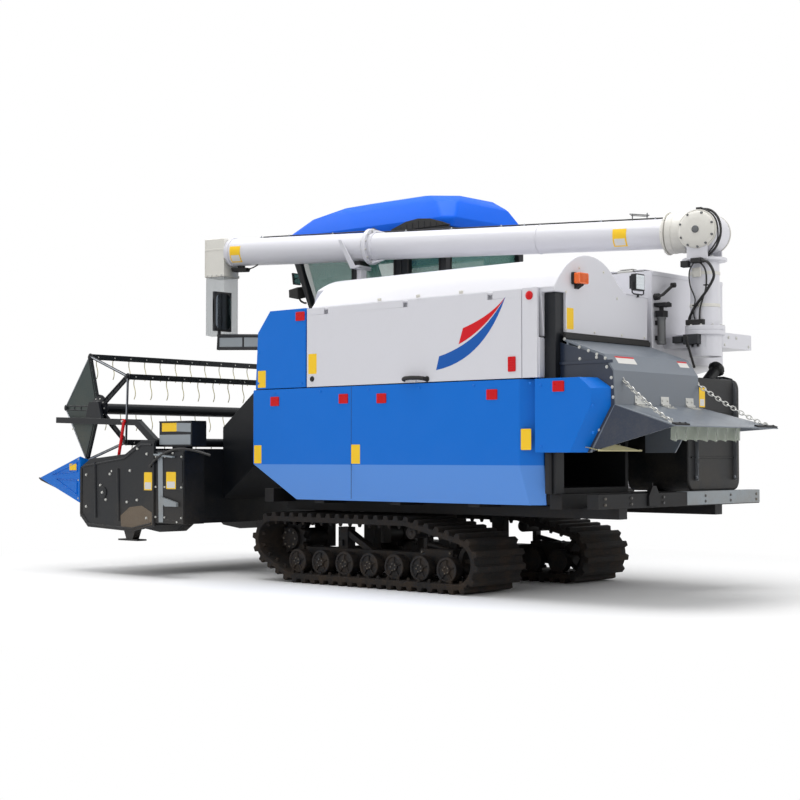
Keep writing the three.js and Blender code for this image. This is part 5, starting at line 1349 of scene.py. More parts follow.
def make_tine_tree():
    """Bent wires hanging from evenly spaced points of a line."""
    tree = bpy.data.node_groups.new("tines", "GeometryNodeTree")
    tree.interface.new_socket(name="Geometry", in_out="INPUT", socket_type="NodeSocketGeometry")
    add_socket(tree, "Count", "NodeSocketInt", 14)
    add_socket(tree, "Drop", "NodeSocketFloat", 0.17)
    add_socket(tree, "Wire", "NodeSocketFloat", 0.003)
    add_socket(tree, "Finish", "NodeSocketMaterial")
    tree.interface.new_socket(name="Geometry", in_out="OUTPUT", socket_type="NodeSocketGeometry")
    inside, outside = tree.nodes.new("NodeGroupInput"), tree.nodes.new("NodeGroupOutput")
    points = tree.nodes.new("GeometryNodeCurveToPoints")
    points.mode = "COUNT"
    tree.links.new(inside.outputs["Geometry"], points.inputs["Curve"])
    tree.links.new(inside.outputs["Count"], points.inputs["Count"])

    def reach(share, forward):
        place = tree.nodes.new("ShaderNodeCombineXYZ")
        tree.links.new(math_in(tree, "MULTIPLY", inside.outputs["Drop"], -share), place.inputs["Z"])
        place.inputs["X"].default_value = forward
        return place.outputs[0]

    wire = tree.nodes.new("GeometryNodeCurvePrimitiveBezierSegment")
    wire.mode = "POSITION"
    wire.inputs["Resolution"].default_value = 12
    for label, value in (("Start", reach(0.0, 0.0)), ("Start Handle", reach(0.45, 0.034)),
                         ("End Handle", reach(0.55, -0.042)), ("End", reach(1.0, 0.004))):
        tree.links.new(value, wire.inputs[label])
    ring = tree.nodes.new("GeometryNodeCurvePrimitiveCircle")
    ring.inputs["Resolution"].default_value = 6
    tree.links.new(inside.outputs["Wire"], ring.inputs["Radius"])
    swept = tree.nodes.new("GeometryNodeCurveToMesh")
    swept.inputs["Fill Caps"].default_value = True
    tree.links.new(wire.outputs["Curve"], swept.inputs["Curve"])
    tree.links.new(ring.outputs["Curve"], swept.inputs["Profile Curve"])
    instance = tree.nodes.new("GeometryNodeInstanceOnPoints")
    tree.links.new(points.outputs["Points"], instance.inputs["Points"])
    tree.links.new(swept.outputs["Mesh"], instance.inputs["Instance"])
    finish_tree(tree, instance.outputs["Instances"], inside, outside)
    return tree


TINE_TREE = make_tine_tree()
BAR_ANGLES = [math.radians(2 + 72 * k) for k in range(BAR_COUNT)]
tine_first, tine_last = -REEL_HALF + 60, REEL_HALF - 60
for number, angle in enumerate(BAR_ANGLES, start=1):
    bx, bz = REEL_X + REEL_R * math.cos(angle), REEL_Z + REEL_R * math.sin(angle)
    body = f"tine_bar_{number}"
    channel = Shape()
    w, h, t = 17, 25, 3.5
    fold = [(-w, h - 8), (-w, -h), (w, -h), (w, h - 8), (w - t, h - 8), (w - t, -h + t), (-w + t, -h + t),
            (-w + t, h - 8)]
    fold = [(bx + a, bz - b - 6) for a, b in fold]
    channel.plate(fold, "y", -REEL_HALF, REEL_HALF)
    channel.rod((bx, -REEL_HALF, bz), (bx, REEL_HALF, bz), 11, 14)
    for y in (-REEL_HALF + 6, 0, REEL_HALF - 6):
        channel.plate([(bx - w, bz + 18), (bx + w, bz + 18), (bx + w, bz - 22), (bx - w, bz - 22)], "y",
                      y - 3, y + 3)
    for k in range(TINE_COUNT):
        y = tine_first + (tine_last - tine_first) * k / (TINE_COUNT - 1)
        channel.block((bx - 9, y - 13, bz - 24), (bx + 9, y + 13, bz - 8))
    piece = channel.piece(f"bar_{number}_channel", body, "paint_black", header_black, rounding=0.001)
    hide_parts(body)
    grow(f"bar_{number}_tines", path_curve(f"bar_{number}",
                                           [(bx, tine_first, bz - 12), (bx, tine_last, bz - 12)]),
         TINE_TREE, {"Count": TINE_COUNT, "Drop": TINE_DROP - 0.012, "Wire": 0.0036, "Finish": cream_wire},
         body)
    places = [(bx - w - 1, tine_first + (tine_last - tine_first) * k / (TINE_COUNT - 1), bz - 4)
              for k in range(TINE_COUNT)]
    studs(f"bar_{number}_bolts", places, (-1, 0, 0), body, zinc, 0.0065, 0.004)

# %% Reel ends: wind plate, slotted arms, hub and tie rods
wind_green = finish("wind_plate_paint", shade(24, 44, 42), 0.4, dust=0.3, clean=1.6)
for side, label in ((1, "left"), (-1, "right")):
    y0, y1 = sorted((side * 1101, side * 1103.5))
    rim_points = [(REEL_X + REEL_R * 0.99 * math.cos(a),
                   REEL_Z + REEL_R * 0.99 * math.sin(a)) for a in BAR_ANGLES]
    plate = Shape().plate([(REEL_X, REEL_Z), rim_points[4], rim_points[0], rim_points[1]], "y", y0, y1)
    plate.piece(label + "_reel_plate", "reel", "paint_black", wind_green, rounding=0.0008)
    ends = Shape()
    out = (0, side, 0)
    ends.turned([(96, 0), (96, 4), (60, 10), (44, 24), (30, 26), (28, 18), (0.5, 18)],
                (REEL_X, side * 1100, REEL_Z),
                out, 32)
    for a in BAR_ANGLES:
        tip = (REEL_X + (REEL_R - 8) * math.cos(a), side * 1104, REEL_Z + (REEL_R - 8) * math.sin(a))
        for offset in (-17, 17):
            nx, nz = -math.sin(a) * offset, math.cos(a) * offset
            ends.tube([(REEL_X + 70 * math.cos(a) + nx, side * 1103, REEL_Z + 70 * math.sin(a) + nz),
                       (tip[0] + nx * 0.8, side * 1103, tip[2] + nz * 0.8)], 5, 6)
        for share in (0.3, 0.52, 0.72, 0.9):
            cx, cz = REEL_X + REEL_R * share * math.cos(a), REEL_Z + REEL_R * share * math.sin(a)
            nx, nz = -math.sin(a) * 18, math.cos(a) * 18
            ends.tube([(cx - nx, side * 1103, cz - nz), (cx + nx, side * 1103, cz + nz)], 5, 6)
        ends.turned([(17, 0), (17, 6), (10, 9), (0.5, 9)], tip, out, 18)
    ends.piece(label + "_reel_end", "reel", "paint_black", header_black, rounding=0)
    ties = Shape()
    for a, b in zip(BAR_ANGLES, BAR_ANGLES[1:] + BAR_ANGLES[:1]):
        p = (REEL_X + (REEL_R + 2) * math.cos(a), side * 1103, REEL_Z + (REEL_R + 2) * math.sin(a))
        q = (REEL_X + (REEL_R + 2) * math.cos(b), side * 1103, REEL_Z + (REEL_R + 2) * math.sin(b))
        ties.rod(p, q, 4.5, 8)
    ties.piece(label + "_reel_ties", "reel", "bare_steel", steel, rounding=0)
    places = [(REEL_X + 78 * math.cos(t), side * 1105, REEL_Z + 78 * math.sin(t)) for t in
              (2 * math.pi * k / 10 for k in range(10))]
    studs(label + "_reel_bolts", places, out, "reel", zinc, 0.007, 0.006)
print("reel dressed")
# %% [markdown]
# ## The header's trim
#
# The header's left end wall is a sheet with pressed ribs and round bolt heads, worn and muddy at its
# low rear corner. The drive case behind it carries a strip, a bracket, a warning label and a hose,
# and a red strut locks the reel down for transport. The dividers have a pressed triangle in each
# face, and the feeder house is stiffened by ribs.

# %% Header end walls
END_FACE = 1210.0
for side, tag in ((1, "left"), (-1, "right")):
    face = END_FACE * side
    out = face + 7 * side
    ribs = Shape()
    ribs.tube([(2414, face, 838), (2408, face, 640), (2398, face, 418)], 11, sides=10)
    ribs.tube([(2131, face, 792), (2124, face, 590), (2116, face, 402)], 11, sides=10)
    ribs.tube([(1736, face, 968), (1860, face, 968), (2056, face, 868), (2560, face, 806)], 8, sides=10)
    ribs.tube([(1736, face, 392), (1962, face, 348), (2488, face, 368), (2570, face, 440)], 8, sides=10)
    ribs.plate(((1703, 985), (1722, 985), (1722, 384), (1703, 384)), "y", face, out)
    ribs.plate(((2576, 792), (2597, 788), (2597, 438), (2576, 438)), "y", face, face + 5 * side)
    ribs.turned([(44, 0), (44, 5), (36, 9)], (2310, face, 610), (0, side, 0), 28)
    ribs.piece("header_end_ribs_" + tag, "header", "paint_black", header_black, rounding=0.0015)
    heads = [(2228, 750), (1987, 777), (1902, 560), (2021, 543), (2310, 610), (2344, 664), (2276, 556),
             (2520, 742),
             (2520, 500), (1790, 900), (1790, 430), (1900, 940)]
    studs("header_end_bolts_" + tag, [(x, face + (9 if (x, z) == (2310, 610) else 0) * side, z) for x,
                                      z in heads],
          (0.0, float(side), 0.0), "header", zinc if side > 0 else dull_steel, radius=0.011,
          height=0.008, sides=12)

mud = finish("worn_corner", shade(104, 92, 78), 0.75, dust=0.5, clean=0.4, dirt=DRY_MUD, patch=9.0,
             grain=120, relief=0.2)
worn = Shape()
worn.plate(((1726, 470), (1850, 520), (1990, 505), (2098, 440), (2090, 352), (1960, 340), (1726, 382)), "y",
           END_FACE, END_FACE + 1.2)
worn.piece("header_worn_patch", "header", "paint_black", mud, rounding=0)
foot = Shape()
foot.plate(((1930, 344), (2075, 344), (2040, 268), (1965, 268)), "y", 1140, 1202)
foot.plate(((1900, 268), (2130, 268), (2130, 256), (1900, 256)), "y", 1120, 1208)
foot.piece("header_foot", "header", "paint_black", header_black, rounding=0.002)

# %% Drive case on the header's left
case = Shape()
case.plate(((1616, 910), (1668, 910), (1654, 402), (1604, 402)), "y", 1205, 1209)
case.piece("drive_case_strip", "header", "paint_grey", light_grey, rounding=0.001)
case = Shape()
case.plate(((1436, 550), (1620, 590), (1620, 556), (1560, 520), (1436, 520)), "y", 1205, 1230)
case.plate(((1690, 902), (1480, 884), (1480, 872), (1690, 890)), "y", 1195, 1232)
case.piece("drive_case_bracket", "header", "paint_grey", light_grey, rounding=0.0015)
case = Shape()
case.plate(((1375, 915), (1382, 915), (1382, 400), (1375, 400)), "y", 1205, 1212)
case.tube([(1700, 1200, 640), (1372, 1200, 640)], 9, sides=10)
case.tube([(1700, 1200, 420), (1372, 1200, 420)], 8, sides=10)
case.plate(rounded(1392, 690, 1438, 860, 12), "y", 1205, 1210)
case.plate(((1333, 1130), (1697, 1130), (1697, 1140), (1333, 1140)), "y", 1034, 1176)
case.piece("drive_case_edges", "header", "paint_black", header_black, rounding=0.0015)
studs("drive_case_bolts", [(x, 1205, z) for x in (1402, 1588, 1690) for z in (440, 660, 880)]
      + [(1500, 1205, 905), (1450, 1205, 410)], (0.0, 1.0, 0.0), "header", zinc, radius=0.009,
      height=0.007, sides=6)
band = Shape()
band.plate(((1502, 1126), (1668, 1126), (1668, 1064), (1502, 1064)), "y", 1170, 1171.4)
band.piece("case_band_yellow", "header", None, yellow, rounding=0)
band = Shape()
band.plate(((1345, 1122), (1502, 1126), (1502, 1064), (1345, 1058)), "y", 1170, 1171.2)
band.piece("case_band_grey", "header", None, light_grey, rounding=0)
low = Shape()
low.plate(((1345, 1040), (1690, 1040), (1690, 968), (1345, 968)), "y", 1170, 1176)
low.piece("case_band_low", "header", "paint_grey", light_grey, rounding=0.0015)

for name, x, z, wide, tall in (("label_header_end", 1776, 700, 92, 132),
                               ("label_drive_case", 1520, 708, 108, 124)):
    face = 1210 if x > 1700 else 1205
    label = Shape()
    label.plate(rounded(x - wide / 2, z - tall / 2, x + wide / 2, z + tall / 2, 7), "y", face, face + 1.2)
    label.piece(name, "header", None, yellow, rounding=0)
    label = Shape()
    label.plate(rounded(x - wide / 2 + 9, z - tall / 2 + 8, x + wide / 2 - 9, z - tall * 0.06, 5), "y",
                face + 1.2,
                face + 1.8)
    label.piece(name + "_panel", "header", None, label_white, rounding=0)

hose = Shape()
hose.tube(smooth_path([(1745, 1216, 812), (1660, 1226, 866), (1526, 1226, 918), (1400, 1220, 936),
                       (1290, 1190, 925),
                       (1190, 1120, 890)]), 9, sides=12)
hose.tube([(1745, 1200, 812), (1745, 1222, 812)], 13, sides=12)
hose.piece("header_hose", "header", None, cable_skin, rounding=0)

# %% Reel lock strut
strut_red = Shape()
strut_red.rod((2125, 1163, 1146), (2213, 1163, 772), 12)
strut_red.turned([(20, -14), (20, 14)], (2213, 1163, 772), (0, 1, 0), 20)
strut_red.turned([(18, -12), (18, 12)], (2125, 1163, 1146), (0, 1, 0), 20)
strut_red.piece("reel_lock_strut", "header", None, red, rounding=0.001)
pins = Shape()
pins.turned([(9, -30), (9, 46), (7, 49)], (2213, 1163, 772), (0, 1, 0), 16)
pins.turned([(8, -24), (8, 24), (6, 27)], (2125, 1163, 1146), (0, 1, 0), 16)
pins.piece("reel_lock_pins", "header", "bare_steel", zinc, rounding=0.0008)

# %% Dividers
for side, tag in ((1, "left"), (-1, "right")):
    base = [(2600.3, 1210 * side, 884), (2600.3, 1210 * side, 525)]
    tip = (3165, 1185 * side, 709)

    def on_divider(x, z, lift=0.0):
        """A point on the divider's outer face, lifted off it."""
        share = (x - 2600.3) / (3165 - 2600.3)
        return (x, (1210 - 25 * share) * side + lift * side, z)

    frame = Shape()
    for a, b, c in (((2640, 838), (2980, 738), (2640, 768)), ((2640, 700), (2930, 706), (2640, 584))):
        frame.tube([on_divider(*p, 1.0) for p in (a, b, c)], 5, sides=8, closed=True)
    frame.tube([on_divider(2606, 876, 1), on_divider(2606, 532, 1)], 6, sides=8)
    frame.piece("divider_folds_" + tag, "header", "paint_blue", blue, rounding=0.0006)
    dark = Shape()
    for a, b, c in (((2650, 822), (2946, 740), (2650, 778)), ((2650, 690), (2900, 702), (2650, 598))):
        dark.prism([on_divider(*p, 0.0) for p in (a, b, c)], [on_divider(*p, 0.8) for p in (a, b, c)])
    dark.piece("divider_shade_" + tag, "header", "paint_blue", blue, rounding=0)
    shoe = Shape()
    shoe.tube([(2606, 1150 * side, 534), (2900, 1160 * side, 625), (3150, 1180 * side, 700),
               (3178, 1181 * side, 712)],
              12, sides=12, radii=(14, 13, 10, 6))
    shoe.piece("divider_shoe_" + tag, "header", "paint_black", header_black, rounding=0)
    studs("divider_bolts_" + tag, [on_divider(2622, z, 0) for z in (860, 700, 560)], (0.0, float(side), 0.0),
          "header",
          zinc, radius=0.008, height=0.006)
label = Shape()
label.plate(rounded(2652, 776, 2742, 826, 5), "y", 1204, 1209.5)
label.piece("label_divider", "header", None, yellow, rounding=0)
# %% [markdown]
# ## The cab
#
# The seat is two vinyl pads on a box. A pad starts as a plain box that is remeshed into small even
# faces, its seams and underside are pinned, and a short cloth simulation with air pressure inside
# swells the panels between the seams. The movement is capped, so the foam keeps its size. The rest
# of the cab is trim: seals round the windows, a wiper, lamps, a steering wheel and levers.

# %% Seat pads
SEAT_X, SEAT_Y, SEAT_Z = 480.0, -577.5, 1551.0
PAD_CAP = 0.011


def swell(obj, pinned, pressure):
    """Blows the pad up against its pinned vertices with a short cloth simulation."""
    group = obj.vertex_groups.new(name="pinned")
    group.add(pinned, 1.0, "REPLACE")
    start = [v.co.copy() for v in obj.data.vertices]
    cloth = obj.modifiers.new("cloth", "CLOTH")
    cloth.settings.quality = 4
    cloth.settings.mass = 0.3
    cloth.settings.vertex_group_mass = "pinned"
    cloth.settings.use_pressure = True
    cloth.settings.uniform_pressure_force = pressure
    cloth.settings.effector_weights.gravity = 0.0
    cloth.settings.tension_stiffness = 20.0
    cloth.settings.compression_stiffness = 12.0
    cloth.settings.bending_stiffness = 4.0
    cloth.collision_settings.use_collision = False
    scene = bpy.context.scene
    for frame in range(1, 21):
        scene.frame_set(frame)
    result = obj.evaluated_get(bpy.context.evaluated_depsgraph_get())
    mesh = bpy.data.meshes.new_from_object(result)
    for vertex, home in zip(mesh.vertices, start):
        move = vertex.co - home
        if move.length > PAD_CAP:
            vertex.co = home + move.normalized() * PAD_CAP
    scene.frame_set(1)
    obj.modifiers.remove(cloth)
    obj.data = mesh
    obj.vertex_groups.clear()


def pad(name, low_ring, high_ring, seams, pinned_side):
    """A vinyl pad between two rings; seams(co) says where the cover is stitched down."""
    shape = Shape()
    shape.prism(low_ring, high_ring)
    obj = shape.piece(name, "machine", "seat_vinyl", vinyl, rounding=0.022, angle=20)
    remesh = obj.modifiers.new("remesh", "REMESH")
    remesh.mode = "VOXEL"
    remesh.voxel_size = 0.009
    mesh = bpy.data.meshes.new_from_object(obj.evaluated_get(bpy.context.evaluated_depsgraph_get()))
    obj.modifiers.clear()
    obj.data = mesh
    pinned = []
    for vertex in mesh.vertices:
        if pinned_side(vertex.co):
            pinned.append(vertex.index)
        elif seams(vertex.co):
            pinned.append(vertex.index)
            vertex.co -= vertex.normal * 0.006
    swell(obj, pinned, 5.0)
    for polygon in obj.data.polygons:
        polygon.use_smooth = True
    relax = obj.modifiers.new("relax", "SMOOTH")
    relax.factor = 0.5
    relax.iterations = 2
    obj.modifiers.new("fine", "SUBSURF").levels = 1
    return obj


def ring(x0, x1, y0, y1, z):
    return [(x0, y0, z), (x1, y0, z), (x1, y1, z), (x0, y1, z)]


sy, sx = at(0, SEAT_Y, 0)[1], at(SEAT_X, 0, 0)[0]
cushion = pad("seat_cushion_pad", ring(SEAT_X + 9, SEAT_X + 461, SEAT_Y - 231, SEAT_Y + 231, SEAT_Z + 4),
              ring(SEAT_X + 9, SEAT_X + 458, SEAT_Y - 229, SEAT_Y + 229, SEAT_Z + 99),
              lambda c: abs(abs(c.y - sy) - 0.150) < 0.005 or (abs(c.y - sy) < 0.15 and abs(c.x - sx - 0.22) < 0.005),
              lambda c: c.z < (SEAT_Z + 14) / 1000)
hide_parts("seat_cushion")
back_low, back_high = 1670.0, 2290.0
backrest = pad("seat_back_pad", ring(SEAT_X - 12, SEAT_X + 90, SEAT_Y - 230, SEAT_Y + 230, back_low),
               ring(SEAT_X - 82, SEAT_X - 14, SEAT_Y - 178, SEAT_Y + 178, back_high),
               lambda c: abs(abs(c.y - sy) - 0.135) < 0.005 or abs(c.z - 2.110) < 0.005
               or (abs(c.y - sy) < 0.135 and abs(c.z - 1.890) < 0.005),
               lambda c: c.z < (back_low + 10) / 1000)
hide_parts("seat_back")
print("seat pads", len(cushion.data.vertices), len(backrest.data.vertices))

# %% Steering column, wheel and levers
column = Shape()
column.plate(((1100, SEAT_Y - 90), (1280, SEAT_Y - 90), (1280, SEAT_Y + 90), (1100, SEAT_Y + 90)), "z", 1221,
             1281)
column.prism([(1120, SEAT_Y - 50, 1275), (1240, SEAT_Y - 50, 1275), (1240, SEAT_Y + 50, 1275),
              (1120, SEAT_Y + 50, 1275)],
             [(1070, SEAT_Y - 40, 1950), (1160, SEAT_Y - 40, 1950), (1160, SEAT_Y + 40, 1950),
              (1070, SEAT_Y + 40, 1950)])
column.prism([(1010, SEAT_Y - 138, 1938), (1190, SEAT_Y - 138, 1938), (1190, SEAT_Y + 138, 1938),
              (1010, SEAT_Y + 138, 1938)],
             [(1024, SEAT_Y - 124, 1986), (1186, SEAT_Y - 124, 2000), (1186, SEAT_Y + 124, 2000),
              (1024, SEAT_Y + 124, 1986)])
column.rod((1092, SEAT_Y, 1980), (1084, SEAT_Y, 2006), 24)
dash = column.piece("steering_column", "machine", None, cab_plastic, rounding=0.006)
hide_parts("steering_console")
wheel = Shape()
hub = Vector((1080, SEAT_Y, 2011))
tilt = Vector((-0.12, 0, 1)).normalized()
u, v = tilt.cross(Vector((0, 1, 0))).normalized(), Vector((0, 1, 0))
wheel.tube([hub + (u * math.cos(t) + v * math.sin(t)) * 163 for t in (2 * math.pi * k / 48 for k in range(48))], 11,
           sides=12, closed=True)
for t in (math.radians(90), math.radians(210), math.radians(330)):
    wheel.tube([hub + (u * math.cos(t) + v * math.sin(t)) * 20,
                hub + (u * math.cos(t) + v * math.sin(t)) * 158], 8,
               sides=10, flat=0.6)
wheel.turned([(34, -8), (38, 0), (34, 9), (20, 12)], hub, tilt, 32)
wheel.piece("steering_wheel", "machine", None, trim_rubber, rounding=0)
levers = Shape()
side_box = ((560, 1221), (900, 1221), (900, 1560), (860, 1600), (560, 1600))
levers.plate(side_box, "y", -1000, -862)
levers.piece("side_console", "machine", None, cab_plastic, rounding=0.008)
knobs = Shape()
for x, y, lean in ((620, -960, 30), (700, -960, -10), (780, -960, 20), (840, -905, 35), (660, -900, 0)):
    knobs.rod((x, y, 1595), (x + lean, y, 1730), 5, 10)
    knobs.turned([(8, 0), (15, 8), (16, 22), (11, 34), (4, 38)], (x + lean, y, 1722), (lean / 140, 0, 1), 16)
knobs.piece("cab_levers", "machine", None, trim_rubber, rounding=0)
dials = Shape()
for dy in (-78, 0, 78):
    dials.turned([(26, 0), (26, 3), (22, 5)], (1150, SEAT_Y + dy, 1996), (-0.09, 0, 1), 24)
dials.piece("dash_dials", "machine", None, lamp_glass, rounding=0)

# %% Seals, pillars and the parts outside
LEFT = -115.0
seals = Shape()
for a, b, lean in ((90, 395, 0), (535, 905, 0), (970, 1395, 1)):
    outline = [(a, 1760), (b, 1760), (b + 20 * lean, 2040), (b + 175 * lean, 2490), (a, 2490)]
    seals.tube([(x, LEFT + 1, z) for x, z in outline], 7, sides=8, closed=True)
seals.tube([(x, -1041, z) for x, z in ((1345, 1760), (1375, 1760), (1395, 2040), (1565, 2490),
                                       (1345, 2490))], 7, sides=8,
           closed=True)
seals.tube([(30, y, z) for y, z in ((-980, 1990), (-175, 1990), (-175, 2490), (-980, 2490))], 7, sides=8,
           closed=True)
seals.piece("window_seals", "machine", "paint_black", trim_rubber, rounding=0)
trims = Shape()
for z in (1500, 1700):
    trims.tube([(34, LEFT + 1, z), (1410, LEFT + 1, z)], 4, sides=8)
trims.tube([(470, LEFT + 1, 1765), (470, LEFT + 1, 2488)], 5, sides=8)
trims.plate(((500, 2500), (545, 2556), (1290, 2556), (1335, 2500)), "y", LEFT, LEFT + 2)
trims.piece("cab_side_trim", "machine", "paint_black", black, rounding=0)
door_seal = Shape()
door_seal.tube([(x, -1041, z) for x, z in ((390, 1520), (1250, 1520), (1250, 2430), (390, 2430))], 7,
               sides=8, closed=True)
door_seal.piece("cab_door_seal", "cab_door", "paint_black", trim_rubber, rounding=0)
lock = Shape()
lock.turned([(17, 0), (17, 6), (12, 8), (12, 10)], (1205, -1040, 1600), (0, -1, 0), 24)
lock.turned([(14, -6), (14, 56), (11, 58)], (326, -1054, 1420), (0, 0, 1), 20)
lock.turned([(14, -6), (14, 56), (11, 58)], (326, -1054, 2250), (0, 0, 1), 20)
lock.piece("cab_door_lock", "cab_door", "bare_steel", zinc, rounding=0.0008)
studs("cab_door_bolts", [(362, -1058, z) for z in (1432, 1458, 2262, 2288)], (0.0, -1.0, 0.0), "cab_door",
      zinc, radius=0.007, height=0.005)

lamps = Shape()
for y in (-960, -200):
    lamps.plate(rounded(y - 62, 2574, y + 62, 2634, 12), "x", 1716, 1756)
lamps.piece("cab_head_lamps", "machine", "paint_black", black, rounding=0.004)
lamps = Shape()
for y in (-960, -200):
    lamps.plate(rounded(y - 52, 2583, y + 52, 2625, 10), "x", 1755, 1760)
lamps.piece("cab_head_lenses", "machine", None, lamp_glass, rounding=0.002)

arm = Shape()
arm.tube(smooth_path([(1500, -140, 2095), (1535, -150, 2100), (1580, -160, 2118), (1596, -160, 2140)]), 8,
         sides=10)
arm.tube(smooth_path([(1566, -136, 2300), (1600, -150, 2302), (1634, -156, 2300)]), 5, sides=10)
arm.tube(smooth_path([(1440, -128, 2052), (1462, -122, 2110), (1546, -122, 2290), (1630, -122, 2470)]), 7,
         sides=8)
arm.plate(((1648, 2346), (1662, 2346), (1648, 2252), (1634, 2252)), "y", -214, -134)
arm.prism([(1550, -212, 2150), (1580, -128, 2128), (1590, -128, 2226), (1560, -212, 2240)],
          [(1672, -206, 2166), (1690, -134, 2150), (1694, -134, 2212), (1676, -206, 2222)])
arm.piece("corner_mirror", "machine", "paint_black", trim_rubber, rounding=0.003)
glass = Shape()
glass.plate(((1644, 2338), (1647.5, 2338), (1634, 2260), (1630.5, 2260)), "y", -206, -142)
glass.piece("corner_mirror_glass", "machine", None, mirror, rounding=0)

wiper = Shape()
wiper.turned([(16, 0), (16, 18), (10, 24)], (1448, -577, 1560), (1, 0, 0), 20)
wiper.tube([(1466, -577, 1560), (1480, -640, 1800), (1478, -700, 2010)], 6, sides=8, flat=0.6)
wiper.tube([(1478, -560, 1960), (1478, -700, 2010), (1476, -840, 2055)], 5, sides=8, flat=1.6)
wiper.piece("wiper", "machine", "paint_black", trim_rubber, rounding=0)

vent = Shape()
vent.plate(((-8, 2566), (60, 2592), (180, 2628), (300, 2640), (420, 2628), (560, 2586), (580, 2566)), "y",
           -124, -112)
vent.piece("roof_vent", "machine", "paint_black", trim_rubber, rounding=0.002)
slats = Shape()
for k in range(9):
    x = 60 + k * 58
    slats.plate(((x, 2568), (x + 6, 2568), (x + 6, 2622 - abs(k - 4) * 9), (x, 2622 - abs(k - 4) * 9)), "y",
                -113, -110)
slats.piece("roof_vent_slats", "machine", "paint_black", black, rounding=0)
fins = Shape()
for x, y, z in ((1430, -250, 2782), (820, -577, 2848)):
    fins.turned([(24, 0), (22, 8), (12, 16), (6, 20)], (x, y, z - 18), (0, 0, 1), 20)
fins.piece("roof_fittings", "machine", "paint_blue", roof_blue, rounding=0)
gutter = Shape()
gutter.tube([(10, -130, 2566), (1690, -130, 2566), (1704, -144, 2566), (1704, -1040, 2566)], 9, sides=10)
gutter.piece("roof_gutter", "machine", "paint_black", trim_rubber, rounding=0)

# %% Mirror on the left
frame = Shape()
frame.plate(rounded(665, 1816, 835, 2109, 60, 8), "x", 1476, 1502)
frame.tube([(1516, 750, 1850), (1500, 750, 1850)], 16, sides=12)
frame.tube([(1510, 750, 2050), (1500, 750, 2050)], 16, sides=12)
frame.tube([(900, 750, 1666), (1522, 750, 1694)], 7, sides=10)
frame.tube([(900, 750, 1750), (1522, 750, 1782)], 7, sides=10)
frame.tube([(1250, 750, 1684), (1250, 750, 1766)], 4, sides=8)
frame.piece("mirror_frame", "machine", "paint_black", trim_rubber, rounding=0.005)
pane = Shape()
pane.plate(rounded(676, 1827, 824, 2098, 52, 8), "x", 1474.5, 1477)
pane.piece("mirror_pane", "machine", None, mirror, rounding=0)
pane = Shape()
pane.prism([(905, 745.6, 1674), (1240, 745.6, 1689), (1240, 745.6, 1757), (905, 745.6, 1742)],
           [(905, 754.4, 1674), (1240, 754.4, 1689), (1240, 754.4, 1757), (905, 754.4, 1742)])
pane.prism([(1260, 745.6, 1690), (1512, 745.6, 1701), (1512, 745.6, 1769), (1260, 745.6, 1758)],
           [(1260, 754.4, 1690), (1512, 754.4, 1701), (1512, 754.4, 1769), (1260, 754.4, 1758)])
pane.piece("mirror_lower_panel", "machine", None, light_grey, rounding=0)
clamps = Shape()
for x, z in ((902, 1500), (902, 1560)):
    clamps.bolt((x + 10, 730, z), (1, 0, 0), 16, 8)
    clamps.bolt((x + 10, 770, z), (1, 0, 0), 16, 8)
clamps.piece("mirror_bracket_bolts", "machine", "bare_steel", zinc, rounding=0)
print("cab dressed")
# %% [markdown]
# ## The unloading auger
#
# The tube leans on its elbow, so its trim is placed in the tube's own directions: d along it, s to
# its left and h above its axis. The cast elbow is a separate cream part with bolted flanges. The
# clear sleeve under the spout is a sheet folded round four corners; it hangs by its top edge, bows a
# little between the corners and ends in a loose hem.

# %% Directions along the tube
POST_X, POST_Y, ELBOW_Z = -1960.0, -380.0, 2345.0
YAW, RISE = math.radians(11), math.radians(1.9)
TUBE_R, TUBE_LENGTH, JOINT = 100.0, 3950.0, 2610.0
AHEAD = Vector((math.cos(YAW) * math.cos(RISE), math.sin(YAW) * math.cos(RISE), math.sin(RISE)))
ASIDE = Vector((-math.sin(YAW), math.cos(YAW), 0))
ABOVE = AHEAD.cross(ASIDE)


def along(d, s, z):
    """A point d ahead of the post and s to the left of the tube's line, at height z."""
    return Vector((POST_X + math.cos(YAW) * d - math.sin(YAW) * s,
                   POST_Y + math.sin(YAW) * d + math.cos(YAW) * s, z))


def on_tube(d, s, h):
    """A point d along the tube, s to its left and h above its axis."""
    return Vector((POST_X, POST_Y, ELBOW_Z)) + AHEAD * d + ASIDE * s + ABOVE * h


def patch(shape, d0, d1, radius, angle0, angle1, lift, steps=8):
    """A thin sheet bent round the tube between two angles, measured from straight left towards the top."""
    for k in range(steps):
        ring = []
        for r in (radius - 0.5, radius + lift):
            for t in (angle0 + (angle1 - angle0) * k / steps, angle0 + (angle1 - angle0) * (k + 1) / steps):
                t = math.radians(t)
                ring.append((r * math.cos(t), r * math.sin(t)))
        a, b, c, e = ring
        shape.prism([on_tube(d0, *p) for p in (a, b, e, c)], [on_tube(d1, *p) for p in (a, b, e, c)])
    return shape


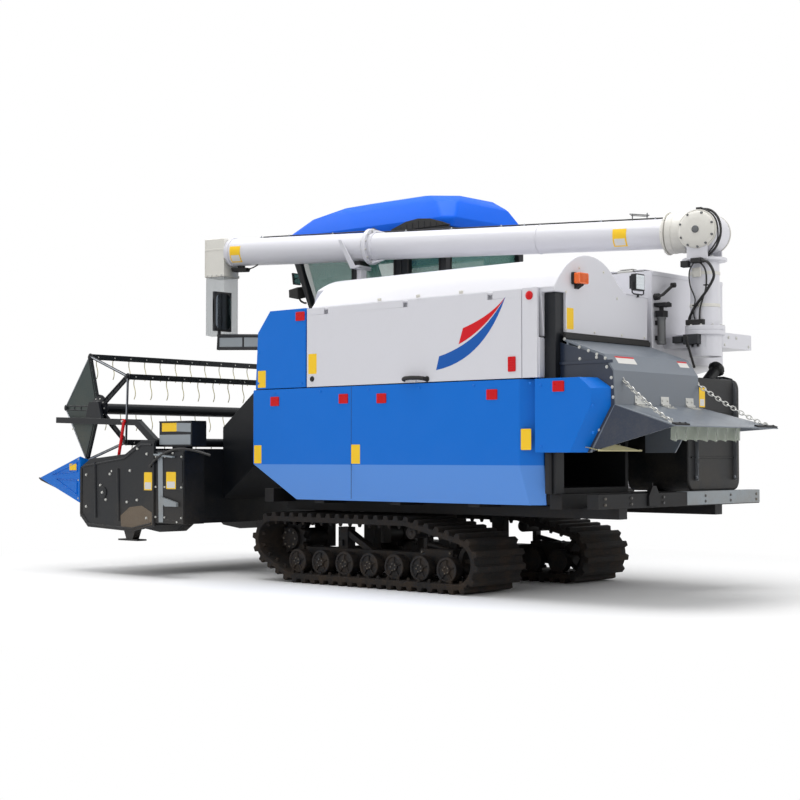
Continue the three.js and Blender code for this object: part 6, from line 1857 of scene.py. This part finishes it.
# %% Elbow and flanges
elbow = Shape()
elbow.turned([(129, 0), (133, 3), (133, 40), (130.5, 44), (130.5, 84), (134, 88), (134, 128), (129, 132)],
             on_tube(102, 0, 0), AHEAD, 48)
elbow.turned([(142, 0), (142, 12)], on_tube(236, 0, 0), AHEAD, 48)
elbow.turned([(116, 0), (108, 24)], on_tube(247, 0, 0), AHEAD, 48)
elbow.piece("elbow_casting", "auger_tube", "paint_white", ivory, rounding=0.002)
caps = Shape()
for side in (1, -1):
    caps.turned([(122, 0), (120, 8), (104, 20), (66, 27), (1, 28)], along(0, 145.2 * side, ELBOW_Z),
                ASIDE * side, 48)
    caps.turned([(132, -14), (132, -2)], along(0, 145.2 * side, ELBOW_Z), ASIDE * side, 48)
caps.piece("elbow_caps", "auger_post", "paint_white", ivory, rounding=0.002)
plugs = Shape()
for side in (1, -1):
    plugs.turned([(24, 0), (24, 6), (19, 9), (1, 9)], along(0, 172 * side, ELBOW_Z), ASIDE * side, 24)
plugs.piece("elbow_plugs", "auger_post", "bare_steel", dull_steel, rounding=0.001)
for tag, side in (("left", 1), ("right", -1)):
    places = [along(math.cos(t) * 112, 156 * side, ELBOW_Z + math.sin(t) * 112)
              for t in (math.radians(a) for a in (160, 200, 235, 265, 300, 335, 20, 60, 110))]
    studs("elbow_bolts_" + tag, places, tuple(ASIDE * side), "auger_post", dull_steel,
          radius=0.009,
          height=0.011)
places = [on_tube(248, math.cos(t) * 129,
                  math.sin(t) * 129) for t in (2 * math.pi * k / 10 for k in range(10))]
studs("elbow_flange_bolts", places, tuple(AHEAD), "auger_tube", zinc, radius=0.008,
      height=0.008)
for tag, d, way in (("rear", JOINT - 60, -1), ("front", JOINT - 30, 1)):
    places = [on_tube(d, math.cos(t) * 120,
                      math.sin(t) * 120) for t in (2 * math.pi * (k + 0.5) / 12 for k in range(12))]
    studs("joint_bolts_" + tag, places, tuple(AHEAD * way), "auger_tube", zinc, radius=0.009,
          height=0.009)
rings = Shape()
rings.turned([(TUBE_R + 9, 0), (TUBE_R + 9, 10)], on_tube(JOINT - 92, 0, 0), AHEAD, 40)
rings.turned([(TUBE_R + 14, 0), (TUBE_R + 14, 14)], on_tube(TUBE_LENGTH - 130, 0, 0), AHEAD, 40)
rings.turned([(TUBE_R + 3.5, 0), (TUBE_R + 3.5, 5)], on_tube(1180, 0, 0), AHEAD, 40)
for lean in (-1, 1):
    rings.prism([on_tube(JOINT - 62, -30, 104 * lean), on_tube(JOINT - 62, 30, 104 * lean),
                 on_tube(JOINT - 170, 0, 97 * lean)],
                [on_tube(JOINT - 62, -30, 128 * lean), on_tube(JOINT - 62, 30, 128 * lean),
                 on_tube(JOINT - 170, 0, 99 * lean)])
rings.piece("tube_rings", "auger_tube", "paint_white", white, rounding=0.0012)
guide = Shape()
d, gap = JOINT + 40, TUBE_R + 6
guide.prism([along(d - 26, gap + 8, 2266), along(d + 26, gap + 8, 2266), along(d + 26, gap + 15, 2266),
             along(d - 26, gap + 15, 2266)],
            [along(d + 84, gap + 42, 2476), along(d + 112, gap + 42, 2476), along(d + 112, gap + 49, 2476),
             along(d + 84, gap + 49, 2476)])
guide.prism([along(d - 26, -90, 2264), along(d + 26, -90, 2264), along(d + 26, gap + 15, 2264),
             along(d - 26, gap + 15, 2264)],
            [along(d - 26, -90, 2272), along(d + 26, -90, 2272), along(d + 26, gap + 15, 2272),
             along(d - 26, gap + 15, 2272)])
guide.piece("rest_guide", "machine", "paint_white", white, rounding=0.0015)
pads = Shape()
pads.prism([along(d - 24, -70, 2290), along(d + 24, -70, 2290), along(d + 24, 70, 2290),
            along(d - 24, 70, 2290)],
           [along(d - 24, -70, 2324), along(d + 24, -70, 2324), along(d + 24, 70, 2324),
            along(d - 24, 70, 2324)])
pads.piece("rest_pad", "machine", "paint_black", trim_rubber, rounding=0)

# %% Labels, clips, cable and lamp on the tube
for name, d0, d1, r in (("label_elbow", 508, 606, TUBE_R),
                        ("label_spout", TUBE_LENGTH - 250, TUBE_LENGTH - 150,
                                                             TUBE_R + 6)):
    label = patch(Shape(), d0, d1, r, -52, 20, 1.2, 12)
    label.piece(name, "auger_tube", None, yellow, rounding=0, angle=40)
    panel = patch(Shape(), d0 + 10, d1 - 10, r, -46, -18, 1.9, 8)
    panel.piece(name + "_panel", "auger_tube", None, label_white, rounding=0, angle=40)
clips = Shape()
for d in (330, 720, 1300, 1480, 1880, 2260, 2900, 3300, 3560):
    r = TUBE_R if d < JOINT else TUBE_R + 6
    clips.prism([on_tube(d, -14, r - 3), on_tube(d + 20, -14, r - 3), on_tube(d + 20, 16, r - 3),
                 on_tube(d, 16, r - 3)],
                [on_tube(d, -14, r + 3), on_tube(d + 20, -14, r + 3), on_tube(d + 20, 16, r + 3),
                 on_tube(d, 16, r + 3)])
    clips.rod(on_tube(d + 10, 8, r), on_tube(d + 10, 8, r + 14), 4, 8)
clips.piece("tube_clips", "auger_tube", "bare_steel", steel, rounding=0)
run = Shape()
run.tube([on_tube(d, -6, (TUBE_R if d < JOINT else TUBE_R + 6) + 5 + (3 if d % 400 else 0)) for d in
          [200, 330, 500, 720, 1000, 1300, 1480, 1700, 1880, 2100, 2260, 2500]]
         + [on_tube(2560, -6, 139), on_tube(2620, -6, 118), on_tube(2900, -6, 114), on_tube(3300, -6, 114),
            on_tube(3560, -6, 112)], 5, sides=8)
run.piece("tube_cable", "auger_tube", None, cable_skin, rounding=0)
rail = Shape()
for d in (400, 505):
    rail.rod(on_tube(d, 6, TUBE_R - 2), on_tube(d, 6, TUBE_R + 46), 4, 8)
rail.tube([on_tube(385, 6, TUBE_R + 30), on_tube(525, 6, TUBE_R + 44)], 4, 8)
rail.tube([on_tube(392, 6, TUBE_R + 22), on_tube(516, 6, TUBE_R + 34)], 3, 8)
rail.piece("tube_sensor_rail", "auger_tube", "bare_steel", dull_steel, rounding=0)
lamp = Shape()
lamp.prism([on_tube(3700, -26, -152), on_tube(3830, -26, -152), on_tube(3830, 26, -152),
            on_tube(3700, 26, -152)],
           [on_tube(3690, -30, -122), on_tube(3840, -30, -122), on_tube(3840, 30, -122),
            on_tube(3690, 30, -122)])
lamp.prism([on_tube(3730, -12, -124), on_tube(3790, -12, -124), on_tube(3790, 12, -124),
            on_tube(3730, 12, -124)],
           [on_tube(3730, -12, -98), on_tube(3790, -12, -98), on_tube(3790, 12, -98), on_tube(3730, 12, -98)])
lamp.tube(smooth_path([on_tube(3700, 10, -134), on_tube(3640, 20, -126), on_tube(3580, 30, -106)]), 5,
          sides=8)
lamp.piece("tube_lamp", "auger_tube", "paint_black", trim_rubber, rounding=0.003)

plug = Shape()
plug.prism([along(60, 96, 2108), along(112, 96, 2108), along(112, 150, 2108), along(60, 150, 2108)],
           [along(60, 96, 2148), along(112, 96, 2148), along(112, 150, 2148), along(60, 150, 2148)])
plug.piece("elbow_switch", "auger_post", "paint_black", trim_rubber, rounding=0.003)
over = Shape()
over.tube(smooth_path([along(-60, 112, 2172), along(-120, 118, 2230), along(-152, 120, 2320),
                       along(-136, 118, 2410),
                       along(-84, 112, 2468), along(-10, 100, 2486)]), 8, sides=10)
over.tube(smooth_path([along(-50, 128, 2172), along(-104, 132, 2230), along(-138, 136, 2290),
                       along(-126, 134, 2400),
                       along(-70, 124, 2462), along(0, 112, 2480)]), 5, sides=10)
over.prism([along(-26, 90, 2478), along(10, 90, 2478), along(10, 130, 2478), along(-26, 130, 2478)],
           [along(-26, 90, 2492), along(10, 90, 2492), along(10, 130, 2492), along(-26, 130, 2492)])
over.piece("elbow_cables", "auger_post", None, cable_skin, rounding=0)

# %% Spout seams and the clear sleeve
SPOUT_HALF, SPOUT_WIDE = 92.0, 96.0
spout_top = on_tube(TUBE_LENGTH, 0, TUBE_R + 4).z
spout_foot = spout_top - 300


def around_spout(shape, grow_by, z0, z1):
    """A square band round the spout."""
    corners = [(TUBE_LENGTH - SPOUT_HALF - grow_by, -SPOUT_WIDE - grow_by),
               (TUBE_LENGTH + SPOUT_HALF + grow_by, -SPOUT_WIDE - grow_by),
               (TUBE_LENGTH + SPOUT_HALF + grow_by, SPOUT_WIDE + grow_by),
               (TUBE_LENGTH - SPOUT_HALF - grow_by, SPOUT_WIDE + grow_by)]
    return shape.prism([along(d, s, z0) for d, s in corners], [along(d, s, z1) for d, s in corners])


seam = Shape()
around_spout(seam, 2.5, spout_top - 92, spout_top - 80)
around_spout(seam, 3.0, spout_foot + 2, spout_foot + 22)
for s in (-1, 1):
    seam.rod(along(TUBE_LENGTH + SPOUT_HALF, s * SPOUT_WIDE, spout_foot + 10),
             along(TUBE_LENGTH + SPOUT_HALF, s * SPOUT_WIDE, spout_top - 2), 4, 10)
seam.piece("spout_seams", "auger_tube", "paint_white", ivory, rounding=0.001)
places = [along(TUBE_LENGTH + d, SPOUT_WIDE + 3, spout_foot + 12) for d in (-72, -24, 24, 72)]
studs("spout_bolts_left", places, tuple(ASIDE), "auger_tube", zinc, radius=0.008, height=0.007)
places = [along(TUBE_LENGTH + d, -SPOUT_WIDE - 3, spout_foot + 12) for d in (-72, -24, 24, 72)]
studs("spout_bolts_right", places, tuple(-ASIDE), "auger_tube", zinc, radius=0.008,
      height=0.007)
places = [along(TUBE_LENGTH + SPOUT_HALF + 3, s, spout_foot + 12) for s in (-72, -24, 24, 72)]
studs("spout_bolts_front", places, (math.cos(YAW), math.sin(YAW), 0.0), "auger_tube", zinc,
      radius=0.008,
      height=0.007)


def make_sleeve(drop=456.0, steps=40):
    """A tube of clear sheet, square at the top, whose sides bow and crease on the way down."""
    mesh = bmesh.new()
    d_half, s_half = SPOUT_HALF - 5.0, SPOUT_WIDE - 5.0
    outline = []
    for cd, cs, nd, ns in ((d_half, -s_half, 0, 1), (d_half, s_half, -1, 0), (-d_half, s_half, 0, -1),
                           (-d_half, -s_half, 1, 0)):
        reach = 2 * (s_half if ns else d_half)
        for k in range(24):
            outline.append((cd + nd * reach * k / 24, cs + ns * reach * k / 24, k / 24))
    rings_made = []
    for j in range(steps + 1):
        share = j / steps
        verts = []
        for i, (d, s, t) in enumerate(outline):
            bow = math.sin(math.pi * t)
            crease = math.sin(t * 15.0 + (i // 24) * 1.7) * 3.2 + math.sin(t * 31.0 + share * 4.0) * 1.1
            out = share ** 0.7 * (-5.0 * bow * share + crease * bow)
            length = math.hypot(d, s)
            hem = math.sin(i * 0.33) * 2.5 * share ** 6
            spot = along(TUBE_LENGTH + d * (1 + out / length), s * (1 + out / length),
                         spout_foot - 1.0 - drop * share + hem)
            verts.append(mesh.verts.new(at(*spot)))
        rings_made.append(verts)
    count = len(outline)
    for low, high in zip(rings_made, rings_made[1:]):
        for i in range(count):
            mesh.faces.new((low[i], low[(i + 1) % count], high[(i + 1) % count], high[i]))
    bmesh.ops.recalc_face_normals(mesh, faces=mesh.faces)
    data = bpy.data.meshes.new("clear_sleeve")
    mesh.to_mesh(data)
    mesh.free()
    for polygon in data.polygons:
        polygon.use_smooth = True
    data.materials.append(sleeve_sheet)
    obj = bpy.data.objects.new("clear_sleeve", data)
    bpy.context.scene.collection.objects.link(obj)
    return obj


sleeve = make_sleeve()
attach(sleeve, "auger_tube")
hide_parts("spout_sleeve")
# %% [markdown]
# ## Right side, rear bay and tops
#
# These sides carry the parts people reach for: the filler cap and its straps, the steps, the
# engine's screen, and the tank's lid and its hinges. The screens and the sieve are a slat or wire
# repeated by a tree, with the count and gap as inputs.

# %% A tree for grilles
def make_grille_tree():
    """Repeats thin bars along an axis: count, step and the bar's length and width are inputs."""
    tree = bpy.data.node_groups.new("grille", "GeometryNodeTree")
    tree.interface.new_socket(name="Geometry", in_out="INPUT", socket_type="NodeSocketGeometry")
    add_socket(tree, "Count", "NodeSocketInt", 10)
    add_socket(tree, "Step", "NodeSocketVector", (0.02, 0, 0))
    add_socket(tree, "Bar", "NodeSocketVector", (0.004, 0.004, 0.3))
    add_socket(tree, "Finish", "NodeSocketMaterial")
    tree.interface.new_socket(name="Geometry", in_out="OUTPUT", socket_type="NodeSocketGeometry")
    inside, outside = tree.nodes.new("NodeGroupInput"), tree.nodes.new("NodeGroupOutput")
    bar = tree.nodes.new("GeometryNodeMeshCube")
    tree.links.new(inside.outputs["Bar"], bar.inputs["Size"])
    row = tree.nodes.new("GeometryNodeMeshLine")
    row.mode = "OFFSET"
    tree.links.new(inside.outputs["Count"], row.inputs["Count"])
    tree.links.new(inside.outputs["Step"], row.inputs["Offset"])
    rows = tree.nodes.new("GeometryNodeInstanceOnPoints")
    tree.links.new(row.outputs["Mesh"], rows.inputs["Points"])
    tree.links.new(bar.outputs["Mesh"], rows.inputs["Instance"])
    starts = tree.nodes.new("GeometryNodeInstanceOnPoints")
    tree.links.new(inside.outputs["Geometry"], starts.inputs["Points"])
    tree.links.new(rows.outputs["Instances"], starts.inputs["Instance"])
    finish_tree(tree, starts.outputs["Instances"], inside, outside)
    return tree


GRILLE_TREE = make_grille_tree()


def grille(name, starts, step, bar, count, body, material):
    """Rows of bars that begin at the given machine points; step and bar are in metres."""
    base = bpy.data.meshes.new(name)
    base.from_pydata([tuple(at(*p)) for p in starts], [], [])
    return grow(name, base, GRILLE_TREE, {"Count": count, "Step": step, "Bar": bar, "Finish": material},
                body)


# %% Engine screen on the right
DECK = 655.3
SCREEN_Y = -1045.0
low, high = DECK + 60, 1092.0
middle = (low + high) / 2
frame = Shape()
for x0, x1 in ((100, 470), (490, 860)):
    frame.tube([(x0, SCREEN_Y, low), (x1, SCREEN_Y, low), (x1, SCREEN_Y, high), (x0, SCREEN_Y, high)], 8,
               sides=8,
               closed=True)
frame.plate(((104, low), (856, low), (856, high), (104, high)), "y", SCREEN_Y - 1.0, SCREEN_Y)
frame.piece("screen_frame", "engine_screen_door", "paint_black", black, rounding=0)
tall = (high - low) / 1000
grille("screen_slats", [(112 + dx, SCREEN_Y - 4, middle) for dx in (0, 390)], (0.012, 0, 0),
       (0.004, 0.006, tall), 30,
       "engine_screen_door", dull_steel)
grille("screen_rods", [((100 + 470) / 2 + dx, SCREEN_Y - 7, low + 20) for dx in (0, 390)],
       (0, 0, (tall - 0.04) / 6),
       (0.36, 0.004, 0.004), 7, "engine_screen_door", dull_steel)
latch = Shape()
latch.plate(rounded(866, middle - 40, 894, middle + 40, 6), "y", SCREEN_Y - 5, SCREEN_Y)
latch.turned([(10, 0), (10, 14), (13, 16), (13, 22), (9, 25)], (880, SCREEN_Y - 5, middle), (0, -1, 0), 20)
latch.piece("screen_latch", "engine_screen_door", "bare_steel", zinc, rounding=0.001)
studs("screen_bolts", [(x, SCREEN_Y, z) for x in (80, 480, 880) for z in (low - 20, high + 20)],
      (0.0, -1.0, 0.0),
      "engine_screen_door", zinc, radius=0.008, height=0.006)

# %% Grain tank
TANK_X0, TANK_X1, TANK_Y0, TANK_Y1 = -1700.0, -60.0, -1050.0, -150.0
ribs = Shape()
for x in (-1400, -1080, -760, -440):
    ribs.plate(((x - 18, 1120), (x + 18, 1120), (x + 18, 2060), (x - 18, 2060)), "y", TANK_Y0 - 9,
               TANK_Y0 + 1)
ribs.plate(((TANK_X0 + 4, 1548), (TANK_X1 - 4, 1548), (TANK_X1 - 4, 1572), (TANK_X0 + 4, 1572)), "y",
           TANK_Y0 - 6,
           TANK_Y0 + 1)
ribs.plate(((TANK_X0 + 2, 2066), (TANK_X1 - 2, 2066), (TANK_X1 - 2, 2092), (TANK_X0 + 2, 2092)), "y",
           TANK_Y0 - 7,
           TANK_Y0 + 1)
ribs.plate(((TANK_Y0 + 4, 2066), (TANK_Y1 - 4, 2066), (TANK_Y1 - 4, 2092), (TANK_Y0 + 4, 2092)), "x",
           TANK_X0 - 5,
           TANK_X0 + 1)
ribs.piece("tank_ribs", "machine", "paint_white", white, rounding=0.002)
lid = Shape()
lid.plate(rounded(TANK_X0 + 112, TANK_Y0 + 82, TANK_X1 - 112, TANK_Y1 - 82, 30), "z", 2112, 2121)
for x in (-1300, -880, -460):
    lid.plate(((x - 30, TANK_Y0 + 110), (x + 30, TANK_Y0 + 110), (x + 30, TANK_Y1 - 110),
               (x - 30, TANK_Y1 - 110)), "z",
              2118, 2127)
lid.piece("tank_lid_skin", "machine", "paint_white", white, rounding=0.003)
rim = Shape()
rim.tube([(TANK_X0 + 112, TANK_Y0 + 82, 2101), (TANK_X1 - 112, TANK_Y0 + 82, 2101),
          (TANK_X1 - 112, TANK_Y1 - 82, 2101),
          (TANK_X0 + 112, TANK_Y1 - 82, 2101)], 8, sides=8, closed=True)
rim.piece("tank_lid_seal", "machine", "paint_black", trim_rubber, rounding=0)
hinge = Shape()
for x in (-1450, -880, -310):
    hinge.rod((x - 60, TANK_Y1 - 74, 2112), (x + 60, TANK_Y1 - 74, 2112), 10, 14)
    hinge.plate(((x - 50, TANK_Y1 - 130), (x + 50, TANK_Y1 - 130), (x + 50, TANK_Y1 - 76),
                 (x - 50, TANK_Y1 - 76)), "z",
                2126, 2131)
for x in (-1200, -560):
    hinge.tube([(x - 70, TANK_Y0 + 120, 2126), (x - 70, TANK_Y0 + 120, 2160), (x + 70, TANK_Y0 + 120, 2160),
                (x + 70, TANK_Y0 + 120, 2126)], 7, sides=10)
hinge.piece("tank_lid_hardware", "machine", "bare_steel", zinc, rounding=0.001)
studs("tank_bolts_right", [(x, TANK_Y0 - 9, z) for x in (-1400, -1080, -760, -440) for z in (1160, 1400,
                                                                                             1700, 2020)],
      (0.0, -1.0, 0.0), "machine", zinc, radius=0.009, height=0.007)
window = Shape()
window.plate(rounded(-300, 1640, -180, 1960, 24), "y", TANK_Y0 - 6, TANK_Y0 + 1)
window.piece("tank_window_frame", "machine", "paint_black", trim_rubber, rounding=0.002)
window = Shape()
window.plate(rounded(-288, 1652, -192, 1948, 18), "y", TANK_Y0 - 7, TANK_Y0 - 5.5)
window.piece("tank_window", "machine", None, lamp_glass, rounding=0)

# %% Fuel tank
straps = Shape()
for y in (-360, -850):
    straps.tube([(-1896, y, DECK + 70), (-1896, y, 1330), (-1872, y, 1392), (-1820, y, 1404),
                 (-1700, y, 1404)], 3.5,
                sides=4, flat=6.0)
    straps.bolt((-1898, y, DECK + 90), (-1, 0, 0), 18, 10)
straps.piece("fuel_tank_straps", "machine", "bare_steel", steel, rounding=0)
mould = Shape()
for z in (DECK + 220, 1180):
    mould.tube([(-1891, -900, z), (-1891, -310, z)], 6, sides=8)
mould.tube([(-1650, -936, DECK + 120), (-1650, -936, 1300)], 6, sides=8)
mould.turned([(52, 0), (54, 6), (54, 24), (48, 32), (20, 34)], (-1817, -747, 1461), (-0.22, -0.88, 0.86), 32)
mould.piece("fuel_tank_mouldings", "machine", "paint_black", tank_plastic, rounding=0)
cap = Shape()
for k in range(12):
    t = 2 * math.pi * k / 12
    axis = Vector((-0.22, -0.88, 0.86)).normalized()
    u = axis.cross(Vector((0, 0, 1))).normalized()
    v = axis.cross(u)
    spot = Vector((-1817, -747, 1461)) + (u * math.cos(t) + v * math.sin(t)) * 53
    cap.rod(spot + axis * 5, spot + axis * 25, 4.5, 8)
cap.piece("fuel_cap_grips", "machine", "paint_black", trim_rubber, rounding=0)
label = Shape()
label.plate(rounded(-486, 1205, -414, 1335, 6), "x", -1891.4, -1890)
label.piece("label_fuel", "machine", None, yellow, rounding=0)
label = Shape()
label.plate(rounded(-477, 1214, -423, 1258, 4), "x", -1892, -1891.3)
label.piece("label_fuel_panel", "machine", None, label_white, rounding=0)
mesh_sheet = Shape()
mesh_sheet.plate(((420, 912), (880, 912), (880, 922), (420, 922)), "x", -1992, -1984)
mesh_sheet.piece("sieve_edge", "machine", "bare_steel", cream_wire, rounding=0.001)
grille("sieve_rows", [(-1984, 650, 918)], (0.013, 0, 0.0026), (0.0035, 0.45, 0.0035), 24, "machine",
       cream_wire)
for share in (0.0, 0.5, 1.0):
    studs("sieve_clips_" + str(int(share * 2)),
          [(-1984 + 299 * share, y, 920 + 60 * share) for y in (430, 580, 730, 870)],
          (0.0, 0.0, 1.0), "machine", zinc, radius=0.007, height=0.005)

# %% Steps and hand rail
treads = Shape()
for z in (565, 785, 1005):
    for k in range(7):
        treads.plate(((1018 + k * 50, -1128), (1026 + k * 50, -1128), (1026 + k * 50, -1020),
                      (1018 + k * 50, -1020)),
                     "z", z - 1, z + 4)
treads.piece("step_treads", "machine", "bare_steel", dull_steel, rounding=0)
rail = Shape()
rail.tube(smooth_path([(1376, -1052, 1200), (1420, -1090, 1320), (1440, -1092, 1600), (1450, -1090, 1900),
                       (1452, -1056, 2010)], 6), 13, sides=14)
rail.piece("cab_hand_rail", "machine", "paint_black", black, rounding=0)
studs("step_bolts", [(x, -1047, z) for x in (1025, 1345) for z in (620, 860, 1080)], (0.0, -1.0, 0.0),
      "machine",
      zinc, radius=0.009, height=0.008)
print("right side dressed")

# %% [markdown]
# ## Behind the doors
#
# An open door should not show a bare wall. The cooler's core fills the engine's right side, and the
# threshing housing carries its drive: pulleys with belts round them, and a tensioner arm.

# %% Cooler core and housing drive
COOLER_Y = -930.0
cooler = Shape()
for z0, z1 in ((DECK + 26, DECK + 66), (1088, 1132)):
    cooler.plate(rounded(120, z0, 840, z1, 10), "y", COOLER_Y - 46, COOLER_Y + 1)
for x in (112, 830):
    cooler.plate(((x, DECK + 30), (x + 18, DECK + 30), (x + 18, 1128), (x, 1128)), "y", COOLER_Y - 40,
                 COOLER_Y + 1)
cooler.turned([(38, 0), (38, 12), (30, 18), (30, 24), (1, 24)], (640, COOLER_Y - 24, 1130), (0, 0, 1), 28)
cooler.tube(smooth_path([(720, COOLER_Y - 30, 1110), (790, COOLER_Y - 62, 1108), (870, COOLER_Y - 50, 1050),
                         (880, COOLER_Y - 10, 960)]), 22, sides=16)
cooler.piece("cooler_tanks", "machine", "paint_black", black, rounding=0.002)
grille("cooler_fins", [(136, COOLER_Y - 18, (DECK + 1154) / 2)], (0.0087, 0, 0), (0.0022, 0.026, 0.37), 80,
       "machine",
       dull_steel)
grille("cooler_tubes", [(480, COOLER_Y - 18, DECK + 80)], (0, 0, 0.018), (0.7, 0.02, 0.003), 22, "machine",
       dull_steel)

HOUSING_Y = 905.0
PULLEYS = ((-1330, 1500, 88), (-760, 1482, 112), (-120, 1510, 72), (420, 1480, 98))
drive = Shape()
for x, z, r in PULLEYS:
    drive.turned([(r, 3), (r, 6), (r - 9, 9.5), (r, 13), (r, 16), (r - 14, 16.5), (r * 0.45, 12), (30, 18),
                  (1, 18)],
                 (x, HOUSING_Y - 1, z), (0, 1, 0), 48)
    drive.rod((x, HOUSING_Y - 2, z), (x, HOUSING_Y + 12, z), 24, 20)
drive.piece("housing_pulleys", "machine", "paint_black", cast_iron, rounding=0.0015)
belts = Shape()
for (xa, za, ra), (xb, zb, rb) in zip(PULLEYS, PULLEYS[1:]):
    gap = math.hypot(xb - xa, zb - za)
    lean = math.atan2(zb - za, xb - xa)
    spread = math.acos((ra - rb) / gap)
    ra, rb = ra - 5, rb - 5
    loop = []
    for k in range(17):
        t = lean + spread + (2 * math.pi - 2 * spread) * k / 16
        loop.append((xa + ra * math.cos(t), HOUSING_Y + 8.5, za + ra * math.sin(t)))
    for k in range(17):
        t = lean - spread + 2 * spread * k / 16
        loop.append((xb + rb * math.cos(t), HOUSING_Y + 8.5, zb + rb * math.sin(t)))
    belts.tube(loop, 4.5, sides=8, closed=True)
belts.piece("housing_belts", "machine", "track_rubber", trim_rubber, rounding=0)
arm = Shape()
arm.prism([(-520, HOUSING_Y - 1, 1585), (-480, HOUSING_Y - 1, 1585), (-480, HOUSING_Y + 8, 1585),
           (-520, HOUSING_Y + 8, 1585)],
          [(-450, HOUSING_Y - 1, 1470), (-420, HOUSING_Y - 1, 1470), (-420, HOUSING_Y + 8, 1470),
           (-450, HOUSING_Y + 8, 1470)])
arm.turned([(32, 4), (32, 16), (14, 18), (1, 18)], (-432, HOUSING_Y - 1, 1462), (0, 1, 0), 32)
arm.piece("belt_tensioner", "machine", "paint_grey", light_grey, rounding=0.002)

# %% The end
import json
